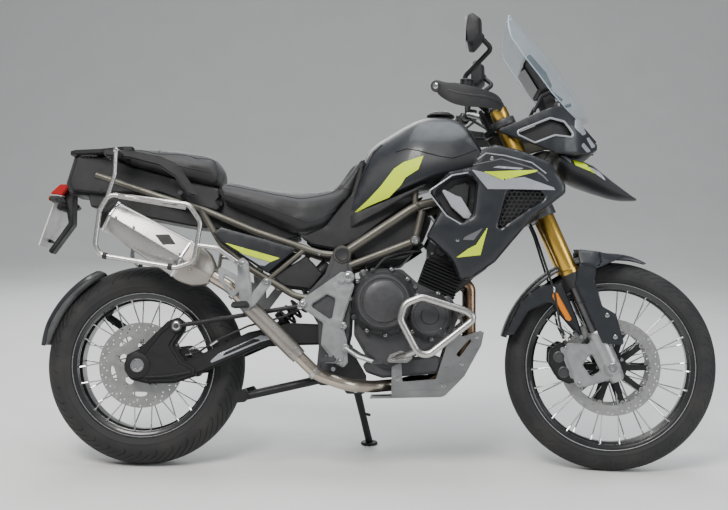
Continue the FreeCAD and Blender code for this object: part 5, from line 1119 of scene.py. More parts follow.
graphic("shroud_band", silver_paint, [
    [(1080, 974), (1132, 911), (1350, 911), (1343, 920), (1249, 951), (1171, 943), (1117, 966)],
    [(1146, 981), (1166, 987), (1249, 980), (1234, 975)],
], shroud_skin, lift=0.9)
graphic("shroud_lime", lime_paint, [
    [(1117, 967), (1293, 975), (1286, 968), (1181, 940)],
    [(1133, 790), (1111, 700), (1033, 691), (1072, 720), (1096, 732)],
], shroud_skin, lift=1.3)
graphic("shroud_wedge", grey_paint, [
    [(1053, 748), (1060, 757), (1118, 786), (1089, 747)],
    [(1085, 992), (1178, 1013), (1274, 984), (1313, 957), (1328, 940), (1324, 938), (1309, 953), (1272, 980),
     (1178, 1009), (1087, 988)],
], shroud_skin, lift=0.9)

# %% [markdown]
# The side panel fills the triangle of the rear frame; its upper edge is hidden under the seat.

# %% side panels
def side_skin(x, z):
    """The right side panel's outer surface."""
    return -136 + 0.02 * abs(z - 720)


side_panels = Form("side_panels").use(dark_paint)
side_panels.panel([(234, 770), (273, 733), (300, 716), (418, 640), (515, 722), (412, 752), (334, 772),
                   (260, 792)],
                  side_skin, wall=5, rim=5, pitch=12, bend=6)
side_panels.use(black_plastic)
side_panels.panel([(690, 716), (708, 690), (905, 758), (915, 846), (902, 866)],
                  lambda x, z: -118, wall=4, rim=4, pitch=16, bend=8)
side_panels.panel([(545, 700), (430, 630), (470, 600), (560, 590), (600, 640)],
                  lambda x, z: -112, wall=4, rim=4, pitch=16, bend=8)
side_panels.set_down("side_panels")
graphic("side_lime", lime_paint, [[(274, 740), (459, 690), (428, 677), (339, 702)]],
        side_skin, lift=0.8)
graphic("side_silver", silver_paint, [[(312, 715), (339, 701), (427, 676), (410, 664), (393, 666)]],
        side_skin, lift=0.8)

# %% [markdown]
# The seats are soft. Each starts as a slightly small closed form, is remeshed into small even faces and is
# blown up gently as cloth, with no point allowed to move far. Its seams are laid on afterwards.

# %% padded seats
CLOTH_FRAMES = 20


def cushion(name, top, low, half, stations, seams, cap=7.0):
    """A crowned closed pad from tables of its top, its underside and its half width."""
    sections = []
    for x in stations:
        w, crest, foot = smooth_along(half, x) - 5, along(top, x) - 4, along(low, x) + 2
        tall = max(6.0, crest - foot)
        right_half = [(0.35, 0), (0.75, 0), (0.93, 0.05), (0.99, 0.2), (1.0, 0.4), (0.985, 0.6),
                      (0.93, 0.78), (0.8, 0.91), (0.55, 0.98), (0.2, 1.0)]
        ring = [(x, -w * across, foot + tall * share) for across, share in right_half]
        sections.append(mirrored(ring))
    form = Form(name).use(seat_vinyl)
    form.rings(sections)
    piece = form.set_down(name, crease=60)
    bpy.context.view_layer.objects.active = piece
    remesh = piece.modifiers.new("even", "REMESH")
    remesh.mode = "VOXEL"
    remesh.voxel_size = 0.006
    apply_modifiers(piece)
    before = [v.co.copy() for v in piece.data.vertices]
    puff = piece.modifiers.new("puff", "CLOTH")
    puff.settings.use_pressure = True
    puff.settings.uniform_pressure_force = 4
    puff.settings.effector_weights.gravity = 0
    puff.point_cache.frame_end = CLOTH_FRAMES
    for number in range(1, CLOTH_FRAMES + 1):
        bpy.context.scene.frame_set(number)
    apply_modifiers(piece)
    bpy.context.scene.frame_set(1)
    for vertex, start in zip(piece.data.vertices, before):
        move = vertex.co - start
        if move.length > cap * MM:
            vertex.co = start + move.normalized() * cap * MM
    soften = piece.modifiers.new("soft", "SMOOTH")
    soften.factor = 0.5
    soften.iterations = 6
    finer = piece.modifiers.new("finer", "SUBSURF")
    finer.levels = 1
    apply_modifiers(piece)
    for face in piece.data.polygons:
        face.use_smooth = True
    back = parked.inverted()
    mesh = piece.data
    tree = BVHTree.FromPolygons([back @ v.co / MM for v in mesh.vertices],
                                [f.vertices[:] for f in mesh.polygons])
    lines = Form(name + "_seams").use(grip_rubber)
    for kind, spots in seams:
        route = rounded([Vector((x, 0, z)) for x, z in spots], 60)
        route = [a.lerp(b, k / 6) for a, b in zip(route, route[1:]) for k in range(6)] + [route[-1]]
        path = []
        for spot in route:
            if kind == "side":
                hit = tree.ray_cast(Vector((spot.x, -400, spot.z)), Vector((0, 1, 0)))[0]
            else:
                hit = tree.ray_cast(Vector((spot.x, -spot.z, 1500)), Vector((0, 0, -1)))[0]
            if hit:
                path.append(hit)
        if len(path) > 3:
            lines.tube(path, 1.7, sides=8, both=True)
    lines.set_down()
    return piece


def apply_modifiers(piece):
    """Keep the evaluated shape as the piece's own mesh."""
    shape = bpy.data.meshes.new_from_object(piece.evaluated_get(bpy.context.evaluated_depsgraph_get()))
    piece.modifiers.clear()
    piece.data = shape

# %% [markdown]
# The tables give each seat's top, underside and half width from back to front. A seam is drawn in side view
# or from above, and is then laid on the skin.

# %% the two seats
cushion(
    "rider_seat",
    [(256, 953), (262, 953), (300, 946), (372, 931), (440, 921), (512, 915), (580, 919), (634, 933),
     (652, 948), (684, 996), (716, 1046), (725, 1046)],
    [(256, 905), (265, 884), (400, 826), (529, 770), (560, 782), (600, 800), (640, 850), (684, 906),
     (725, 1030)],
    [(240, 128), (330, 142), (430, 150), (560, 136), (640, 108), (740, 84)],
    [258, 264, 274, 290, 320, 360, 400, 440, 480, 515, 545, 575, 600, 625, 645, 660, 675, 690, 703, 714,
     722],
    [("side", [(269, 902), (345, 880), (450, 846), (558, 806), (640, 858)]),
     ("top", [(262, 100), (330, 112), (430, 118), (540, 108), (620, 84), (655, 70)]),
     ("side", [(642, 930), (705, 928)])],
)
cushion(
    "pillion_seat",
    [(-141, 1053), (-100, 1056), (-9, 1058), (90, 1053), (146, 1047), (222, 1037), (238, 1018), (249, 990)],
    [(-141, 1046), (-120, 1034), (-46, 1002), (90, 964), (241, 932), (249, 945)],
    [(-150, 92), (-60, 124), (120, 130), (260, 116)],
    [-139, -132, -120, -95, -60, -20, 20, 60, 100, 140, 175, 205, 225, 236, 243, 248],
    [("side", [(-110, 1040), (0, 1018), (120, 996), (243, 972)]),
     ("top", [(-130, 66), (-60, 92), (60, 104), (200, 100), (232, 92)]),
     ("top", [(40, 1), (40, 50), (40, 100)])],
)

# %% [markdown]
# The beak, the nose cowl and the screen sit above the fork and keep their place when the bars turn.

# %% nose
def cowl_side(x, z):
    """The nose's right side, narrower towards the front."""
    lean = 0.16 * max(0, z - 1130) + 0.1 * max(0, 1080 - z)
    wide = along([(1160, 158), (1350, 160), (1400, 150), (1440, 132), (1480, 100), (1520, 72)], x)
    return -(wide - lean)


nose = Form("nose_cowl").use(dark_paint)
WING = [(1161, 1116), (1339, 1195), (1385, 1205), (1425, 1169), (1506, 1093), (1511, 1067), (1486, 1051),
        (1425, 1041), (1359, 1045), (1293, 1070)]
WINDOW = [(1231, 1109), (1343, 1156), (1388, 1146), (1423, 1100), (1358, 1105), (1292, 1079)]
nose.panel(WING, cowl_side, wall=6, rim=6, pitch=14, bend=9, holes=[WINDOW])
nose.use(black_plastic)
nose.panel(grown(WINDOW, -1), lambda x, z: cowl_side(x, z) + 16, wall=4, rim=0, pitch=16)
nose.use(silver_paint)
frame_line = resampled(eased(grown(WINDOW, 3), 9), 12)
nose.tube([(x, cowl_side(x, z) - 0.4, z) for x, z in frame_line], 4.2, sides=8, both=True, closed=True,
          flat=0.8)
for wedge, pitch in (
    ([(1428, 1159), (1446, 1162), (1470, 1116), (1455, 1108), (1425, 1130)], 10),
    ([(1468, 1102), (1480, 1106), (1506, 1078), (1490, 1070)], 9),
    ([(1450, 1072), (1458, 1086), (1489, 1060), (1472, 1054)], 9),
):
    nose.panel(wedge, cowl_side, wall=4, rim=3, pitch=pitch, bend=4, lift=2.5)
nose.use(black_plastic)
for low, high in (((1385, 1204), (1428, 1166)), ((1428, 1166), (1468, 1128)), ((1468, 1128), (1506, 1092))):
    w0, w1 = -cowl_side(*low) - 4, -cowl_side(*high) - 4
    nose.sheet([
        [(low[0], y, low[1] + 3 - 0.0006 * y * y) for y in (-w0, -w0 / 2, 0, w0 / 2, w0)],
        [(high[0], y, high[1] + 3 - 0.0006 * y * y) for y in (-w1, -w1 / 2, 0, w1 / 2, w1)],
    ], wall=4)
for sheet_rows in ([(1354, 1056, 140), (1425, 1044, 132), (1486, 1053, 92), (1508, 1066, 76)],
                   [(1318, 1164, 128), (1345, 1186, 138), (1385, 1202, 138)]):
    nose.sheet([[(x, y, z) for y in (-w, 0, w)] for x, z, w in sheet_rows], wall=4)
nose.set_down("nose_cowl")

# %% [markdown]
# The lamps face away from the photo. Two rows of dark glass with three small round lenses in each stand for
# them.

# %% headlamps
lamps = Form("headlamps").use(dark_glass)
for side in (-1, 1):
    for z, high in ((1078, 26), (1110, 20)):
        lamps.rings([
            [(x + 4, side * 14, z - high / 2), (x, side * 66, z - high / 2 + 4),
             (x, side * 66, z + high / 2 - 2),
             (x - 8, side * 14, z + high / 2)] for x in ((1470, 1512) if z < 1090 else (1452, 1492))
        ], levels=0)
lamps.use(clear_lens)
for side in (-1, 1):
    for y in (26, 42, 57):
        lamps.turned([(6.5, 0), (6.5, 2), (4.6, 4), (1.5, 5)], (1508, side * y, 1079), (1, 0, 0.1), 14)
    lamps.sheet([[(x, side * 14, z), (x - 3, side * 64, z)] for x, z in
                 ((1490, 1103), (1492, 1110), (1488, 1117))], wall=2)
lamps.set_down("headlamps")

# %% [markdown]
# The beak is a skin over mirrored half sections, broad under the lamps and pointed at its tip. A fine silver
# line and the coloured wedges lie on it.

# %% beak
def beak_section(x):
    """The beak's half section: a broad brow with a keel under it, down to a point."""
    top = smooth_along([(1376, 1060), (1397, 1065), (1425, 1050), (1486, 1040), (1535, 1000), (1600, 952),
                        (1656, 912)], x)
    low = smooth_along([(1376, 1000), (1412, 962), (1500, 930), (1586, 905), (1640, 905), (1656, 908)], x)
    half = along([(1360, 112), (1480, 98), (1600, 48), (1656, 12)], x)
    tall = top - low
    return [(half * 0.1, low), (half * 0.55, low + tall * 0.12), (half * 0.9, low + tall * 0.42),
            (half, low + tall * 0.62), (half * 0.95, low + tall * 0.74), (half * 0.6, low + tall * 0.9),
            (half * 0.25, low + tall * 0.985), (half * 0.06, top)]


def beak_side(x, z):
    """How far across the beak's right skin lies."""
    return skin_at(beak_section(x), z)


beak = Form("beak").use(dark_paint)
beak_rings = []
for x in [1378, 1384, 1396, 1412, 1435, 1465, 1500, 1535, 1570, 1600, 1625, 1642, 1652, 1656]:
    beak_rings.append(mirrored([(x, -y, z) for y, z in beak_section(x)]))
beak.rings(beak_rings, levels=1)
beak.use(silver_paint)
beak.tube([(x, beak_side(x, z), z + 1) for x, z in [(1400, 1058), (1440, 1036), (1500, 1015), (1556, 976)]],
          1.8, sides=6, both=True)
beak.set_down("beak", crease=24)
graphic("beak_lime", lime_paint, [[(1425, 1034), (1464, 1022), (1504, 985), (1433, 1012)]], beak_side,
        lift=2.2)
graphic("beak_grey", silver_paint, [
    [(1384, 1042), (1408, 1050), (1419, 1034), (1419, 1018)],
    [(1479, 1008), (1520, 996), (1540, 964), (1504, 985)],
], beak_side, lift=2.2)

# %% [markdown]
# The screen is a curved clear sheet, 3.5 mm thick. Its thicker edge is tinted lighter as a painted highlight,
# and dark fixings sit low down.

# %% windscreen
SCREEN = [(1176, 1499, 1425, 105), (1213, 1482, 1388, 126), (1250, 1464, 1352, 138), (1310, 1422, 1308, 141),
          (1370, 1378, 1262, 140), (1404, 1352, 1240, 139), (1438, 1322, 1218, 135), (1475, 1293, 1213, 114),
          (1500, 1270, 1214, 90), (1524, 1252, 1218, 62), (1540, 1238, 1222, 34)]


def screen_row(z, middle, edge, half, shift=0.0):
    """One level of the screen, bowed from edge to edge."""
    return [(middle - shift + (edge - middle) * (k / 8) ** 2, half * k / 8, z) for k in range(-8, 9)]


screen = Form("windscreen").use(screen_plastic)
screen.sheet([screen_row(*row) for row in SCREEN], levels=1, wall=3.5)
# the edge tube carries the painted highlight of the screen's rim
screen.use(screen_rim_highlight)
rim = [screen_row(*row)[-1] for row in SCREEN] + [screen_row(*SCREEN[-1])[k] for k in range(15, 0, -1)]
rim += [screen_row(*row)[0] for row in reversed(SCREEN)]
screen.tube([Vector(p) + Vector((-1.5, 0, 0)) for p in rim], 2.2, 12, sides=8)
screen.use(black_plastic)
for side in (-1, 1):
    screen.tube([(1384, side * 74, 1196), (1396, side * 74, 1212), (1424, side * 72, 1222)],
                6, 14, 12)
    screen.tube([(1297, side * 96, 1192), (1322, side * 96, 1244), (1352, side * 92, 1260),
                 (1392, side * 86, 1232)],
                7, 12, 12, flat=0.6)
    screen.turned([(15, 0), (15, 3), (11, 5), (4, 5.5)], (1378, side * 104, 1212), (0, side, 0), 20)
screen.use(bright_steel).bolts([(1378, -110, 1212)], 5, 3, both=True)
screen.set_down("windscreen")

# %% [markdown]
# The display is a flat housing with a blank dark glass. It stands on two stays from the nose.

# %% display
display = Form("display").use(black_plastic)
display.slab([(1279, 1400), (1270, 1352), (1322, 1266), (1362, 1279), (1340, 1330)], -86, 86, bend=8,
             bevel=4)
display.slab([(1326, 1270), (1362, 1279), (1384, 1205.6), (1348, 1188.8)], 58, 64, both=True)
display.use(dark_glass)
display.sheet([[(1272, y, 1394), (1264, y, 1352), (1313, y, 1272)] for y in (-76, 76)], wall=1.2)
display.set_down("display")

# %% [markdown]
# What turns with the bars is drawn in the fork's own frame: `fork_spot` takes a distance ahead of the
# steering axis, a distance across and a height along it.

# %% fork
AXIS_X, AXIS_Z = 1526.0, 332.6


def fork_spot(forward, across, height):
    """A spot of the steered parts, from the fork's own frame."""
    c, s = math.cos(RAKE), math.sin(RAKE)
    return Vector((AXIS_X + forward * c - height * s, across, AXIS_Z + forward * s + height * c))


def fork_plan(outline):
    """An outline in the fork's own frame, as it lies in side view."""
    return [(fork_spot(a, 0, b).x, fork_spot(a, 0, b).z) for a, b in outline]


def on_side(side, near, far):
    """Two distances across on one side of the machine, the lower first."""
    return min(side * near, side * far), max(side * near, side * far)


FORK_WAY = Vector((-math.sin(RAKE), 0, math.cos(RAKE)))
LEG_X = 37.1
tubes = Form("fork_tubes", "front_end").use(gold_metal)
for side in (-1, 1):
    foot = fork_spot(LEG_X, side * 104, 0)
    tubes.use(gold_metal).turned([(27.6, 350), (29, 354), (29, 540), (27.6, 544), (27.6, 588), (29, 592),
                                  (29, 862), (27, 866), (27, 896), (29, 899), (29, 928), (27, 930)],
                                 foot, FORK_WAY, 40)
    tubes.use(dark_cast).turned([(27, 929), (27.6, 931), (24, 940), (13, 940), (13, 936), (6, 936)],
                                foot, FORK_WAY, 24)
    tubes.use(gold_metal).turned([(31, 336), (31.4, 339), (31.4, 349), (29, 352)], foot, FORK_WAY, 40)
    tubes.use(black_plastic).turned([(25, 288), (27, 290), (31, 322), (31.4, 336), (26, 337)],
                                    foot, FORK_WAY, 40)
tubes.set_down("fork_tubes")

# %% [markdown]
# Each leg is a dark slider in a cast foot, with a lug behind it for the caliper. The axle runs through both.

# %% fork legs and front axle
legs = Form("fork_legs", "front_end")
for side in (-1, 1):
    foot = fork_spot(LEG_X, side * 104, 0)
    legs.use(dark_chrome).turned([(24.5, 118), (24.5, 330)], foot, FORK_WAY, 40)
    legs.use(silver_cast)
    legs.turned([(20, -46), (25, -38), (28, -20), (30, 20), (30, 60), (31, 92), (31.9, 118), (31.9, 126),
                 (29, 131), (24, 133)], foot, FORK_WAY, 40)
    wheel_spot = fork_spot(LEG_X, side * 75, 0)
    legs.turned([(16, 0), (25, 0), (27, 2), (27, 52), (25, 55.5), (16, 55.5)], wheel_spot, (0, side, 0), 36)
    rib = [(8, 100), (60, 112), (66, 22), (62, -22), (30, -34), (0, -28), (4, 20)]
    legs.slab(fork_plan(rib), *on_side(side, 92, 116), bend=14, bevel=5)
    hole = [(-47, 46), (-6, 76), (-2, 8), (-38, 0)]
    lug = [(-1.6, 101), (-62, 132), (-84, 116), (-94, -2), (-72, -22), (8, -30), (40, -24), (44, 60),
           (12, 116)]
    legs.slab(fork_plan(lug), *on_side(side, 108, 126), bend=9, bevel=4, holes=[fork_plan(hole)])
    legs.use(bright_steel).bolts([fork_spot(a, side * 126, b) for a, b in ((-76, 118), (-82, -6))],
                                 7.5, 5, (0, side, 0), sides=16)
    legs.bolts([fork_spot(a, side * 116, b) for a, b in ((52, 20), (48, -16))], 5, 4, (0, side, 0))
legs.set_down("fork_legs")

axle = Form("front_axle", "front_end").use(bright_steel)
for side in (-1, 1):
    axle.turned([(10, 124), (17, 124.5), (17, 137), (15.5, 138.2), (9, 138.2), (8.2, 131), (1, 131)],
                fork_spot(LEG_X, 0, 0), (0, side, 0), 24)
axle.turned([(11, -124), (11, 124)], fork_spot(LEG_X, 0, 0), (0, 1, 0), 24)
axle.set_down("front_axle")

# %% [markdown]
# Each front caliper is two halves with a bridge over the disc, behind its fork leg. A hose leads up from it
# to the lower clamp.

# %% front brake calipers
CALIPER = [(-60, 116), (-52, 96), (-64, 14), (-76, 2), (-112, 6), (-140, 34), (-146, 92), (-126, 132),
           (-84, 140)]
calipers = Form("front_calipers", "front_end")
for side in (-1, 1):
    body = fork_plan(CALIPER)
    calipers.use(black_cast)
    calipers.slab(body, *on_side(side, 75, 110), bend=12, bevel=6)
    calipers.slab(grown(body, -4), *on_side(side, 47, 57), bend=12, bevel=4)
    bridge = [(-128, 128), (-146, 92), (-140, 36), (-124, 30), (-130, 90), (-114, 122)]
    calipers.slab(fork_plan(bridge), *on_side(side, 50, 80), bend=6, bevel=3)
    calipers.use(silver_cast)
    band = [(-66, 120), (-78, 20), (-100, 16), (-92, 128)]
    calipers.slab(fork_plan(band), *on_side(side, 109, 112), bend=8, bevel=1)
    calipers.use(dark_cast)
    for a, b in ((-106, 100), (-112, 48)):
        calipers.turned([(19, 0), (19, 2), (16, 4), (13, 4), (12, 2), (1, 2)], fork_spot(a, side * 109, b),
                        (0, side, 0), 24)
    calipers.use(bright_steel).bolts([fork_spot(a, side * 111, b) for a, b in ((-72, 108), (-86, 24))],
                                     6, 4, (0, side, 0))
calipers.set_down("front_calipers")

hoses = Form("brake_hoses", "front_end")
for side in (-1, 1):
    route = [(-60, 100, 136.5), (-62, 100, 190), (-34, 102, 300), (-22, 90, 420), (-14, 70, 500),
             (-14, 60, 541)]
    spots = [fork_spot(a, side * y, b) for a, y, b in route]
    hoses.use(grip_rubber).tube(spots, 3.8, 90, 10)
    hoses.use(bright_steel).turned([(4.6, 0), (5, 1), (5, 20), (4.4, 22)], spots[0], spots[1] - spots[0], 12)
    hoses.turned([(4.6, 0), (5, 1), (5, 16), (4.4, 18)], spots[2], spots[2] - spots[1], 12)
hoses.set_down("brake_hoses")

# %% [markdown]
# Two clamps hold the fork tubes. The upper one carries the bar on two risers, and the key barrel.

# %% fork clamps
yokes = Form("fork_yokes", "front_end")
for low, high in ((540, 586), (868, 892)):
    yokes.use(dark_cast)
    for side in (-1, 1):
        yokes.turned([(29.6, low), (38, low), (39, low + 1.5), (39, high - 1.5), (38, high), (29.6, high)],
                     fork_spot(LEG_X, side * 104, 0), FORK_WAY, 36)
        yokes.use(bright_steel).bolts([fork_spot(-1, side * 96, (low + high) / 2 + k) for k in (-10, 10)],
                                      5.5, 6, -FORK_WAY.cross(Vector((0, 1, 0))))
        yokes.use(dark_cast)
    outline = [(57, 104), (54, 66), (49, 30), (49, -30), (54, -66), (57, -104), (15, -104), (-8, -66),
               (-34, -28), (-34, 28), (-8, 66), (15, 104)]
    rings = []
    for height, inset in ((low + 2, 3), (low + 4, 0), (high - 4, 0), (high - 2, 3)):
        flat = grown(outline, -inset)
        rings.append([fork_spot(a, y, height) for a, y in flat])
    yokes.rings(rings)
yokes.turned([(17, 588), (17, 866)], fork_spot(0, 0, 0), FORK_WAY, 24)
yokes.use(black_cast)
for side in (-1, 1):
    yokes.turned([(17, 890), (16, 893), (15, 925), (19, 932), (19, 956), (16, 962), (6, 963)],
                 fork_spot(-4, side * 45, 0), FORK_WAY, 24)
    yokes.use(bright_steel).bolts([fork_spot(a, side * 45, 960) for a in (-14, 8)], 4, 4, FORK_WAY)
    yokes.use(black_cast)
yokes.turned([(20, 889), (21, 891), (21, 900), (14, 903), (13, 901), (1, 901)], fork_spot(2, 0, 0),
             FORK_WAY, 28)
yokes.set_down("fork_yokes")

# %% [markdown]
# The front fender has a narrow top that runs out to a blade, a broad cover down each fork leg and a mudguard
# behind, all in matt dark paint.

# %% front fender
fender = Form("front_fender", "front_end").use(dark_paint)
fender_rows = []
for step in range(25):
    angle = 71 + (165 - 71) * step / 24
    a = math.radians(angle)
    wide = along([(71, 20), (78, 38), (90, 56), (120, 63), (158, 63), (165, 50)], angle)
    rise = along([(71, -6), (80, 2), (95, 4), (165, 0)], angle)
    row = []
    for across, drop in ((-1, 18), (-0.985, 8), (-0.9, 1.5), (-0.72, 0), (-0.35, -2.5), (0, -3.5),
                         (0.35, -2.5), (0.72, 0), (0.9, 1.5), (0.985, 8), (1, 18)):
        r = 372.5 - drop * along([(71, 0.3), (85, 1), (165, 1)], angle) + rise
        row.append((FRONT_AXLE.x + r * math.cos(a), wide * across, FRONT_AXLE.z + r * math.sin(a)))
    fender_rows.append(row)
fender.sheet(fender_rows, wall=4)
LEG_COVER = [(1454, 694), (1438, 622), (1526, 430), (1598, 422), (1570, 524), (1526, 549), (1502, 632),
             (1507, 677)]


def cover_skin(x, z):
    """The fork cover's outer surface."""
    return -(141 - 0.05 * max(0, z - 560) - 0.08 * max(0, x - 1540))


fender.panel(LEG_COVER, cover_skin, wall=7, rim=5, pitch=13, bend=10)
fender.panel([(1446, 736), (1526, 727), (1600, 712), (1560, 694), (1518, 686), (1507, 672), (1454, 690)],
             lambda x, z: -(120 - 0.55 * max(0, z - 690) - 0.25 * max(0, x - 1500)) - 20 * (x < 1520),
             wall=6, rim=5, pitch=12, bend=8)
for side in (-1, 1):
    fender.sheet([
        [(1446, side * 62, 737), (1450, side * 100, 730), (1454, side * 139, 690)],
        [(1526, side * 62, 728), (1522, side * 100, 716), (1508, side * 139, 676)],
        [(1600, side * 58, 716), (1580, side * 80, 706), (1530, side * 128, 684)],
    ], wall=5)
fender.panel([(1400, 627), (1330, 617), (1290, 590), (1262, 561), (1235, 505), (1208, 445), (1243, 451),
              (1290, 530), (1361, 562), (1440, 470), (1470, 436), (1452, 500)],
             lambda x, z: -(96 - 0.10 * max(0, 1400 - x)), wall=6, rim=5, pitch=14, bend=10)
fender.use(amber_lens)
fender.panel([(1371, 594), (1384, 592), (1431, 506), (1424, 496), (1412, 503), (1366, 580)],
             lambda x, z: -101.5, wall=6, rim=3, pitch=8, bend=7)
fender.use(bright_steel).bolts([(1462, -97, 446), (1541, -141, 520), (1567, -139, 450)], 7, 4, both=True,
                               sides=16)
fender.use(black_plastic)
fender.tube([(1448, cover_skin(0, 0) + 1, 560), (1526, cover_skin(0, 0) + 1, 548)], 1.4, sides=6, both=True)
fender.set_down("front_fender")

# %% [markdown]
# The bar is one tapered tube. Grips, switch boxes, levers, hand guards and mirrors all take their places from
# how far along the grip they sit.

# %% handlebar
BAR_BEND, BAR_END = Vector((1082, -225, 1241)), Vector((1004, -432, 1219))


def on_grip(share, forward=0.0, rise=0.0, out=0.0):
    """A spot by the right grip, at a share of the way from the bar's bend to its end."""
    return BAR_BEND.lerp(BAR_END, share) + Vector((forward, -out, rise))


GRIP_WAY = (BAR_END - BAR_BEND).normalized()
bar = Form("handlebar", "front_end").use(black_paint)
route = rounded([(1146, -60, 1203), (1146, -95, 1203), tuple(BAR_BEND), tuple(BAR_END)], 90)
sizes = [14 if spot.y > -70 else max(11, 14 - (abs(spot.y) - 70) * 0.05) for spot in route]
bar.tube(route, 11, radii=sizes, sides=24, both=True)
bar.tube([(1146, -62, 1203), (1146, 62, 1203)], 14, sides=24)
bar.use(dark_cast)
for side in (-1, 1):
    bar.turned([(14.3, -11), (19, -11), (19, 11), (14.3, 11)], (1146, side * 45, 1203), (0, 1, 0), 24)
bar.set_down("handlebar")

# %% [markdown]
# The grips are ribbed. Beside them sit the switch boxes, the fluid cups and the levers, which thicken towards
# their ends.

# %% grips and controls
grips = Form("grips", "front_end").use(grip_rubber)
profile = [(11.5, 0), (21, 1), (21, 5), (17, 8)]
for k in range(14):
    at = 10 + k * 7.6
    profile += [(17, at), (17, at + 4.6), (15.9, at + 5.4), (15.9, at + 7)]
profile += [(17, 118), (17, 126), (15, 128)]
grips.turned(profile, on_grip(0.42), GRIP_WAY, 28, both=True)
grips.set_down("grips")

controls = Form("hand_controls", "front_end").use(black_plastic)
BOX_SIZE = 21
controls.rings([
    [on_grip(share) + Vector((x * BOX_SIZE, 0, z * BOX_SIZE)) for x, z in
     ((-0.9, -0.5), (-0.6, -0.95), (0.6, -0.95), (1.0, -0.4), (1.0, 0.5), (0.5, 0.95), (-0.5, 0.95),
      (-0.95, 0.4))]
    for share in (0.26, 0.27, 0.405, 0.415)
], both=True)
controls.use(grey_plastic)
for k, (a, b) in enumerate(((-20, 8), (-21, -4), (-18, 14))):
    controls.turned([(4.5, 0), (4.5, 3), (3.5, 4)], on_grip(0.29 + 0.045 * k, a, b), (-1, 0, 0.15), 12,
                    both=True)
controls.use(black_cast)
cup = on_grip(0.3, 28, 4)
controls.turned([(17, 0), (19, 1), (19, 22), (20.5, 23), (20.5, 27), (18, 29), (1, 29.5)], cup, (0.1, 0, 1),
                28, both=True)
controls.tube([on_grip(0.31, 0, 0), on_grip(0.31, 46, 2)], 10, sides=16, both=True, flat=0.8)
controls.tube([on_grip(0.18, 2, 0), on_grip(0.28, 40, 0)], 12, sides=16, both=True, flat=0.7)
lever = rounded([on_grip(0.31, 44, 2), on_grip(0.5, 58, 2), on_grip(0.8, 56, 0), on_grip(0.98, 50, -2)], 60)
controls.tube(lever, 6.5, radii=[6.5 if k < len(lever) - 4 else 6.5 + (k - len(lever) + 4) * 0.4
                                 for k in range(len(lever))], sides=14, both=True, flat=0.75)
controls.use(bright_steel).bolts([on_grip(0.31, 44, 8)], 5, 3, (0, 0, 1), both=True)
controls.set_down("hand_controls")

# %% [markdown]
# A hand guard is a bent bar of plastic with a broad blade before the fingers, bolted to the bar's end.

# %% hand guards
GUARD = [(446, 1000, 1195, 1228), (455, 1030, 1170, 1227), (458, 1060, 1156, 1222), (456, 1095, 1150, 1215),
         (446, 1130, 1151, 1208), (424, 1158, 1152, 1202), (400, 1178, 1153, 1197), (365, 1187, 1155, 1194),
         (330, 1192, 1158, 1192), (285, 1187, 1166, 1190), (250, 1180, 1172, 1190)]
guards = Form("handguards", "front_end").use(black_plastic)
guards.sheet([
    [(x, -y, low), (x + 5, -y - 3, low + (high - low) * 0.18), (x + 7, -y - 4, (low + high) / 2),
     (x + 5, -y - 3, high - (high - low) * 0.18), (x, -y, high)]
    for y, x, low, high in GUARD
], levels=1, wall=5, both=True)
guards.tube([(x + 8, -y - 4, (low + high) / 2 + 4) for y, x, low, high in GUARD[1:-1]], 6, sides=10,
            both=True, flat=0.7)
guards.use(dark_cast)
guards.turned([(11, 0), (18, 1.5), (19, 6), (19, 14), (17, 18), (9, 19)], on_grip(0.995), GRIP_WAY, 28,
              both=True)
guards.use(bright_steel).turned([(8.5, 18.5), (9, 19), (9, 20.5), (7.5, 21.5), (1, 21.6)], on_grip(0.995),
                                GRIP_WAY, 24, both=True)
guards.use(dark_cast).turned([(11.5, 0), (15.5, 1), (15.5, 13), (11.5, 14)], on_grip(0.135), GRIP_WAY, 20,
                             both=True)
guards.tube([on_grip(0.16, 8, -4), (1150, -262, 1190), (1182, -252, 1182)], 5.5, 12, 12, both=True)
guards.set_down("handguards")

# %% [markdown]
# The mirrors stand on bent stalks. Copies of the head's outline, smaller towards both ends, make its rounded
# shell, and the glass is a slightly bowed sheet behind it.

# %% mirrors
mirrors = Form("mirrors", "front_end").use(black_cast)
mirrors.turned([(11.5, -8), (16, -7), (16, 7), (11.5, 8)], on_grip(0.097), GRIP_WAY, 20, both=True)
stalk = [tuple(on_grip(0.097, 0, 12)), (1083, -249, 1288), (1166, -300, 1362), (1128, -322, 1398)]
mirrors.tube(stalk, 8, 16, 14, both=True)
mirrors.turned([(8, 0), (9.5, 2), (9.5, 24), (8, 27)], on_grip(0.097, 0, 12), (0, 0, 1), 16, both=True)
mirrors.turned([(10, -9), (11.5, -6), (11.5, 6), (10, 9)], (1130, -322, 1397), (0.6, 0.2, -0.75), 16,
               both=True)
mirrors.use(black_plastic)
HEAD = [(1094, 1352), (1086, 1400), (1094, 1452), (1108, 1456), (1134, 1436), (1136, 1376), (1112, 1350)]
shell = []
for share, size in ((-1.0, 0.62), (-0.97, 0.8), (-0.86, 0.92), (-0.5, 1.0), (0, 1.03), (0.5, 1.0),
                    (0.86, 0.9), (0.97, 0.76), (1.0, 0.55)):
    ring = []
    for x, z in eased(HEAD, 8):
        ring.append((1092 + (x - 1092) * size, -338 + 75 * share - (x - 1092) * 0.18,
                     1402 + (z - 1402) * size))
    shell.append(ring)
mirrors.rings(shell, both=True)
mirrors.use(mirror_glass)
glass = []
for share, size in ((-0.93, 0.66), (-0.8, 0.84), (0, 0.94), (0.8, 0.82), (0.93, 0.6)):
    glass.append([(1087.2 - 2.2 * size + abs(z) * 0.05, -338 + 75 * share, 1402 + z * size * 47)
                  for z in (-1, -0.5, 0, 0.5, 1)])
mirrors.sheet(glass, wall=1, both=True)
mirrors.set_down("mirrors")

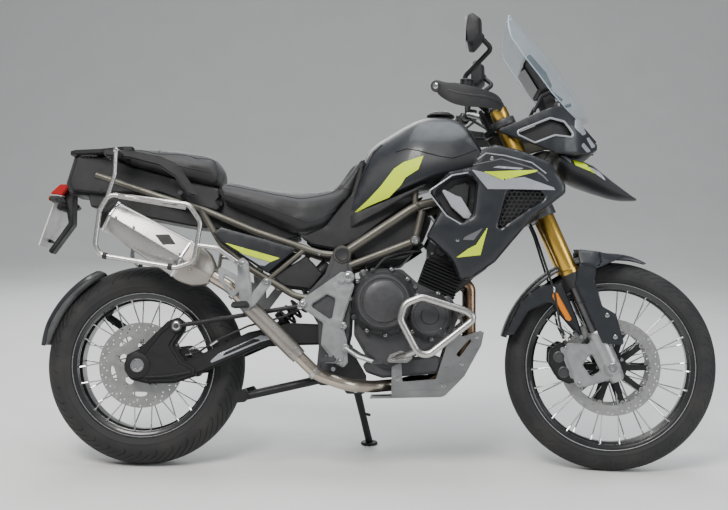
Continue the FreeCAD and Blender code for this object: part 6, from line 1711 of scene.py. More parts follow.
# %% [markdown]
# The frame is a trellis of round tubes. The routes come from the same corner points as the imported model's,
# with true bends, weld collars where tubes meet, and the caps and bolts that show.

# %% frame
def head_spot(height, across=0.0):
    """A spot on the steering head's axis."""
    return fork_spot(0, across, height)


main = Form("main_frame").use(frame_steel)
main.turned([(27, 588), (31, 590), (31, 606), (28.5, 612), (28.5, 842), (31, 848), (31, 864), (27, 865)],
            fork_spot(0, 0, 0), FORK_WAY, 36)
upper = [head_spot(623, -10), (1120, -96, 922), (905, -140, 866), (665, -142, 704)]
main.tube(upper, 15, 120, 20, both=True)
knee = [(690, -141, 668), (903, -140, 752), (926, -140, 850)]
main.tube(knee, 12, 30, 18, both=True)
main.tube([head_spot(690, -12), (1010, -118, 893)], 10.5, sides=16, both=True)
main.tube([(903, -140, 862), (903, -140, 919)], 10, sides=14, both=True)
main.use(bright_steel).turned([(8, -30), (8, 15)], (705, 170, 262), (0, 0.87, 0.492), 20)
main.use(frame_steel)
main.tube([(1135, -78, 914), (1135, -116, 914)], 7, sides=12, both=True)
main.slab([(1205, 1045), (1190, 1085), (1344, 1112), (1344, 1078)], -12, 12, bend=6, bevel=3)
for x, z in ((677, 692), (640, 372)):
    main.tube([(x, -140, z), (x, 140, z)], 13, sides=18)
PIVOT = [(640, 728), (690, 712), (700, 640), (690, 440), (676, 380), (650, 330), (634, 276), (590, 276),
         (586, 330), (592, 400), (590, 470), (556, 530), (552, 575), (610, 640)]
main.use(dark_cast).slab(PIVOT, -151, -138, bend=14, bevel=3, both=True)
main.slab(grown(PIVOT, -12), -153, -136, bend=12, bevel=2, both=True)
main.slab([(640, 400), (700, 372), (742, 300), (738, 236), (672, 236), (640, 290)], 148, 162, bend=12,
          bevel=3)
main.use(frame_steel)
for x, z, size in ((665, 703, 27), (903, 752, 15)):
    main.turned([(size, -12), (size + 2, -9), (size + 2, 13), (size, 16)], (x, -142, z), (0, -1, 0), 28,
                both=True)
main.use(black_plastic)
main.turned([(24, 15), (24, 18), (20, 20), (17, 18.5), (1, 18.5)], (665, -142, 703), (0, -1, 0), 28,
            both=True)
main.use(bright_steel)
main.turned([(12, 15), (12, 21), (10, 23), (6, 23), (5, 19), (1, 19)], (903, -142, 752), (0, -1, 0), 24,
            both=True)
main.bolts([(628, -151, 590), (668, -151, 460), (640, -151, 330)], 8, 6, both=True, sides=16)
main.use(frame_steel)
bend_front, bend_back = Vector(upper[1]), Vector(upper[2])
main.turned([(15, -5), (17.2, -2), (17.2, 2), (15, 5)], bend_front.lerp(bend_back, 0.99),
            bend_back - bend_front, 18, both=True)
main.set_down("main_frame")

# %% [markdown]
# The rear frame carries the seats and the tail: two rails on each side, a brace between them and two cross
# tubes.

# %% rear frame
rear_frame = Form("subframe").use(frame_steel)
rails = [(652, -126.7, 702), (589, -122, 708), (376, -110, 780), (200, -100, 851), (40, -96, 898),
         (-170, -92, 968)]
rear_frame.tube(rails, 11, 160, 18, both=True)
lower = [(604, -126.7, 566), (520, -120, 560), (348, -110, 663), (259, -105, 738), (190, -100, 850)]
rear_frame.tube(lower, 11, 100, 18, both=True)
rear_frame.tube([(420, -112, 622), (540, -118, 722)], 8.6, sides=14, both=True)
for x, z in ((330, 798), (30, 901)):
    rear_frame.tube([(x, -100, z), (x, 100, z)], 9, sides=14)
for x, y, z in ((589, -124, 706), (560, -122, 566)):
    rear_frame.use(bright_steel).bolts([(x, y - 10, z)], 7, 6, both=True, sides=16)
rear_frame.set_down("subframe")

# %% [markdown]
# The engine is a block whose look comes from its covers: round cases with raised rims, ribs and bolts on
# their edges, a finned cylinder block leaning forward, and hoses.

# %% engine
def case_cover(form, centre, side, steps, bolt_ring, bolt_count, ribs=()):
    """A round side cover built of steps (radius, height), with bolts on ears round its foot."""
    form.use(dark_cast).turned(steps, centre, (0, side, 0), 72)
    for k in range(bolt_count):
        a = 2 * math.pi * (k + 0.35) / bolt_count
        spot = Vector(centre) + Vector((bolt_ring * math.cos(a), side * 4, bolt_ring * math.sin(a)))
        form.use(dark_cast).turned([(10, -4), (10, 13), (8.5, 15)], spot, (0, side, 0), 16)
        head = [(5.6, 0), (5.6, 5), (4, 6), (3, 6), (2.6, 3), (1, 3)]
        form.use(bolt_steel if k % 3 else dark_cast)
        form.turned(head, spot + Vector((0, side * 14, 0)), (0, side, 0), 12)
    form.use(dark_cast)
    for angle, start, end in ribs:
        a = math.radians(angle)
        way = Vector((math.cos(a), 0, math.sin(a)))
        form.tube([Vector(centre) + way * start + Vector((0, side * 50, 0)),
                   Vector(centre) + way * end + Vector((0, side * 12, 0))], 3.4, sides=8)


CRANKCASE = [(705, 600), (748, 652), (860, 660), (915, 612), (1030, 560), (1048, 500), (1016, 432),
             (960, 398), (812, 330), (745, 372), (705, 440)]
engine = Form("engine_block").use(dark_cast)
engine.slab(CRANKCASE, -126, 126, bend=22, bevel=8)
engine.slab(grown(CRANKCASE, -9), -132, -124, bend=20, bevel=3, both=True)
engine.slab([(730, 350), (1000, 380), (985, 318), (800, 300), (745, 318)], -104, 104, bend=20, bevel=8)
steps = [(110, -6), (111, 4), (108, 12), (99, 20), (95, 28), (92, 44), (88, 56), (83, 62), (77, 62),
         (74, 59), (70, 59), (67, 63), (60, 66), (40, 68), (1, 68)]
case_cover(engine, (802, -132, 549), -1, steps, 108, 11,
           [(200, 78, 104), (250, 78, 104), (300, 78, 104), (160, 78, 104)])
front = [(78, -6), (79, 6), (75, 14), (70, 22), (66, 36), (61, 42), (55, 43), (52, 40), (30, 40), (27, 44),
         (1, 44)]
case_cover(engine, (952, -132, 506), -1, front, 76, 7, [(310, 55, 74), (350, 55, 74), (30, 55, 74)])
left = [(108, -6), (109, 6), (104, 16), (96, 26), (92, 38), (84, 43), (72, 44), (69, 41), (40, 41), (36, 44),
        (1, 44)]
case_cover(engine, (802, 132, 549), 1, left, 106, 11, [(200, 84, 104), (250, 84, 104), (300, 84, 104)])
left_front = [(78, -6), (79, 4), (74, 12), (66, 24), (58, 29), (48, 30), (1, 30)]
case_cover(engine, (952, 132, 506), 1, left_front, 76, 7)
engine.use(dark_cast)
for x, z in ((736, 640), (1010, 556), (998, 452)):
    engine.turned([(16, 0), (16, 10), (13, 12)], (x, -128, z), (0, -1, 0), 20, both=True)
engine.use(bolt_steel).bolts([(736, -140, 640), (1010, -140, 556), (998, -140, 452), (905, -134, 600)], 7, 5,
                               both=True, sides=16)
engine.use(grip_rubber)
engine.tube([(1040, -90, 600), (1085, -104, 640), (1120, -118, 700), (1150, -122, 742)], 15, 60, 16,
            both=True)
engine.tube([(745, -110, 664), (800, -120, 690), (870, -118, 700), (930, -108, 740)], 8, 50, 12, both=True)
engine.tube([(760, -134, 640), (800, -140, 690), (850, -132, 712), (920, -124, 720)], 5, 40, 10)
engine.use(black_plastic)
engine.slab([(740, 664), (860, 676), (930, 760), (900, 820), (770, 780), (720, 720)], -96, 96, bend=20,
            bevel=10)
engine.slab([(880, 740), (934, 766), (960, 830), (925, 846), (870, 800)], -112, 112, bend=14, bevel=8)
engine.set_down("engine_block")

# %% [markdown]
# The cylinder block leans forward. Its cooling ribs are thin plates between the crankcase and the head.

# %% cylinder block
block = Form("cylinder_block").use(black_cast)
CYLINDERS = [(915, 612.5), (1030, 560.5), (1062, 650), (946, 700)]
block.slab(CYLINDERS, -104, 104, bend=4, bevel=3)
base, tip = Vector((915, 0, 612.5)), Vector((946, 0, 700))
front_base, front_tip = Vector((1030, 0, 560.5)), Vector((1062, 0, 650))
RIBS = 9
for k in range(RIBS):
    share = (k + 0.5) / RIBS
    a, b = base.lerp(tip, share), front_base.lerp(front_tip, share)
    up_way = (tip - base).normalized() * 1.7
    fin = [(a.x - 4 - up_way.x, a.z - up_way.z), (b.x + 4 - up_way.x, b.z - up_way.z),
           (b.x + 4 + up_way.x, b.z + up_way.z), (a.x - 4 + up_way.x, a.z + up_way.z)]
    block.slab(fin, -117, 117, bend=0.8, bevel=0.8)
HEAD = [(946.5, 700.5), (1062.5, 650.5), (1070, 705), (1052, 742), (968, 776), (948, 752)]
block.slab(HEAD, -108, 108, bend=10, bevel=6)
block.slab(grown(HEAD, -16), -114, 114, bend=8, bevel=5)
block.use(dark_cast)
for x, z in ((990, 722), (1030, 700)):
    block.turned([(17, 0), (17, 5), (13, 9), (4, 9)], (x, -112, z), (0, -1, 0), 24, both=True)
block.use(bolt_steel).bolts([(960, -109, 712), (1052, -109, 672), (1056, -109, 722), (966, -109, 762)], 5, 4,
                              both=True)
block.set_down("cylinder_block")

# %% [markdown]
# Two radiators stand before the engine, each a core with thin plates between two end tanks.

# %% radiators
radiators = Form("radiators").use(black_cast)
RADIATOR = [(1112, 915), (1150, 935), (1212, 745), (1176, 728)]
top_a, top_b = Vector((1118, 0, 912)), Vector((1146, 0, 926))
low_a, low_b = Vector((1178, 0, 734)), Vector((1204, 0, 748))
radiators.slab([(1112, 915), (1150, 935), (1156, 917), (1118, 897)], -177, -116, bend=4, bevel=3, both=True)
radiators.slab([(1170, 746), (1206, 763), (1212, 745), (1176, 728)], -177, -116, bend=4, bevel=3, both=True)
radiators.slab(grown(RADIATOR, -5), -172, -121, bend=2, bevel=1, both=True)
CORE_PLATES = 26
for k in range(CORE_PLATES):
    share = (k + 1) / (CORE_PLATES + 1)
    a, b = top_a.lerp(low_a, share), top_b.lerp(low_b, share)
    radiators.rings([[(a.x - 3, y, a.z - 1.5), (b.x + 3, y, b.z - 1.5), (b.x + 3, y, b.z + 1),
                      (a.x - 3, y, a.z + 1)]
                     for y in (-175, -118)], both=True)
radiators.set_down("radiators")

# %% [markdown]
# Three header pipes run down before the engine into a collector, and one pipe with a heat shield rises to the
# silencer on the right.

# %% exhaust
pipes = Form("exhaust_pipes")
for across in (-74, 0, 74):
    pipes.use(bronze_steel)
    header = [(1052, across, 622), (1089, across, 609), (1090, across, 440), (1040, 0.8 * across, 345),
              (955, 0.5 * across, 290)]
    pipes.tube(header, 18, 60, 24)
    pipes.use(dark_cast)
    pipes.turned([(19, -4), (27, -3), (27, 5), (19, 7)], (1060, across, 619), (1, 0, -0.35), 24)
pipes.use(bronze_steel)
pipes.rings([[(x, w * math.cos(a), z + h * math.sin(a)) for a in turns_of(28)]
             for x, z, w, h in ((985, 288, 52, 20), (965, 287, 62, 25), (900, 284, 62, 24),
                                (870, 280, 44, 22), (852, 278, 26, 20))], levels=0)
pipes.use(pipe_steel)
link = [(870, -30, 280), (770, -92, 272), (690, -178, 278), (590, -178, 312), (300, -178, 591.5),
        (243.2, -178, 624.9)]
pipes.tube(link, 20, 90, 28)
way = (Vector(link[4]) - Vector(link[3])).normalized()
for share, size in ((0.02, 24), (0.93, 25)):
    pipes.use(bare_steel).turned([(20.5, -8), (size, -7), (size, 7), (20.5, 8)],
                                 Vector(link[3]).lerp(Vector(link[4]), share), way, 28)
pipes.use(heat_shield)
start, end = Vector(link[3]).lerp(Vector(link[4]), 0.2), Vector(link[3]).lerp(Vector(link[4]), 0.82)
up_way = way.cross(Vector((0, 1, 0))).normalized()
rows = []
for k in range(13):
    spot = start.lerp(end, k / 12)
    size = 25.5 if 0 < k < 12 else 23.5
    rows.append([spot + (Vector((0, -1, 0)) * math.cos(a) + up_way * math.sin(a)) * size
                 for a in [math.radians(-95 + 190 * j / 16) for j in range(17)]])
pipes.sheet(rows, wall=1.6)
pipes.use(bright_steel)
for share in (0.1, 0.5, 0.9):
    for lift in (-11, 11):
        pipes.bolts([start.lerp(end, share) + Vector((0, -23.4, 0)) + up_way * lift], 4, 3)
pipes.set_down("exhaust_pipes")

# %% [markdown]
# The silencer is six-sided, with a dark end cap and riveted straps. `can_ring` gives one section of it, so
# that the can, its ends and its straps are short lists of places, heights and shares of its width.

# %% silencer
silencer = Form("silencer")
TAIL = Vector((-112, -178, 831))
OUTWARD = Vector((312, 0, -181)).normalized()
OVER = OUTWARD.cross(Vector((0, 1, 0))).normalized()
if OVER.z < 0:
    OVER = -OVER


def can_ring(place, height, share):
    """One six-sided section of the silencer, with its corners eased."""
    half = 48 * share
    corners = [(-0.62, 1), (0.62, 1), (1, 0), (0.62, -1), (-0.62, -1), (-1, 0)]
    flat = eased([(half * a, height / 2 * b) for a, b in corners], 12)
    return [TAIL + OUTWARD * place + Vector((0, a, 0)) + OVER * b for a, b in flat]


silencer.use(can_steel)
silencer.rings([can_ring(*row) for row in ((26, 104, 1.0), (60, 106, 1.01), (110, 112, 1.02),
                                           (220, 124, 1.02), (306, 132, 1.0), (316, 132, 0.99))])
silencer.use(heat_shield)
silencer.rings([can_ring(*row) for row in ((312, 136, 1.02), (330, 136, 1.02), (350, 130, 1.0),
                                           (372, 120, 0.95), (400, 84, 0.72), (412, 60, 0.55))])
silencer.use(black_cast)
silencer.rings([can_ring(*row) for row in ((0, 70, 0.66), (0, 86, 0.82), (4, 94, 0.9), (16, 101, 0.97),
                                           (28, 107, 1.03), (34, 107, 1.03))])
silencer.turned([(18, -8), (21, -7), (21, 6), (17, 6), (17, -6), (1, -6)], TAIL + Vector((0, 0, 6)), OUTWARD,
                28)
mark = [TAIL + OUTWARD * p + Vector((0, 0.3 * h - 50.6, 0)) + OVER * h for p, h in
        ((188, 22), (226, 46), (262, 30), (228, 8))]
silencer.rings([mark, [spot + Vector((0, 6, 0)) for spot in mark]])
silencer.use(bright_steel)
for place, height, share in ((30, 108, 1.04), (300, 134, 1.03)):
    silencer.rings([can_ring(place - 5, height, share), can_ring(place - 4, height + 1.5, share + 0.015),
                    can_ring(place + 4, height + 1.5, share + 0.015), can_ring(place + 5, height, share)])
silencer.bolts([TAIL + OUTWARD * p + Vector((0, -50, 0)) + OVER * h for p, h in
                ((52, 6), (118, 8), (292, 10), (346, 22), (346, -20))], 4, 3)
silencer.set_down("silencer")

# %% [markdown]
# Behind the engine come the footrest plates, with the rider's pegs, the brake pedal and the gear lever.

# %% footrest plates and pedals
PLATE = [(690, 639), (664, 646), (527, 548), (530, 530), (606, 478), (600, 407), (650, 345), (674, 334),
         (688, 350), (684, 423), (668, 480), (706, 600)]
PLATE_HOLE = [(562, 534), (618, 572), (646, 558), (634, 486)]
plates = Form("footrest_plates").use(silver_cast)
plates.slab(PLATE, -165, -151, bend=9, bevel=3.5, both=True, holes=[PLATE_HOLE])
plates.slab([(690, 632), (668, 640), (640, 622), (668, 600)], -171, -160, bend=9, bevel=4, both=True)
plates.slab([(612, 470), (604, 410), (650, 352), (676, 345), (680, 420), (660, 470)], -170, -160, bend=9,
            bevel=4, both=True)
for x, z, size in ((688, 628, 19), (540, 540, 13), (672, 470, 12), (662, 352, 11)):
    plates.use(silver_cast).turned([(size, 0), (size, 12), (size - 3, 15), (size - 5, 15)], (x, -158, z),
                                   (0, -1, 0), 28, both=True)
    plates.use(bright_steel).turned([(size * 0.62, 13), (size * 0.62, 18), (size * 0.5, 19),
                                     (size * 0.34, 19), (size * 0.3, 16), (1, 16)], (x, -158, z), (0, -1, 0),
                                    20, both=True)
plates.set_down("footrest_plates")

pedals = Form("foot_controls")
face = -165.4
pedals.use(dark_cast).slab([(604, 352), (604, 366), (620, 372), (652, 366), (652, 354)], face - 96,
                           face - 24, bend=4, bevel=2, both=True)
for k in range(7):
    for x in (608, 626, 644):
        pedals.slab([(x - 4, 365), (x, 375), (x + 4, 367)], face - 94 + k * 10.4, face - 90 + k * 10.4,
                    bend=0, bevel=0, both=True)
pedals.use(silver_cast).slab([(614, 350), (612, 372), (648, 380), (662, 368), (650, 348)], face - 24, face,
                             bend=5, bevel=3, both=True)
pedals.turned([(11, 0), (13, 2), (13, 16), (11, 18), (5, 18)], (680, face, 398), (0, -1, 0), 24, both=True)
pedals.tube([(680, face - 12, 398), (720, face - 40, 372), (782, face - 52, 352)], 7.5, 30, 14, both=True,
            flat=0.8)
pedals.use(dark_cast)
pedals.slab([(768, 344), (768, 360), (800, 358), (800, 346)], face - 78, face - 36, bend=5, bevel=3,
            both=True)
for k in range(4):
    pedals.slab([(772, 358), (772, 363), (796, 362), (796, 357)], face - 74 + k * 10, face - 70 + k * 10,
                bend=1, bevel=0, both=True)
pedals.use(bright_steel).tube([(668, face + 4, 404), (650, face + 6, 440), (640, face + 6, 470)], 3.4,
                              sides=10, both=True)
pedals.set_down("foot_controls")

# %% [markdown]
# The passenger's footrests hang from the rear frame on cast arms, with an open loop behind each.

# %% passenger footrests
rear_pegs = Form("passenger_footrests").use(silver_cast)
rear_pegs.slab([(328, 672), (346, 686), (364, 672), (376, 600), (382, 530), (366, 512), (344, 514),
                (338, 560)],
               -214, -203, bend=8, bevel=3, both=True)
rear_pegs.slab([(372, 520), (388, 530), (440, 600), (436, 616), (416, 618), (364, 552)], -212, -204, bend=7,
               bevel=2.5, both=True)
rear_pegs.slab([(268, 652), (284, 652), (338, 622), (344, 580), (318, 554), (300, 572), (270, 610)], -212,
               -205, bend=8, bevel=2.5, both=True, holes=[[(285, 632), (320, 612), (326, 584), (314, 575),
                                                           (289, 606)]])
for x, z in ((346, 664), (424, 607)):
    rear_pegs.turned([(9, 0), (9, 84), (13, 86), (13, 96)], (x, -116, z), (0, -1, 0), 20, both=True)
    rear_pegs.use(bright_steel).bolts([(x, -213, z)], 8, 5, both=True, sides=16)
    rear_pegs.use(silver_cast)
rear_pegs.use(grip_rubber)
rear_pegs.slab([(322, 520), (322, 536), (372, 540), (372, 522)], -287, -216, bend=6, bevel=4, both=True)
for k in range(6):
    rear_pegs.slab([(326, 535), (326, 540), (368, 543), (368, 538)], -282 + k * 11, -277 + k * 11, bend=1,
                   bevel=0, both=True)
rear_pegs.set_down("passenger_footrests")

# %% [markdown]
# The swing arm is two arms on a cross tube. The right one ends in the hub carrier, and the left one in the
# round case of the final drive.

# %% swing arm
ARM = [(120, 296), (160, 352), (360, 446), (500, 478), (628, 474), (664, 440), (628, 408), (500, 404),
       (400, 398), (196, 306)]
CARRIER = [(-46, 318), (-40, 366), (4, 388), (92, 478), (126, 492), (152, 474), (150, 448), (118, 400),
           (150, 352), (196, 330), (190, 300), (120, 276), (30, 274), (-24, 286)]
swing = Form("swingarm").use(black_cast)
swing.slab(ARM, -133, -103, bend=12, bevel=7, both=True)
swing.turned([(28, -104), (28, 104)], (560, 0, 441), (0, 1, 0), 32)
swing.slab([(410, 400), (400, 432), (470, 462), (500, 440), (480, 408)], -103, 103, bend=10, bevel=5)
swing.turned([(30, 0), (30, 12), (24, 15), (12, 15), (11, 12), (1, 12)], (628, -122, 441), (0, -1, 0), 32,
             both=True)
swing.use(silver_paint)
swing.panel([(222, 336), (400, 414), (462, 432), (400, 436), (262, 374)],
            lambda x, z: -133.8, wall=2, rim=0.8, pitch=16, bend=4)
swing.use(black_cast)
swing.panel([(272, 364), (376, 410), (412, 422), (376, 424), (286, 380)], lambda x, z: -134.6, wall=2,
            rim=0.8, pitch=14, bend=4)
swing.slab(CARRIER, -141, -103, bend=12, bevel=7)
swing.slab(grown(CARRIER, -17), -146, -138, bend=10, bevel=5)
swing.turned([(44, 0), (44, 40), (40, 46), (30, 48), (20, 48), (18, 42), (1, 42)], (0, -102, 333.5),
             (0, -1, 0), 48)
swing.tube([(20, -146, 372), (72, -147, 440), (108, -146, 470)], 4, sides=10)
swing.tube([(30, -146, 296), (100, -147, 300), (176, -144, 314)], 4, sides=10)
swing.use(dark_cast)
swing.turned([(78, 0), (78, 26), (70, 34), (62, 36), (62, 50), (56, 52), (30, 52), (27, 49), (1, 49)],
             (0, 102, 333.5), (0, 1, 0), 60)
swing.slab([(-20, 300), (-20, 380), (130, 400), (200, 352), (160, 290)], 102, 141, bend=16, bevel=7)
swing.use(bright_steel).bolts([(70 * math.cos(a), 137, 333.5 + 70 * math.sin(a))
                               for a in [math.pi / 3 * k + 0.4 for k in range(6)]], 5, 4, (0, 1, 0))
swing.use(grip_rubber)
swing.tube([(150, -100, 366), (196, -112, 380), (260, -140, 420), (360, -140, 466), (470, -136, 496),
            (560, -120, 540)],
           3.6, 60, 10)
swing.use(bright_steel)
for a, b in (((150, -100, 366), (172, -106, 372)), ((236, -131, 402), (260, -140, 418))):
    swing.tube([a, b], 5, sides=12)
swing.set_down("swingarm")

# %% [markdown]
# The torque rod keeps the hub carrier from turning. The rear caliper has a half on each side of its disc.

# %% torque rod, rear caliper and axle
rod = Form("torque_rod").use(black_cast)
rod.tube([(126, -151.2, 463), (530, -144, 533)], 7.5, sides=18)
rod.use(dark_cast).turned([(14, -7), (18, -5), (18, 5), (14, 7)], (126, -151, 463), (0, 1, 0), 28)
rod.turned([(11, -7), (14, -5), (14, 5), (11, 7)], (530, -144, 533), (0, 1, 0), 24)
rod.use(bright_steel)
rod.turned([(13, 0), (13, 3), (11, 4), (8, 4), (7, 1), (1, 1)], (126, -156, 463), (0, -1, 0), 24)
rod.turned([(10, 0), (10, 3), (8, 4), (1, 4)], (530, -149, 533), (0, -1, 0), 20)
rod.set_down("torque_rod")

rear_brake = Form("rear_caliper").use(black_cast)
CLAMP = [(96, 300), (96, 378), (150, 392), (176, 350), (166, 296)]
rear_brake.slab(CLAMP, -101.5, -91.5, bend=10, bevel=4)
rear_brake.slab(CLAMP, -84, -67, bend=10, bevel=4)
rear_brake.slab([(140, 304), (140, 384), (150, 390), (174, 350), (164, 300)], -93, -80, bend=6, bevel=2)
rear_brake.set_down("rear_caliper")

rear_axle = Form("rear_axle").use(bright_steel)
rear_axle.turned([(11, -158), (11, 162)], REAR_AXLE, (0, 1, 0), 24)
rear_axle.turned([(19, 0), (19, 7), (17, 9), (12, 9), (11, 4), (1, 4)], REAR_AXLE + Vector((0, -150.2, 0)),
                 (0, -1, 0), 6)
rear_axle.turned([(19, 0), (19, 7), (17, 9), (10, 9), (9, 5), (1, 5)], REAR_AXLE + Vector((0, 154.5, 0)),
                 (0, 1, 0), 6)
rear_axle.turned([(22, 0), (22, 2), (18, 2.4)], REAR_AXLE + Vector((0, -149.6, 0)), (0, -1, 0), 32)
rear_axle.set_down("rear_axle")

# %% [markdown]
# A short fender follows the rear tyre behind its top, and a strut on the left holds it.

# %% rear hugger
hugger = Form("rear_hugger").use(dark_paint)
rows = []
for k in range(21):
    degrees = 118 + 52 * k / 20
    a = math.radians(degrees)
    wide = along([(118, 66), (124, 80), (158, 82), (170, 60)], degrees)
    row = []
    for across, drop in ((-1, 16), (-0.98, 7), (-0.88, 1), (-0.6, -1), (0, -3), (0.6, -1), (0.88, 1),
                         (0.98, 7), (1, 16)):
        r = 355.5 - drop
        row.append((REAR_AXLE.x + r * math.cos(a), wide * across, REAR_AXLE.z + r * math.sin(a)))
    rows.append(row)
hugger.sheet(rows, wall=4)
hugger.use(black_plastic).slab([(-40, 400), (-20, 420), (-236, 560), (-252, 540)], 79.5, 86, bend=6, bevel=2)
hugger.set_down("rear_hugger")

# %% [markdown]
# The shock runs from the swing arm's cross tube to the frame: a rod, a body and a coil round both.

# %% shock
shock = Form("shock_absorber").use(dark_chrome)
low_eye, high_eye = Vector((439.6, 0, 466.8)), Vector((677, 0, 692))
run = (high_eye - low_eye).normalized()
length = (high_eye - low_eye).length
shock.turned([(11, 0), (11, length)], low_eye, run, 20)
shock.use(black_cast).turned([(22, length * 0.56), (27, length * 0.58), (27, length * 0.94),
                              (16, length * 0.98)],
                             low_eye, run, 28)
shock.turned([(34, length * 0.06), (36, length * 0.08), (36, length * 0.11), (20, length * 0.13)], low_eye,
             run, 28)
shock.use(dark_cast)
side = run.orthogonal().normalized()
other = run.cross(side)
turns = 6.2
coil = [low_eye + run * length * (0.12 + 0.5 * k / 150)
        + (side * math.cos(2 * math.pi * turns * k / 150)
           + other * math.sin(2 * math.pi * turns * k / 150)) * 30
        for k in range(151)]
shock.tube(coil, 5, sides=10)
shock.use(black_cast)
shock.turned([(24, -48), (27, -44), (27, 44), (24, 48)], (585, -70, 640), (0.68, 0, 0.73), 32)
shock.turned([(15, -30), (15, 30)], low_eye, (0, 1, 0), 20)
shock.set_down("shock_absorber")

# %% [markdown]
# The tail is a tray under the seats, with the lamp, the indicators and the long hanger that holds a blank
# plate.

# %% tail
tail = Form("tail_unit").use(black_plastic)
TRAY = [(-250, 1035), (-276, 941), (-262, 905), (-200, 900), (-190, 862), (150, 800), (300, 782), (420, 744),
        (529, 768), (400, 824), (265, 882), (256, 930), (241, 930), (90, 962), (-46, 1000), (-142, 1035)]
tail.slab(TRAY, -76, 76, bend=7, bevel=5)
tail.panel([(-238, 1030), (-262, 945), (-250, 915), (-150, 905), (40, 912), (150, 870), (240, 848),
            (262, 872), (244, 924), (90, 956), (-46, 994), (-132, 1030)],
           lambda x, z: -92 - 0.03 * (x + 250) * (x < 250), wall=18, rim=6, pitch=16, bend=10)
tail.slab([(-262, 906), (-276, 930), (-296, 902), (-280, 812), (-346, 716), (-334, 704), (-262, 806)], -24,
          24, bend=6, bevel=4)
tail.slab([(-296, 905), (-302, 895), (-312, 860), (-300, 850), (-284, 880)], -52, 52, bend=5, bevel=3)
for z in (868, 745):
    tail.slab([(-290 - (882 - z) * 0.32, z), (-300 - (882 - z) * 0.32, z + 12),
               (-308 - (882 - z) * 0.32, z)], -20, 20,
              bend=2, bevel=1)
for side in (-1, 1):
    tail.tube([(-288, side * 40, 872), (-296, side * 96, 880)], 7, sides=12)
    tail.rings([[(-296 + a * size, side * (96 + out), 882 + b * size) for a, b in
                 ((-1.6, 0), (-1, 0.8), (0.8, 0.8), (1.4, 0), (0.8, -0.8), (-1, -0.8))]
                for out, size in ((0, 8), (3, 13), (20, 13), (46, 10), (50, 6))])
tail.use(amber_lens)
for side in (-1, 1):
    tail.sheet([[(-313 - 2 * k, side * y, 882 + h) for h in (-7, 7)]
                for k, y in ((0, 101), (1, 116), (0, 138))], wall=2)
tail.set_down("tail_unit")

lamp = Form("tail_lamp").use(red_lens)
lamp.slab([(-339, 908), (-303, 941), (-276.4, 941), (-276.4, 930.4), (-296.4, 902.2), (-303, 904)], -54, 54,
          bend=4, bevel=3)
lamp.set_down("tail_lamp")
plate = Form("number_plate").use(plate_paint)
plate.slab([(-309.5, 882), (-305.5, 881), (-355, 728), (-359, 729)], -90, 90, bend=0.3, bevel=0.8)
plate.use(black_plastic)
plate.tube([(-308.4, -88, 879), (-308.4, 88, 879)], 2.5, sides=8)
plate.set_down("number_plate")

# %% [markdown]
# The carrier's plate is cut as one outline with three slots, raised to its thickness and rounded along its
# edges. The grab rails and their bolts follow.

# %% rear carrier
carrier = Form("rear_carrier").use(black_plastic)
deck = bmesh.new()
slots = [eased([(-240, y - 20), (-176, y - 20), (-176, y + 20), (-240, y + 20)], 8) for y in (-64, 0, 64)]
plan = eased([(-264, -78), (-240, -104), (-150, -128), (-60, -176), (-30, -176), (-30, -138), (-84, -138),
              (-140, -100), (-140, 100), (-84, 138), (-30, 138), (-30, 176), (-60, 176), (-150, 128),
              (-240, 104), (-264, 78)], 7)
spots, faces = flat_faces([plan, *slots], [])
floor_row = [deck.verts.new((x, y, 1037)) for x, y in spots]
kept = [deck.faces.new([floor_row[i] for i in face]) for face in faces]
lifted = bmesh.ops.extrude_face_region(deck, geom=kept)["geom"]
bmesh.ops.translate(deck, vec=(0, 0, 14), verts=[v for v in lifted if isinstance(v, bmesh.types.BMVert)])
bmesh.ops.recalc_face_normals(deck, faces=deck.faces)
bmesh.ops.dissolve_limit(deck, angle_limit=0.001, verts=deck.verts, edges=deck.edges)
rims = [e for e in deck.edges if abs(e.verts[0].co.z - e.verts[1].co.z) < 1e-4 and len(e.link_faces) == 2
        and e.calc_face_angle(0) > 1.2]
bmesh.ops.bevel(deck, geom=rims, offset=3, segments=2, affect="EDGES", clamp_overlap=True)
carrier.add(deck)
RAIL = [(-123, 1040), (-32, 1037), (64, 1018), (117, 996), (160, 939), (200, 879), (158, 893), (112, 950),
        (58, 986), (-40, 1010), (-123, 1018)]
carrier.slab(RAIL, -184, -166, bend=8, bevel=6, both=True)
carrier.use(bright_steel).bolts([(-100, -60, 1048), (-150, -96, 1050), (-252, -40, 1050)], 6, 3, (0, 0, 1),
                                both=True)
carrier.use(black_plastic)
for x, y, z in ((-60, 140, 1024), (130, 150, 900)):
    carrier.tube([(x, -y + 50, z - 10), (x, -168, z)], 8, sides=12, both=True)
carrier.set_down("rear_carrier")

# %% [markdown]
# Bare steel tube makes the crash bars and the case racks, which stand out on both sides.

# %% crash bars and racks
crash = Form("crash_bars").use(bare_steel)
LOOP = [(1094, 498), (1064, 520), (924, 563), (868, 540), (856, 490), (925, 362)]
crash.loop([(x, -236, z) for x, z in LOOP], 12, 36, 20, both=True)
crash.tube([(908, -236, 392), (880, -216, 380), (840, -132, 368)], 10.2, 30, 18, both=True)
crash.tube([(1070, -236, 516), (1050, -206, 513), (1035, -132, 512)], 9.6, 30, 18, both=True)
crash.slab([(823, 378), (812, 352), (880, 352), (904, 372), (860, 392)], -140, -132.5, bend=8, bevel=2,
           both=True)
crash.use(bright_steel).bolts([(836, -140, 366), (872, -140, 368), (1035, -140, 512)], 7.5, 5, both=True,
                              sides=16)
crash.set_down("crash_bars")

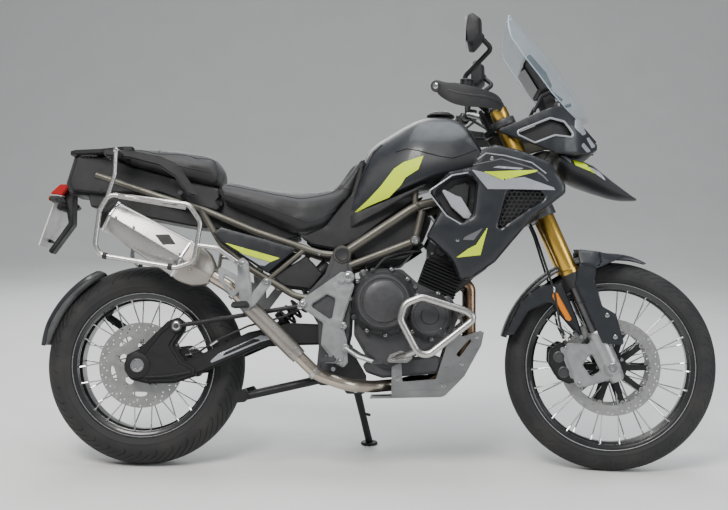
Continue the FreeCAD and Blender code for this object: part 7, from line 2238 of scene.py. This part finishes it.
racks = Form("pannier_racks").use(bare_steel)
RACK = [(-84, 881), (-112, 829), (-123, 718), (-107, 685), (137, 647), (196, 668), (215, 795), (176, 850)]
racks.loop([(x, -252, z) for x, z in RACK], 8, 34, 18, both=True)
racks.tube([(-88, -252, 872), (-66, -252, 944), (-66, -246, 1022)], 7.2, 30, 16, both=True)
racks.turned([(8, 0), (8, 66)], (-66, -184.3, 1025), (0, -1, 0), 16, both=True)
racks.tube([(205, -252, 720), (268, -252, 712), (333, -248, 668)], 7.2, 30, 16, both=True)
racks.turned([(9, 0), (9, 42)], (333, -213.3, 665), (0, -1, 0), 16, both=True)
racks.slab([(-50, 884), (-56, 868), (172, 832), (162, 852)], -261, -254, bend=5, bevel=2, both=True,
           holes=[[(-30, 878), (-30, 872), (20, 864), (20, 870)],
                  [(90, 858), (90, 852), (140, 845), (140, 850)]])
racks.use(bright_steel).bolts([(-66, -250, 1025), (333, -256, 665)], 8, 5, both=True, sides=16)
racks.use(black_plastic)
for x, z in ((-90, 683), (120, 650)):
    racks.turned([(9.5, -7), (10.5, -5), (10.5, 5), (9.5, 7)], (x, -252, z), (1, 0, -0.16), 16, both=True)
racks.set_down("pannier_racks")

# %% [markdown]
# The skid plate is bent sheet with two pressed grooves, and side walls with a window each.

# %% skid plate
skid = Form("skid_plate").use(skid_metal)
OUTER = [(1128, 456), (1120, 414), (1068, 318), (1000, 246), (760, 238)]
belly = []
for x, z in [(p.x, p.z) for p in rounded([(x, 0, z) for x, z in OUTER], 30)]:
    belly.append([(x, y, z) for y in (-112, -108, -72, -70, -24, -22, 22, 24, 70, 72, 108, 112)])
for row in belly:
    for k, (x, y, z) in enumerate(row):
        if abs(y) in (22, 70):
            row[k] = (x + 1.5, y, z - 3)
skid.sheet(belly, wall=4)
skid.slab([(1120, 460), (1128, 456), (1120, 414), (1068, 318), (1000, 246), (830, 240), (830, 338),
           (862, 352.7), (866, 290), (975, 300), (1016.4, 431.6), (1035.2, 471.6), (1062, 440)], -112, -108,
          bend=5, bevel=1, both=True, holes=[[(1052, 372), (1092, 428), (1084, 432), (1040, 380)]])
skid.use(bright_steel).bolts([(850, -112, 300), (1000, -112, 280), (1060, -112, 352), (1108, -112, 440)], 7,
                             4, both=True, sides=16)
skid.use(black_plastic)
for y in (-56, 56):
    skid.slab([(1000, 252), (1066, 322), (1074, 312), (1008, 244)], y - 10, y + 10, bend=2, bevel=1)
skid.set_down("skid_plate")

# %% [markdown]
# The side stand is down, and its foot lies flat on the ground although the machine leans. The centre stand is
# folded up below the engine.

# %% stands
stand_pivot, stand_foot = Vector((705, 170, 262)), Vector((752, 290, 49.9))
leg = stand_foot - stand_pivot
fold_axis = Vector((0, -leg.z, leg.y)).normalized()
ground_way = Vector((0, -math.sin(LEAN), math.cos(LEAN)))
stand = Form("side_stand", "side_stand").use(black_cast)
stand.turned([(8.6, -9), (17, -9), (18, -8), (18, 8), (17, 9), (8.6, 9)], stand_pivot, fold_axis, 32,
             closed=True, caps=False)
ankle = stand_foot + ground_way * 9
knee_at = stand_pivot + leg.normalized() * 14
stand.tube([knee_at, knee_at.lerp(ankle, 0.5), ankle], 13, radii=[14, 12.4, 13], sides=20)
stand.turned([(28, 0.4), (30, 2), (30, 7.5), (27.5, 10), (14, 12)], stand_foot, ground_way, 32)
stand.tube([knee_at.lerp(ankle, 0.45), knee_at.lerp(ankle, 0.5) + Vector((26, 0, 4))], 5, sides=10)
stand.set_down("side_stand")
bracket = Form("side_stand_pin").use(bright_steel)
bracket.turned([(8, -30), (8, 15), (7, 18)], stand_pivot, fold_axis, 20)
bracket.turned([(13, 10), (13, 16), (11, 17), (1, 17)], stand_pivot, fold_axis, 6)
bracket.set_down()

centre = Form("centre_stand", "centre_stand").use(black_cast)
centre.tube([(612, -136, 296), (612, 136, 296)], 14, sides=24)
centre.tube([(612, -88, 296), (335, -110, 232)], 13, sides=18, both=True)
centre.slab([(318, 214), (352, 218), (366, 240), (350, 262), (312, 250)], -131, -93, bend=6, bevel=3,
            both=True)
centre.tube([(430, -108, 254), (430, 108, 254)], 10, sides=16)
centre.tube([(420, 112, 252), (440, 150, 250), (450, 176, 254)], 6, 20, 10)
centre.set_down("centre_stand")
